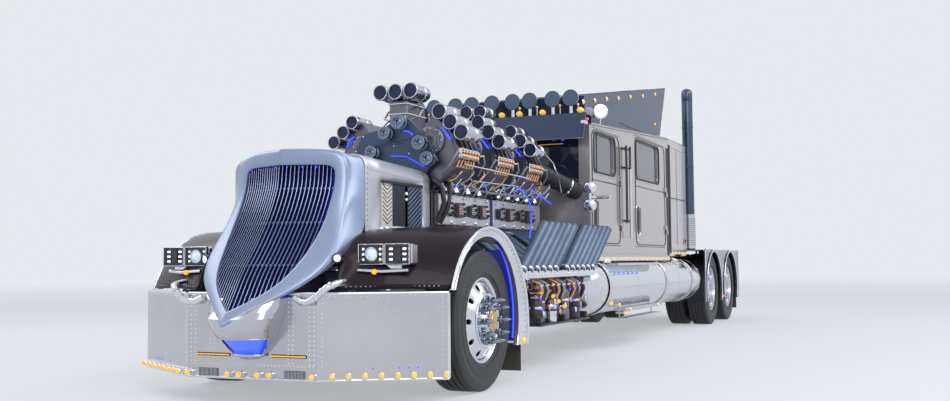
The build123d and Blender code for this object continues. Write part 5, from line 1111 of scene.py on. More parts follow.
def trumpet(x, y, z, r, length):
    """One scoop of a hat, with its mouth toward the front."""
    hats.turn([(r - 0.012, 0.01), (r - 0.01, 0.002), (r - 0.005, 0.0), (r - 0.001, 0.004), (r, 0.012),
               (r - 0.001, 0.02), (r - 0.006, 0.026), (r - 0.006, length - 0.03), (r - 0.014, length - 0.008),
               (r - 0.03, length)], (x, y, z), REAR, 36)
    # The bore's inside wall and a cap closing it, in the dark finish: painted shade inside the mouth.
    hats.turn([(r - 0.0115, 0.0095), (r - 0.014, 0.03), (r - 0.014, 0.088), (0.002, 0.09)], (x, y, z), REAR, 36, 1)
    hats.turn([(r - 0.017, 0.0), (r - 0.016, 0.003), (0.003, 0.004)], (x, y + 0.05, z), REAR, 28, 1)
    hats.turn([(r - 0.0055, 0.0), (r - 0.0015, 0.002), (r - 0.0015, 0.009), (r - 0.0055, 0.011)],
              (x, y + length * 0.62, z), REAR, 36, 2)


for side, y in SIDE_HATS:
    rise = 0.0 if side > 0 else 0.09
    for k in (-1, 0, 1):
        trumpet(side * (0.755 + 0.098 * k), y, 2.1 + rise - 0.09 * k, 0.067, 0.33)
    lean = Vector((0.098 * side, 0, -0.09)).normalized()
    middle = Vector((0.755 * side, y + 0.038, 2.1 + rise))
    hats.rod(middle - lean * 0.196, middle + lean * 0.196, 0.0085, 10, 2)
    for end in (-1, 1):
        tip = middle + lean * 0.192 * end
        hats.block(tip.x - 0.006, tip.x + 0.006, tip.y - 0.012, tip.y + 0.045, tip.z - 0.012, tip.z + 0.012, 0.003, 2)
for y in CENTRE_HATS_Y:
    for k in (-1, 0, 1):
        trumpet(0.15 * k, y, 2.47, 0.072, 0.3)
    hats.block(-0.17, 0.17, y + 0.1, y + 0.3, 2.4, 2.47, 0.01)
    hats.rod((-0.226, y + 0.038, 2.47), (0.226, y + 0.038, 2.47), 0.0085, 10, 2)
    hats.studs(along((-0.15, y + 0.0995, 2.415), (0.15, y + 0.0995, 2.415), 9), FRONT, 0.007, 0.8, 6, 2)
    for x in (-0.222, 0.222):
        hats.block(x - 0.006, x + 0.006, y + 0.03, y + 0.12, 2.464, 2.476, 0.003, 2)
hats.rod((0.8, 0.577, 1.766), (0.8, 2.095, 1.751), 0.009, 10, 2)
hats.rod((0.75, 0.868, 1.65), (0.75, 1.9, 1.667), 0.007, 10, 2)
hats.tube([(0.86, 2.1, 2.03), (0.885, 2.26, 2.01), (0.89, 2.5, 1.93), (0.87, 2.73, 1.8), (0.84, 2.88, 1.66)], 0.007,
          8, 2)
fit("scoop_hat_set", hats, [hat_spun, bore_shade_and_plate_dark, trim_polish], replaces=["scoop_hats"])

# Belt drive: a blue-grey anodised plate bolted to the front of the engines, with grooved pulleys and
# three flat toothed belts.
plate_blue = finish("plate_blue", (0.075, 0.105, 0.175), metal=0.7, rough=0.38, mottle=0.12, patch=5.0, bump=0.04)
pulley_grey = finish("pulley_grey", (0.2, 0.25, 0.34), metal=0.9, rough=0.3, mottle=0.12, patch=12.0)
# Each pulley: X, Z, radius
PULLEYS = [(0.31, 2.119, 0.062), (0.185, 2.032, 0.055), (0.5, 1.937, 0.06), (0.572, 1.804, 0.058),
           (0.06, 1.88, 0.052), (0.0, 1.56, 0.11), (0.0, 1.23, 0.13)]
drive = Shape()
prism(drive, [(-0.2, 1.2), (0.2, 1.2), (0.56, 1.73), (0.64, 1.79), (0.545, 1.99), (0.33, 2.185), (0.13, 2.08),
              (-0.06, 2.04), (-0.14, 1.9), (-0.2, 1.6)], 0.412, 0.4497, 0.005)
for x, z, r in PULLEYS:
    drive.turn([(r * 0.2, 0.022), (r * 0.28, 0.006), (r * 0.34, 0.004), (r * 0.5, 0.012), (r * 0.62, 0.012),
                (r * 0.66, 0.001), (r - 0.003, 0.0), (r, 0.003), (r, 0.007), (r - 0.007, 0.01), (r - 0.007, 0.054),
                (r, 0.057), (r, 0.062), (r - 0.006, 0.064), (r - 0.006, 0.082)], (x, 0.33, z), REAR, 40, 1)
    drive.studs(circle((x, 0.342, z), r * 0.56, 6), FRONT, 0.005, 0.8, 6, 2)


def belt(wheels, y0, y1):
    """A flat band stretched round a set of pulleys."""
    dots = sorted({(round(x + (r - 0.004) * cos(2 * pi * k / 32), 5),
                    round(z + (r - 0.004) * sin(2 * pi * k / 32), 5)) for x, z, r in wheels for k in range(32)})
    hull = []
    for run in (dots, dots[::-1]):
        part = []
        for p in run:
            while len(part) > 1 and ((part[-1][0] - part[-2][0]) * (p[1] - part[-2][1])
                                     - (part[-1][1] - part[-2][1]) * (p[0] - part[-2][0])) <= 0:
                part.pop()
            part.append(p)
        hull += part[:-1]
    cx, cz = sum(p[0] for p in hull) / len(hull), sum(p[1] for p in hull) / len(hull)
    inner = [(cx + (x - cx) * 0.985, cz + (z - cz) * 0.985) for x, z in hull]
    edges = ((hull, y0), (hull, y1), (inner, y1), (inner, y0), (hull, y0))
    drive.sleeve([[(x, y, z) for x, z in edge] for edge, y in edges], 3)


belt([PULLEYS[0], PULLEYS[1], PULLEYS[2]], 0.343, 0.362)
belt([PULLEYS[2], PULLEYS[3], PULLEYS[4]], 0.366, 0.384)
belt([PULLEYS[5], PULLEYS[6]], 0.343, 0.383)
drive.studs([(0.6, 0.412, 1.8), (0.53, 0.412, 1.98), (0.34, 0.412, 2.165), (0.15, 0.412, 2.07), (-0.05, 0.412, 2.02),
             (-0.12, 0.412, 1.9), (0.38, 0.412, 1.86), (0.24, 0.412, 1.93), (0.42, 0.412, 1.98), (0.3, 0.412, 1.7)],
            FRONT, 0.009, 0.8, 6, 2)
drive.tube([(0.22, 0.4, 1.845), (0.36, 0.4, 1.835), (0.52, 0.4, 1.745)], 0.004, 6, 4)
drive.tube([(0.33, 0.405, 2.05), (0.38, 0.4, 2.04), (0.42, 0.405, 2.01)], 0.006, 6, 4)
fit("belt_drive_plate", drive, [plate_blue, pulley_grey, trim_polish, hose_black, blue_glow],
    replaces=["belt_drive"])

# Header pipes: six steel tubes in each group, swept back from a bright collector, heat blued, open
# at their tips and sooty inside.
header_steel = finish("header_steel", (0.11, 0.15, 0.22), metal=0.9, rough=0.4, mottle=0.22, patch=3.0, bump=0.05)
soot_black = finish("soot_black", (0.006, 0.006, 0.007), rough=0.85, mottle=0.3)
headers = Shape()
for y_low, y_high in ((0.86, 1.29), (1.96, 2.39)):
    for k in range(6):
        foot = Vector((1.175, y_low + k * 0.158, 0.88))
        tip = Vector((1.235, y_high + k * 0.158, 1.29))
        run = (tip - foot).normalized()
        length = (tip - foot).length
        headers.turn([(0.04, 0), (0.044, 0.004), (0.044, length - 0.004), (0.0425, length), (0.0405, length),
                      (0.039, length - 0.004), (0.039, length - 0.058)], foot, run, 28)
        headers.turn([(0.039, length - 0.058), (0.003, length - 0.06)], foot, run, 28, 1)
        headers.lathe([(47, 20), (49, 24), (49, 34), (47, 38)], foot, run, 28, 2)
        y = foot.y
        headers.tube([(0.565, y + 0.06, 1.262), (0.68, y + 0.055, 1.22), (0.88, y + 0.03, 1.08),
                      (1.08, y + 0.01, 0.93), (1.13, y, 0.89)], 0.03, 16)
        headers.lathe([(50, 0), (52, 4), (52, 14), (34, 16)], (0.562, y + 0.06, 1.264), (1, 0, -0.3), 20, 2)
headers.block(1.105, 1.215, 0.82, 2.8, 0.82, 0.89, 0.008, 2)
headers.studs(along((1.215, 0.86, 0.855), (1.215, 2.76, 0.855), 26), LEFT, 0.008, 0.8, 6, 2)
headers.mirrored()
fit("header_pipe_set", headers, [header_steel, soot_black, trim_polish],
    replaces=["header_pipes"])

# Hoses and lines: a black ribbed duct on each side to the cab wall with clamps, braided lines along
# the engine with blue diodes among them, and a ribbed cover bolted over the valley between two rails.
hoses = Shape()
for k in range(12):
    t = 0.06 + k * 0.078
    place = Vector((0.52, 2.7, 1.95)).lerp(Vector((0.9, 3.22, 1.69)), t)
    hoses.lathe([(88, -10), (94.5, -4), (94.5, 4), (88, 10)], place, (0.38, 0.52, -0.26), 24)
for t in (0.1, 0.8):
    place = Vector((0.52, 2.7, 1.95)).lerp(Vector((0.9, 3.22, 1.69)), t)
    hoses.lathe([(94.5, -12), (98, -9), (98, 9), (94.5, 12)], place, (0.38, 0.52, -0.26), 28, 1)
for k in range(10):
    y = 0.62 + k * 0.24
    hoses.tube([(0.6, y, 1.62), (0.69, y + 0.03, 1.66), (0.72, y + 0.08, 1.72), (0.7, y + 0.12, 1.76)], 0.01, 8,
               2 if k % 2 else 3)
    hoses.tube([(0.57, y + 0.05, 1.58), (0.67, y + 0.07, 1.6), (0.7, y + 0.12, 1.66)], 0.008, 8, 1)
hoses.tube([(0.62, 0.6, 1.25), (0.66, 1.0, 1.22), (0.66, 1.7, 1.24), (0.66, 2.4, 1.2), (0.6, 2.95, 1.24)],
           0.014, 8, 2)
hoses.tube([(0.64, 0.62, 1.215), (0.68, 1.2, 1.19), (0.68, 2.0, 1.18), (0.62, 2.9, 1.16)], 0.009, 8, 2)
hoses.tube([(0.61, 1.05, 1.6), (0.64, 1.5, 1.585), (0.64, 2.2, 1.59), (0.61, 2.8, 1.58)], 0.012, 8, 2)
hoses.tube([(0.8, 1.728, 1.654), (0.8, 1.9, 1.62), (0.8, 2.03, 1.56), (0.8, 2.11, 1.49), (0.8, 2.132, 1.4),
            (0.8, 2.11, 1.29), (0.8, 2.071, 1.188)], 0.006, 8, 4)
hoses.studs([(0.637, 1.63, 1.49), (0.66, 0.75, 1.6), (0.75, 1.11, 1.63), (0.75, 1.86, 1.62), (0.66, 2.55, 1.6)],
            (1, -0.3, 0), 0.012, 0.8, 8, 4)
hoses.tube([(0.58, 0.43, 1.64), (0.65, 0.46, 1.58), (0.67, 0.47, 1.44), (0.62, 0.44, 1.3)], 0.021, 10)
hoses.tube([(0.59, 0.64, 1.63), (0.67, 0.57, 1.61), (0.7, 0.52, 1.52), (0.69, 0.49, 1.4), (0.63, 0.47, 1.28)],
           0.017, 10)
hoses.tube([(0.8, 2.1, 1.653), (0.8, 2.4, 1.6), (0.8, 2.68, 1.538)], 0.005, 8, 4)
hoses.mirrored()
for y in (0.96, 1.18):
    hoses.studs([(0.1, y, 1.95), (0.1, y, 2.12)], (1, -0.3, 0), 0.012, 0.8, 8, 4)
repaint("engine_hoses", hose_black)
hoses.block(-0.205, 0.205, 1.52, 2.44, 1.655, 1.69, 0.006, 2)
for k in range(9):
    hoses.block(-0.185, 0.185, 1.56 + 0.1 * k, 1.582 + 0.1 * k, 1.688, 1.703, 0.004, 2)
for x in (-0.195, 0.195):
    hoses.studs(along((x, 1.55, 1.69), (x, 2.41, 1.69), 12), UP, 0.009, 0.6, 6, 1)
    hoses.tube([(x * 1.2, 0.56, 1.68), (x * 1.2, 1.7, 1.684), (x * 1.2, 2.94, 1.68)], 0.013, 8, 1)
fit("engine_lines", hoses, [hose_black, trim_polish, braided_line, copper_cap, blue_glow])

# Filter bank: a row of canisters, pumps and bent lines on a tray under each header, ahead of the tank,
# in dark castings and bright caps, with amber and blue diodes among them.
purple_line = finish("purple_line", (0.12, 0.035, 0.1), metal=0.6, rough=0.3, coat=0.4, mottle=0.3, patch=20.0)
bank = Shape()
bank.block(0.62, 1.135, 1.46, 2.86, 0.392, 0.41, 0.005)
for y in (1.5, 2.15, 2.8):
    bank.block(0.44, 1.12, y - 0.02, y + 0.02, 0.412, 0.47, 0.006)
# Each canister: X, Y, foot, radius, height, coat
CANISTERS = [(1.04, 1.56, 0.41, 0.062, 0.22, 0), (0.98, 1.74, 0.41, 0.08, 0.3, 1), (1.06, 1.9, 0.41, 0.058, 0.17, 2),
             (0.99, 2.07, 0.41, 0.085, 0.26, 0), (1.06, 2.25, 0.41, 0.06, 0.3, 1), (0.97, 2.42, 0.41, 0.078, 0.22, 2),
             (1.05, 2.58, 0.41, 0.066, 0.28, 0), (0.98, 2.76, 0.41, 0.075, 0.24, 1), (0.8, 1.65, 0.41, 0.09, 0.34, 0),
             (0.8, 1.95, 0.41, 0.09, 0.3, 2), (0.8, 2.25, 0.41, 0.09, 0.36, 0), (0.8, 2.55, 0.41, 0.09, 0.32, 1)]
for x, y, z, r, high, coat in CANISTERS:
    bank.turn([(r * 0.8, 0), (r * 0.97, 0.006), (r, 0.02), (r, high * 0.32), (r * 0.94, high * 0.34),
               (r * 0.94, high * 0.4), (r, high * 0.42), (r, high * 0.86), (r * 0.9, high * 0.95), (r * 0.5, high),
               (r * 0.3, high + 0.004)], (x, y, z), UP, 22, coat)
    bank.turn([(r * 0.34, 0), (r * 0.36, 0.006), (r * 0.36, 0.03), (r * 0.25, 0.036)], (x, y, z + high), UP, 12, 3)
    bank.turn([(r * 1.01, 0), (r * 1.05, 0.003), (r * 1.05, 0.018), (r * 1.01, 0.021)], (x, y, z + high * 0.6), UP,
              22, 2 if coat != 2 else 0)
    bank.tube([(x, y, z + high + 0.02), (x + 0.01, y + 0.02, z + high + 0.07), (x + 0.02, y + 0.09, z + high + 0.08),
               (x + 0.015, y + 0.15, z + high + 0.02), (x, y + 0.17, z + high - 0.06)], 0.012, 8, 4 if coat else 5)
for k in range(9):
    y = 1.52 + 0.15 * k
    bank.tube([(1.03, y, 0.8), (1.09, y + 0.03, 0.77), (1.1, y + 0.06, 0.7), (1.06, y + 0.08, 0.62)], 0.017, 10,
              (3, 4, 5)[k % 3])
    bank.lathe([(22, 0), (26, 4), (26, 18), (20, 22)], (1.092, y + 0.035, 0.762), (0.2, 0.3, -1), 12, 2)
    bank.lathe([(26, 0), (26, 12), (15, 20), (3, 22)], (1.105, y + 0.05, 0.5 + 0.05 * (k % 3)), LEFT,
               12, (2, 3)[k % 2])
for y, z, r in ((1.807, 0.648, 0.02), (1.962, 0.598, 0.02), (2.117, 0.544, 0.02), (1.821, 0.759, 0.012),
                (1.481, 0.689, 0.012)):
    bank.turn([(r, 0.0), (r * 0.95, 0.012), (r * 0.5, 0.022), (0.002, 0.025)], (1.115, y, z), (1, -0.4, 0), 12, 6)
    bank.rod((1.02, y, z), (1.116, y, z), r * 0.6, 8, 2)
for y, z in ((1.48, 0.646), (1.552, 0.538), (1.813, 0.544), (2.004, 0.536), (2.4, 0.6), (2.62, 0.52), (2.3, 0.7)):
    bank.lathe([(11, 0), (10, 8), (2, 12)], (1.115, y, z), (1, -0.4, 0), 8, 7)
    bank.rod((1.03, y, z), (1.116, y, z), 0.007, 6, 2)
bank.mirrored()
fit("filter_banks", bank, [engine_iron, cast_silver, trim_polish, copper_cap, braided_line, purple_line, amber_glow,
                           blue_glow])

# Cab: aluminium panels on a frame, painted satin silver taupe, with a rolled roof edge, riveted seams, a
# bright sill strip, a drip rail over the doors and a firewall lit by small blue diodes.
cab_paint = finish("cab_paint", (0.4, 0.375, 0.37), metal=0.5, rough=0.27, coat=0.7, mottle=0.05, patch=0.7,
                   grain=0.03, grain_size=500.0, bump=0.012, dust=0.1)
# Black for seams, seals and grooves, and for thin lines of painted shade under creases.
seam_and_crease_shade_black = finish("seam_and_crease_shade_black", (0.012, 0.012, 0.014), rough=0.55, mottle=0.3)
red_glow = finish("red_glow", (0.9, 0.03, 0.05), rough=0.12, coat=1.0, mottle=0.1, glow=1.2)
repaint("cab_shell", cab_paint)
CAB_X = 1.05
CAB_FRONT = 3.19
CAB_REAR = 6.66
cab_trim = Shape()


def roof_z(y):
    """The roof's height at a place along the cab."""
    return 2.42 + 0.2 * (y - CAB_FRONT) / (CAB_REAR - CAB_FRONT)


cab_trim.block(CAB_X - 0.002, CAB_X + 0.006, CAB_FRONT + 0.01, CAB_REAR - 0.01, 0.966, 1.012, 0.003, 1)
cab_trim.studs(along((CAB_X + 0.004, CAB_FRONT + 0.05, 1.045), (CAB_X + 0.004, CAB_REAR - 0.05, 1.045), 58), LEFT,
               0.005, 0.5, 6)
cab_trim.studs([(CAB_X, y, roof_z(y) - 0.062) for y in [3.22 + 0.06 * k for k in range(58)]], LEFT, 0.005, 0.5, 6)
for y in (CAB_FRONT + 0.022, 4.4, 4.9, CAB_REAR - 0.03):
    cab_trim.studs([(CAB_X, y, 1.1 + 0.065 * k) for k in range(19)], LEFT, 0.005, 0.5, 6)
cab_trim.tube([(CAB_X + 0.004, 3.215, roof_z(3.2) - 0.034), (CAB_X + 0.009, 3.24, roof_z(3.24) - 0.028),
               (CAB_X + 0.009, 5.0, roof_z(5.0) - 0.028), (CAB_X + 0.009, 6.62, roof_z(6.62) - 0.028),
               (CAB_X + 0.002, 6.65, roof_z(6.65) - 0.034)], 0.008, 8)
for x in (0.12, 0.36, 0.6, 0.84):
    cab_trim.studs([(x, CAB_FRONT, 1.745)], FRONT, 0.011, 0.8, 8, 3)
cab_trim.studs([(0.658, 3.186, 2.246), (0.76, 3.186, 2.24)], FRONT, 0.012, 0.8, 8, 3)
cab_trim.block(0.5, 0.76, 3.18, CAB_FRONT, 2.195, 2.2, 0.002, 5)
cab_trim.block(CAB_X - 0.004, CAB_X + 0.002, 6.53, 6.657, 1.03, 2.46, 0.002, 2)
cab_trim.block(0.02, 0.94, 3.182, 3.191, 1.762, 1.774, 0.002, 2)
cab_trim.block(0.02, 0.94, 3.182, 3.191, 2.296, 2.306, 0.002, 2)
cab_trim.studs(along((0.06, CAB_FRONT, 1.7), (0.98, CAB_FRONT, 1.7), 20), FRONT, 0.006, 0.5, 6)
cab_trim.studs(along((1.015, CAB_FRONT, 1.05), (1.015, CAB_FRONT, 2.36), 26), FRONT, 0.006, 0.5, 6)
cab_trim.rod((0.1, 3.165, 1.83), (0.5, 3.155, 2.12), 0.007, 8, 2)
cab_trim.rod((0.1, 3.185, 1.8), (0.1, 3.16, 1.84), 0.014, 10, 2)
cab_trim.lathe([(17, -6), (18, 10), (12, 20), (3, 24)], (1.07, 3.04, 2.421), (1, -0.4, 0), 12, 4)
cab_trim.mirrored()
fit("cab_trim", cab_trim, [cab_paint, trim_polish, seam_and_crease_shade_black, blue_glow, red_glow, amber_glow])

# Doors: flush panels with a black seal along their rounded edge, a rubber frame round the window, a
# crease under it with a thin black line of painted shade below the fold, an oval pull and two strap
# hinges at the rear edge.
glass_grey = finish("glass_grey", (0.3, 0.34, 0.38), rough=0.03, coat=0.5, mottle=0.08, patch=1.2,
                    grain=0.02, bump=0.0)
glass_grey.node_tree.nodes["Principled BSDF"].inputs["Transmission Weight"].default_value = 0.72
glass_grey.node_tree.nodes["Principled BSDF"].inputs["IOR"].default_value = 1.25
# Each door: front Y, rear Y, top, window front Y, window rear Y, window low, window high
DOORS = {"front": (3.25, 4.32, 2.37, 3.33, 4.12, 1.91, 2.32), "rear": (4.96, 6.47, 2.47, 5.02, 6.13, 1.95, 2.41)}
PULL_Z = 1.445


def round_loop(x, y0, y1, z0, z1, corner, steps=5):
    """A closed path round a rectangle with rounded corners, square to X."""
    loop = []
    for cy, cz, turn in ((y1 - corner, z1 - corner, 0), (y0 + corner, z1 - corner, 1), (y0 + corner, z0 + corner, 2),
                         (y1 - corner, z0 + corner, 3)):
        loop += [(x, cy + corner * cos(pi / 2 * (turn + k / steps)), cz + corner * sin(pi / 2 * (turn + k / steps)))
                 for k in range(steps + 1)]
    return loop + [loop[0]]


for door, (y0, y1, top, w0, w1, wz0, wz1) in DOORS.items():
    pull_y = y0 + 0.11
    for name in ("left", "right"):
        trim = Shape()
        trim.tube(round_loop(CAB_X + 0.001, y0 + 0.022, y1 - 0.026, 1.155, top - 0.022, 0.1), 0.0055, 6, 1)
        trim.tube(round_loop(CAB_X + 0.003, w0 - 0.006, w1 + 0.006, wz0 - 0.006, wz1 + 0.006, 0.075), 0.0095, 8, 1)
        trim.tube(round_loop(CAB_X + 0.001, w0 - 0.032, w1 + 0.032, wz0 - 0.032, wz1 + 0.024, 0.09), 0.004, 6)
        trim.tube([(CAB_X + 0.001, y0 + 0.04, wz0 - 0.085), (CAB_X + 0.001, y1 - 0.05, wz0 - 0.085)], 0.006, 6)
        # A thin black line just under the crease: painted shade of the fold.
        trim.tube([(CAB_X, y0 + 0.04, wz0 - 0.096), (CAB_X, y1 - 0.05, wz0 - 0.096)], 0.004, 6, 1)
        if door == "front":
            trim.block(CAB_X - 0.032, CAB_X - 0.015, w0 + 0.16, w0 + 0.178, wz0, wz1, 0.003, 1)
        trim.tube(round_loop(CAB_X + 0.002, pull_y - 0.08, pull_y + 0.08, PULL_Z - 0.19, PULL_Z + 0.19, 0.079, 7),
                  0.008, 8, 2)
        trim.block(CAB_X + 0.001, CAB_X + 0.003, pull_y - 0.056, pull_y + 0.056, PULL_Z - 0.16,
                   PULL_Z + 0.16, 0.001, 1)
        trim.lathe([(22, 0), (22, 6), (12, 9), (2, 9)], (CAB_X, pull_y, PULL_Z - 0.24), LEFT, 20, 2)
        trim.studs(along((CAB_X, y0 + 0.06, 1.18), (CAB_X, y1 - 0.07, 1.18), 20), LEFT, 0.0045, 0.5, 6)
        if name == "right":
            trim.flipped()
        body = "door_" + door + "_" + name
        repaint(body, cab_paint)
        repaint("door_glass_" + door + "_" + name, glass_grey)
        fit(body + "_trim", trim, [cab_paint, seam_and_crease_shade_black, trim_polish], body)
glass_navy = finish("glass_navy", (0.03, 0.04, 0.09), rough=0.04, coat=0.5, mottle=0.1, patch=1.2,
                    grain=0.02, bump=0.0)
glass_navy.node_tree.nodes["Principled BSDF"].inputs["Transmission Weight"].default_value = 0.5
repaint("windscreen", glass_navy)

# Cab brightwork: two black rails with rungs on each side between the doors, chromed mirror arms ahead
# of them with a pair of round heads.
rail_black = finish("rail_black", (0.015, 0.015, 0.018), rough=0.25, coat=0.7, mottle=0.2)
bright = Shape()
for y in (4.405, 4.56):
    bright.rod((CAB_X + 0.055, y, 1.39), (CAB_X + 0.055, y, 2.28), 0.014, 16, 0, 0.4)
    for z in (1.42, 2.03, 2.25):
        bright.rod((CAB_X, y, z), (CAB_X + 0.055, y, z), 0.01, 12)
        bright.lathe([(20, 0), (20, 4), (12, 7)], (CAB_X, y, z), LEFT, 16)
bright.rod((CAB_X + 0.055, 4.56, 1.22), (CAB_X + 0.055, 4.56, 2.02), 0.016, 16, 1)
for z in (2.14, 2.05):
    bright.rod((CAB_X + 0.055, 4.405, z), (CAB_X + 0.055, 4.56, z), 0.009, 10)
bright.rod((CAB_X, 3.215, 1.62), (CAB_X + 0.205, 3.215, 1.62), 0.018, 20, 1)
bright.lathe([(18, 0), (23, 4), (23, 14), (12, 18)], (CAB_X + 0.19, 3.215, 1.62), LEFT, 20, 1)
bright.lathe([(32, 0), (32, 8), (20, 14)], (CAB_X, 3.215, 1.62), LEFT, 20, 1)
bright.rod((CAB_X + 0.05, 3.215, 1.62), (CAB_X + 0.05, 3.0, 1.62), 0.014, 14, 1)
bright.rod((CAB_X + 0.05, 3.0, 1.52), (CAB_X + 0.05, 3.0, 1.72), 0.014, 14, 1)
for z in (1.53, 1.71):
    bright.lathe([(12, 0), (40, 4), (60, 16), (67, 34), (68, 70), (65, 78), (60, 79)], (CAB_X + 0.05, 2.961, z),
                 REAR, 32, 1)
    bright.lathe([(60, 74), (30, 75), (2, 75.5)], (CAB_X + 0.05, 2.961, z), REAR, 32, 2)
bright.mirrored()
mirror_glass = finish("mirror_glass", (0.8, 0.82, 0.85), metal=1.0, rough=0.03, mottle=0.03, grain=0.01, bump=0.0)
fit("rails_and_mirrors", bright, [rail_black, trim_polish, mirror_glass],
    replaces=["cab_brightwork"])

# Roof: a drop visor over the windscreen, a tall wedge fairing with riveted seams, open at the back, with
# amber lamps on its edges, nine round lamps in covers over the visor, and a white work lamp on each
# front corner.
roof_blue = finish("roof_blue", (0.018, 0.036, 0.095), metal=0.2, rough=0.35, coat=0.25, mottle=0.08, patch=0.8,
                   bump=0.012)
cover_blue = finish("cover_blue", (0.07, 0.115, 0.19), metal=0.15, rough=0.32, coat=0.4, mottle=0.12, patch=6.0)
repaint("roof_fairings", roof_blue)
roof = Shape()
for y, z in ((3.207, 2.629), (3.617, 2.699), (4.063, 2.776), (4.541, 2.851), (5.065, 2.943), (5.646, 3.035),
             (6.279, 3.147)):
    roof.lathe([(26, 0), (28, 4), (22, 8)], (0.98, y, z), LEFT, 16, 1)
    roof.lathe([(22, 7), (18, 16), (4, 21)], (0.98, y, z), LEFT, 16, 2)
for x, y, z in ((0.97, 6.688, 2.937), (0.97, 6.628, 2.81), (0.975, 6.266, 2.748)):
    roof.lathe([(20, -4), (20, 6), (13, 16), (3, 19)], (x, y, z), (1, 0.4, -0.2), 12, 2)
roof.studs([(0.98, 3.34 + 0.17 * k, 2.47 + 0.0088 * k) for k in range(19)], LEFT, 0.006, 0.5, 6)
roof.studs([(0.98, 3.38 + 0.17 * k, 2.6 + 0.0288 * k) for k in range(19)], LEFT, 0.006, 0.5, 6)
roof.block(0.97, 0.986, 4.6, 6.05, 2.565, 2.578, 0.004)
roof.studs(along((0.06, 2.894, 2.222), (1.05, 2.894, 2.222), 18), (0, -1, 0.3), 0.006, 0.5, 6)
roof.tube([(0.0, 2.893, 2.213), (0.54, 2.893, 2.213), (1.079, 2.893, 2.213)], 0.008, 8, 1)
roof.lathe([(58, -30), (74, 0), (78, 20), (79, 34), (70, 36)], (1.035, 3.645, 2.572), (0.45, -1, 0), 28, 1)
roof.lathe([(70, 33), (50, 40), (20, 44), (3, 45)], (1.035, 3.645, 2.572), (0.45, -1, 0), 28, 3)
roof.rod((1.02, 3.655, 2.42), (1.03, 3.65, 2.505), 0.012, 10, 1)
roof.block(1.04, 1.082, 2.93, 3.05, 2.36, 2.402, 0.006, 1)
for x in (0.237, 0.431, 0.688, 0.886):
    roof.lathe([(12, 0), (12, 10), (7, 16), (2, 18)], (x + 0.075, 3.11, 2.59), FRONT, 10, 2)
    roof.rod((x + 0.075, 3.11, 2.487), (x + 0.075, 3.11, 2.59), 0.005, 6, 1)
FAIRING_SLOPE = 0.1703
for y in (4.15, 5.06, 5.97):
    z = 2.7 + (y - 3.24) * FAIRING_SLOPE
    roof.tube([(0.0, y, z), (0.49, y, z), (0.976, y, z)], 0.005, 6)
    roof.studs(along((0.03, y + 0.03, z + 0.005), (0.95, y + 0.03, z + 0.005), 16), (0, -0.17, 1), 0.006, 0.5, 6)
roof.tube([(0.49, 3.28, 2.707), (0.49, 5.0, 3.0), (0.49, 6.86, 3.3166)], 0.005, 6)
roof.studs(along((0.955, 3.3, 2.7105), (0.955, 6.84, 3.3135), 40), (0, -0.17, 1), 0.006, 0.5, 6)
roof.mirrored()
fit("roof_trim", roof, [roof_blue, trim_polish, amber_glow, white_glow])
roof_lamps = Shape()
for x in (0.0, 0.237, 0.431, 0.688, 0.886, -0.237, -0.431, -0.688, -0.886):
    roof_lamps.lathe([(3, 1), (50, 0), (74, 3), (77, 0), (84, 0), (86, 3), (86, 22), (74, 48), (48, 84), (26, 106),
                      (3, 110)], (x, 3.07, 2.66), REAR, 40)
    roof_lamps.lathe([(86.3, 16), (86.8, 18), (86.8, 24), (84, 28)], (x, 3.07, 2.66), REAR, 40, 1)
    roof_lamps.block(x - 0.018, x + 0.018, 3.09, 3.13, 2.4853, 2.6, 0.004, 1)
fit("round_roof_lamps", roof_lamps, [cover_blue, trim_polish], replaces=["roof_lamps"])

# Cab inside: two tall seats and a rear bunk in dark stitched leather, a padded dashboard with dials and
# a steering column. The seats' cushions are crowned, with sewn channels, and swell between their seams.
seat_leather = finish("seat_leather", (0.075, 0.04, 0.032), rough=0.42, coat=0.1, mottle=0.2, patch=8.0,
                      grain_size=320.0, bump=0.45)
bunk_cloth = finish("bunk_cloth", (0.16, 0.15, 0.15), rough=0.85, mottle=0.12, patch=5.0, grain_size=600.0, bump=0.5)
dash_black = finish("dash_black", (0.02, 0.02, 0.022), rough=0.5, mottle=0.2, grain_size=500.0, bump=0.3)
seat_base = finish("seat_base", (0.03, 0.03, 0.035), rough=0.4, mottle=0.2)


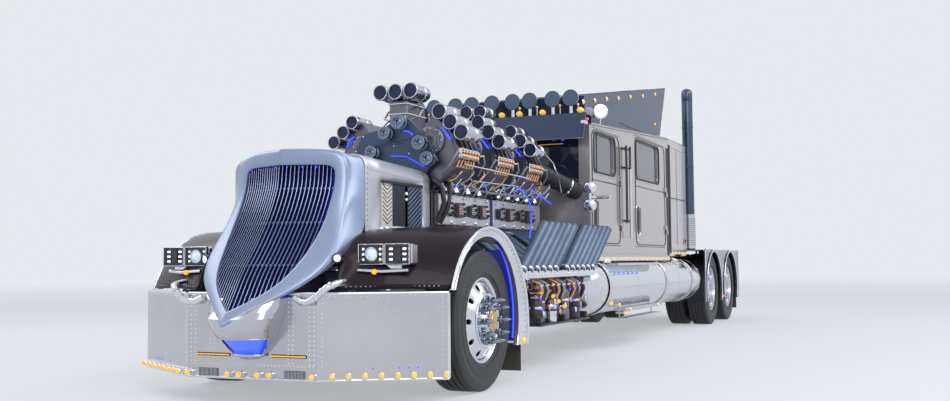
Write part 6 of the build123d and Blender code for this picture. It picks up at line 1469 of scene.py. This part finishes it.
def cushion(name, x0, x1, y0, y1, z0, z1, channels, up, coat):
    """A stuffed pad: flat below, crowned on its face, with seams between its channels and pulled-in sides."""
    pad = Shape()
    nu, nv = channels * 8, 16
    lengths = (x1 - x0, y1 - y0, z1 - z0)
    deep = lengths[up]
    spans = [axis for axis in range(3) if axis != up]
    rows = []
    for j in range(nv + 1):
        v = j / nv
        row = []
        for i in range(nu + 1):
            u = i / nu
            rim = (1 - abs(2 * u - 1) ** 6) * (1 - abs(2 * v - 1) ** 6)
            crown = 0.8 * deep + 0.2 * deep * (1 - (2 * u - 1) ** 2 * 0.5) * (1 - (2 * v - 1) ** 2 * 0.5) * rim ** 0.5
            seam = min(abs(u * channels - round(u * channels)), 0.5)
            crown -= 0.022 * max(0.0, 1 - seam * 5) ** 2 * rim
            crown *= 0.62 + 0.38 * rim ** 0.35
            pull = 0.012 * sin(pi * v) * (1 if u in (0.0, 1.0) else 0)
            row.append((u, v, crown, pull))
        rows.append(row)
    low = (x0, y0, z0)

    def place(u, v, height, pull):
        point = [0.0, 0.0, 0.0]
        point[spans[0]] = low[spans[0]] + lengths[spans[0]] * u + (pull if u < 0.5 else -pull)
        point[spans[1]] = low[spans[1]] + lengths[spans[1]] * v
        point[up] = low[up] + (deep - height if up == 1 else height)
        return point

    top = [[place(u, v, h, p) for u, v, h, p in row] for row in rows]
    base = [[place(u, v, 0.0, p) for u, v, h, p in row] for row in rows]
    pad.sheet(top)
    pad.sheet(base)
    border_top = top[0] + [row[-1] for row in top[1:]] + top[-1][-2::-1] + [row[0] for row in top[-2:0:-1]]
    border_base = base[0] + [row[-1] for row in base[1:]] + base[-1][-2::-1] + [row[0] for row in base[-2:0:-1]]
    pad.sleeve([border_top, border_base])
    piece = fit(name, pad, [coat], levels=1)
    weld = piece.modifiers.new("weld", "WELD")
    weld.merge_threshold = 0.0005
    piece.modifiers.move(1, 0)


inside = Shape()
for x in (0.5, -0.5):
    inside.block(x - 0.13, x + 0.13, 4.15, 4.5, 1.046, 1.29, 0.02)
    inside.block(x - 0.24, x + 0.24, 4.08, 4.58, 1.27, 1.31, 0.012)
    inside.block(x - 0.22, x + 0.22, 4.63, 4.69, 1.32, 2.0, 0.02)
inside.block(-0.995, 0.995, 5.75, 6.6, 1.046, 1.34, 0.02)
inside.block(-0.995, 0.995, 3.2405, 3.56, 1.3, 1.7, 0.04, 1)
inside.block(0.25, 0.75, 3.46, 3.61, 1.5, 1.72, 0.03, 1)
for k, x in enumerate((0.32, 0.43, 0.57, 0.68)):
    inside.lathe([(45, 0), (45, 8), (38, 10), (36, 6), (3, 6)], (x, 3.61, 1.63), REAR, 24, 2)
    inside.rod((x, 3.618, 1.63), (x + 0.02, 3.618, 1.652), 0.0015, 6, 3)
for x in (-0.7, -0.45, -0.2, 0.05):
    inside.block(x, x + 0.16, 3.558, 3.566, 1.5, 1.58, 0.006, 2)
inside.rod((0.5, 3.56, 1.46), (0.5, 3.744, 1.605), 0.028, 20, 1)
fit("cab_fittings", inside, [seat_base, dash_black, trim_polish, amber_glow],
    replaces=["cab_interior"])
for x, name in ((0.5, "left"), (-0.5, "right")):
    cushion("seat_pad_" + name, x - 0.26, x + 0.26, 4.05, 4.6, 1.3, 1.43, 5, 2, seat_leather)
    cushion("seat_back_" + name, x - 0.26, x + 0.26, 4.56, 4.66, 1.44, 1.84, 5, 1, seat_leather)
    cushion("head_rest_" + name, x - 0.17, x + 0.17, 4.57, 4.65, 1.86, 2.04, 3, 1, seat_leather)
cushion("bunk_mattress", -0.98, 0.98, 5.76, 6.59, 1.34, 1.5, 8, 2, bunk_cloth)

# Steering wheel: a black leather rim with stitching, held by four drilled bright spokes round a horn
# button.
rim_leather = finish("rim_leather", (0.016, 0.015, 0.015), rough=0.45, mottle=0.2, grain_size=500.0, bump=0.4)
repaint("steering_wheel", rim_leather)
helm = Shape()
lean = Vector((0, 0.2, 0.16)).normalized()
over = Vector(LEFT).cross(lean)
centre = Vector((0.5, 3.76, 1.62))
helm.lathe([(46, -12), (46, 10), (38, 16), (20, 19), (3, 20)], centre, lean, 32)
for k in range(44):
    a = 2 * pi * k / 44
    place = centre + (cos(a) * Vector(LEFT) + sin(a) * over) * 0.1995
    helm.studs([place], lean, 0.003, 0.8, 4)
for k in range(4):
    a = pi / 2 * k + pi / 4
    out = cos(a) * Vector(LEFT) + sin(a) * over
    for r in (0.08, 0.115, 0.15):
        helm.lathe([(8, 6), (8, 7.5), (5, 8)], centre + out * r, lean, 12)
fit("steering_wheel_trim", helm, [trim_polish], "steering_wheel")

# Rear box: a lighter painted box behind the cab with a chamfered top edge, riveted seams, a crease line
# round its middle drawn in black as painted shade, and a flush latch low at the back, joined to the cab
# by a pleated rubber boot.
box_paint = finish("box_paint", (0.47, 0.455, 0.47), metal=0.45, rough=0.28, coat=0.6, mottle=0.05, patch=0.8,
                   bump=0.012, dust=0.1)
boot_rubber = finish("boot_rubber", (0.016, 0.016, 0.018), rough=0.6, mottle=0.3, patch=5.0,
                     grain_size=300.0, bump=0.4)
repaint("rear_box", box_paint)
repaint("cab_boot", boot_rubber)
BOX_X = 1.0
BOX_Y = (6.86, 7.99)
box_trim = Shape()
box_trim.block(BOX_X - 0.003, BOX_X + 0.004, BOX_Y[0] + 0.03, BOX_Y[1] - 0.03, 1.022, 1.052, 0.002, 1)
box_trim.block(BOX_X - 0.004, BOX_X + 0.003, BOX_Y[0] + 0.003, BOX_Y[0] + 0.13, 1.06, 2.54, 0.002, 2)
for z in (1.085, 2.58):
    box_trim.studs(along((BOX_X, BOX_Y[0] + 0.05, z), (BOX_X, BOX_Y[1] - 0.05, z), 20), LEFT, 0.005, 0.5, 6)
for y in (BOX_Y[0] + 0.16, BOX_Y[1] - 0.045):
    box_trim.studs(along((BOX_X, y, 1.12), (BOX_X, y, 2.55), 24), LEFT, 0.005, 0.5, 6)
# The crease is a thin black line: painted shade of the fold.
box_trim.tube([(BOX_X + 0.0005, BOX_Y[0] + 0.03, 1.82), (BOX_X + 0.0005, BOX_Y[1] - 0.03, 1.82)], 0.0045, 6, 2)
box_trim.block(BOX_X - 0.002, BOX_X + 0.006, BOX_Y[1] - 0.2, BOX_Y[1] - 0.1, 1.2, 1.28, 0.004, 1)
box_trim.rod((BOX_X + 0.006, BOX_Y[1] - 0.15, 1.24), (BOX_X + 0.012, BOX_Y[1] - 0.15, 1.24), 0.022, 16, 2)
for y in (6.98, 7.87):
    box_trim.rod((0.78, y, 2.64), (0.78, y, 2.66), 0.02, 12, 1)
box_trim.mirrored()
for x in (-0.5, 0.0, 0.5):
    for z in (1.3, 2.3):
        box_trim.block(x - 0.13, x + 0.13, BOX_Y[1] - 0.002, BOX_Y[1] + 0.006, z - 0.02, z + 0.02, 0.003, 1)
for z in (1.1, 2.56):
    box_trim.studs(along((-0.93, BOX_Y[1], z), (0.93, BOX_Y[1], z), 26), REAR, 0.006, 0.5, 6)
fit("rear_box_trim", box_trim, [box_paint, trim_polish, seam_and_crease_shade_black])
pleats = Shape()
pleat_rings = []
for k in range(11):
    y = 6.663 + 0.194 * k / 10
    inset = 0.0 if k % 2 else 0.028
    half, low, top, corner = 1.024 - inset, 1.06 + inset, 2.6 - inset, 0.1
    quarter = [(corner * (1 - cos(pi / 2 * t / 4)), corner * (1 - sin(pi / 2 * t / 4))) for t in range(5)]
    ring = []
    for side, edge, inward, bend in ((1, top, -1, quarter), (-1, top, -1, quarter[::-1]),
                                     (-1, low, 1, quarter), (1, low, 1, quarter[::-1])):
        ring += [(side * (half - u), y, edge + inward * v) for u, v in bend]
    pleat_rings.append(ring)
pleats.sleeve(pleat_rings)
fit("cab_boot_pleats", pleats, [boot_rubber], smooth=20.0)

# Stacks: tall dark pipes with domed caps, one each side behind the box, clamped to it, with a perforated
# chromed guard round the lower part.
stack_blue = finish("stack_blue", (0.045, 0.07, 0.12), metal=0.5, rough=0.25, coat=0.6, mottle=0.1, dust=0.2)
guard_chrome = finish("guard_chrome", (0.6, 0.62, 0.66), metal=1.0, rough=0.14, mottle=0.08, patch=4.0, dust=0.3)
repaint("exhaust_stacks", stack_blue)
STACK = Vector((1.0, 8.15, 0.0))
stacks = Shape()
stacks.lathe([(80.5, 0), (88, 4), (88, 475), (80.5, 480)], (1.0, 8.15, 1.13), UP, 48, 1)
for row in range(13):
    for column in range(28):
        a = 2 * pi * (column + 0.5 * (row % 2)) / 28
        out = Vector((cos(a), sin(a), 0))
        stacks.lathe([(6.2, 0), (6.2, 0.4), (3, 0.5)], STACK + out * 0.0879 + Vector((0, 0, 1.19 + 0.031 * row)),
                     out, 6, 2)
for z, coat in ((1.13, 1), (1.6, 1), (2.31, 0), (2.9, 0)):
    stacks.lathe([(79.5, 0), (84.5, 4), (84.5, 30), (79.5, 34)], (1.0, 8.15, z), UP, 48, coat)
stacks.lathe([(79.5, 3300), (81.5, 3306), (81.5, 3415), (79, 3438), (70, 3462), (54, 3479), (32, 3489), (4, 3492)],
             (1.0, 8.15, 0), UP, 48)
stacks.mirrored()
fit("stack_trim", stacks, [stack_blue, guard_chrome, seam_and_crease_shade_black])

# Fuel tanks: polished aluminium drums with domed ends, hung from the frame by strapped brackets, with a
# filler cap, a plate step along the top, a lower step on hangers, and small lamps under each.
tank_polish = finish("tank_polish", (0.72, 0.74, 0.79), metal=1.0, rough=0.1, mottle=0.05, patch=1.5, grain=0.05,
                     grain_size=160.0, stretch=(1.0, 0.15, 1.0), bump=0.02, dust=0.3)
step_plate = finish("step_plate", (0.66, 0.67, 0.7), metal=1.0, rough=0.2, mottle=0.12, patch=4.0, dust=0.3)
repaint("fuel_tanks", tank_polish)
TANK = Vector((0.9, 0.0, 0.69))
tanks = Shape()
for y in (3.4, 5.9, 7.4):
    for side_y in (y - 0.04, y + 0.035):
        tanks.lathe([(300.5, 0), (303, 1), (303, 4), (300.5, 5)], (0.9, side_y, 0.69), REAR, 72, 0)
    a = radians(22)
    place = TANK + Vector((0.301 * cos(a), y, 0.301 * sin(a)))
    tanks.rod(place + Vector((0, -0.028, 0.01)), place + Vector((0, 0.028, 0.01)), 0.013, 12, 0)
    tanks.studs([place + Vector((0, 0, -0.03)), place + Vector((0, 0, 0.045))], (1, 0, 0.3), 0.01, 0.8, 6)
for y in (3.08, 4.55, 6.6, 7.85):
    tanks.lathe([(289.5, 0), (291.8, 3), (291.8, 9), (289.5, 12)], (0.9, y, 0.69), REAR, 72, 0)
for y in (3.75, 6.95):
    tanks.lathe([(62, -20), (62, 0), (68, 4), (68, 34), (60, 42), (4, 46)],
                TANK + Vector((0.12, y, 0.262)), (0.35, 0, 1), 32, 0)
    for k in range(16):
        a = 2 * pi * k / 16
        lean = Vector((0.35, 0, 1)).normalized()
        side = lean.orthogonal().normalized()
        out = cos(a) * side + sin(a) * lean.cross(side)
        tanks.rod(TANK + Vector((0.12, y, 0.262)) + out * 0.068 + lean * 0.006,
                  TANK + Vector((0.12, y, 0.262)) + out * 0.068 + lean * 0.032, 0.004, 6, 0)
for k in range(60):
    y = 3.67 + k * 0.03
    tanks.block(0.975, 1.185, y, y + 0.006, 0.939, 0.943, 0.001, 1)
tanks.block(1.185, 1.203, 3.648, 5.452, 0.915, 0.9405, 0.004, 1)
for k in range(53):
    y = 3.93 + k * 0.03
    tanks.block(1.085, 1.2, y, y + 0.012, 0.444, 0.45, 0.002, 1)
tanks.block(1.2, 1.214, 3.898, 5.502, 0.416, 0.45, 0.004, 1)
tanks.block(1.093, 1.215, 3.95, 5.45, 0.335, 0.347, 0.003, 1)
for y in (4.0, 5.4):
    tanks.block(1.1, 1.112, y, y + 0.02, 0.34, 0.425, 0.002, 1)
for k in range(6):
    tanks.rod((1.115, 3.634 + k * 0.185, 0.85), (1.165, 3.634 + k * 0.185, 0.826), 0.012, 10, 1)
    tanks.studs([(1.167, 3.634 + k * 0.185, 0.825)], (1, -0.4, -0.3), 0.011, 0.9, 8, 3)
for y, z in ((3.417, 0.517), (3.737, 0.494), (3.926, 0.4)):
    tanks.lathe([(19, 0), (18, 10), (10, 20), (2, 23)], (1.185, y, z), (1, -0.4, 0), 12, 2)
    tanks.rod((1.09, y, z), (1.186, y, z), 0.011, 8, 1)
for k in range(6):
    tanks.studs([(1.15, 4.0 + k * 0.26, 0.419)], (0.6, 0, -1), 0.007, 0.9, 8, 3)
for y in (4.05, 5.3):
    tanks.lathe([(22, 0), (23, 6), (19, 10)], (1.212, y, 0.433), LEFT, 14, 1)
    tanks.lathe([(19, 9), (14, 20), (3, 26)], (1.212, y, 0.433), LEFT, 14, 2)
tanks.mirrored()
fit("tank_trim", tanks, [tank_polish, step_plate, amber_glow, blue_glow])

# Rear fenders: one long skin each side over both axles, painted dark blue, with rolled polished lips
# round the arches, a bright top edge, rivets, and red tail lamps low at the back.
fender_navy = finish("fender_navy", (0.035, 0.05, 0.09), metal=0.45, rough=0.24, coat=0.7, mottle=0.1, patch=0.8,
                     bump=0.012, dust=0.35)
rear_rubber = finish("rear_rubber", (0.02, 0.02, 0.022), rough=0.75, mottle=0.25, patch=4.0, grain_size=220.0,
                     bump=0.6, dust=0.4)
repaint("rear_fenders", fender_navy)
repaint("mudflaps", rear_rubber)
SKIN_X = 1.227
SKIN_Y = (8.11, 10.86)
LIP_END_Z = -0.165
rear = Shape()
rear.tube([(SKIN_X + 0.002, SKIN_Y[0] + 0.01, 1.118), (SKIN_X + 0.002, 9.5, 1.118),
           (SKIN_X + 0.002, SKIN_Y[1] - 0.01, 1.118)], 0.011, 10, 1)
rear.studs(along((SKIN_X, SKIN_Y[0] + 0.05, 1.088), (SKIN_X, SKIN_Y[1] - 0.05, 1.088), 52), LEFT, 0.0055, 0.5, 6, 1)
for y in (SKIN_Y[0] + 0.012, SKIN_Y[1] - 0.012):
    rear.tube([(SKIN_X + 0.001, y, 0.36), (SKIN_X + 0.001, y, 1.105)], 0.008, 8, 1)
for y in REAR_AXLES_Y:
    for radius, thick in ((0.578, 0.0075), (0.56, 0.005)):
        a0 = atan2(LIP_END_Z, sqrt(radius ** 2 - LIP_END_Z ** 2))
        path = []
        for k in range(49):
            a = a0 + (pi - 2 * a0) * k / 48
            path.append((1.2415, y + radius * cos(a), AXLE_Z + radius * sin(a)))
        rear.tube([p for p in path if abs(p[1] - sum(REAR_AXLES_Y) / 2) > 0.02 or p[2] > AXLE_Z], thick, 8, 1)
    rear.studs([(1.2412, y + 0.569 * cos(a), AXLE_Z + 0.569 * sin(a)) for a in
                [radians(-8 + 196 * k / 40) for k in range(41)]], LEFT, 0.0045, 0.5, 6, 1)
for x in (1.05, 0.62):
    rear.tube([(x, SKIN_Y[0] + 0.03, 1.1165), (x, SKIN_Y[1] - 0.02, 1.1165)], 0.004, 6, 1)
for x in (0.66, 0.83, 1.0):
    rear.lathe([(56, 0), (60, 6), (60, 20), (52, 24)], (x, 10.86, 1.03), REAR, 28, 1)
    rear.lathe([(52, 22), (35, 32), (3, 36)], (x, 10.86, 1.03), REAR, 28, 2)
rear.block(0.56, 1.1, 10.856, 10.862, 0.955, 1.105, 0.004)
for y, z in ((8.2, 0.42), (10.72, 0.42), (9.4175, 0.4)):
    rear.lathe([(25, 0), (26, 8), (22, 11)], (SKIN_X, y, z), LEFT, 16, 1)
    rear.lathe([(22, 10), (15, 22), (3, 26)], (SKIN_X, y, z), LEFT, 16, 2)
for x in (0.6, 1.19):
    rear.studs([(x + (0.04 if x < 1 else -0.04), 10.811, 0.98), (x + (0.04 if x < 1 else -0.04), 10.811, 1.06)],
               REAR, 0.01)
rear.block(0.6, 1.19, 10.8105, 10.8155, 1.0, 1.045, 0.002, 1)
rear.block(0.61, 1.18, 10.8105, 10.8145, 0.175, 0.235, 0.002, 1)
rear.mirrored()
fit("rear_fender_trim", rear, [fender_navy, trim_polish, red_glow])

# Fifth wheel: a greased cast plate with a tapered throat on ears, rocking on two pins, with ribs under
# it, a round locking jaw, a release handle and grease grooves turned in its face.
plate_steel = finish("plate_steel", (0.11, 0.105, 0.1), metal=0.9, rough=0.32, mottle=0.35, patch=4.0, grain=0.1,
                     grain_size=90.0, bump=0.1, dust=0.1)
repaint("fifth_wheel_plate", plate_steel)
HITCH_Y = 9.4175
HITCH_TOP = 1.17
hitch = Shape()
for x in (0.18, 0.3, 0.4):
    reach = sqrt(0.44 ** 2 - x ** 2)
    hitch.block(x - 0.01, x + 0.01, HITCH_Y - reach, HITCH_Y + reach * 0.75, HITCH_TOP - 0.085,
                HITCH_TOP - 0.049, 0.003)
    hitch.studs([(x, HITCH_Y - 0.12, HITCH_TOP), (x, HITCH_Y + 0.12, HITCH_TOP)], UP, 0.006, 0.6, 8, 1)
for radius in (0.1, 0.22, 0.34):
    start = 0.42 if radius > 0.3 else 0.55 if radius > 0.2 else 0.75
    hitch.tube([(radius * sin(a), HITCH_Y + radius * cos(a), HITCH_TOP) for a in
                [start + (pi - start - 0.02) * k / 22 for k in range(23)]], 0.0022, 6, 2)
hitch.lathe([(34, 0), (36, 6), (36, 22), (30, 28), (4, 29)], (0.385, HITCH_Y, 1.06), LEFT, 24, 1)
hitch.mirrored()
for x in (-0.055, 0.024):
    hitch.block(x, x + 0.031, HITCH_Y - 0.05, HITCH_Y + 0.16, HITCH_TOP - 0.072, HITCH_TOP - 0.05, 0.004, 1)
hitch.tube([(0.2, HITCH_Y - 0.1, 1.098), (0.4, HITCH_Y - 0.14, 1.095), (0.52, HITCH_Y - 0.15, 1.09),
            (0.545, HITCH_Y - 0.2, 1.09)], 0.011, 10, 1)
fit("fifth_wheel_fittings", hitch, [plate_steel, bolt_zinc, seam_and_crease_shade_black], "fifth_wheel_plate")
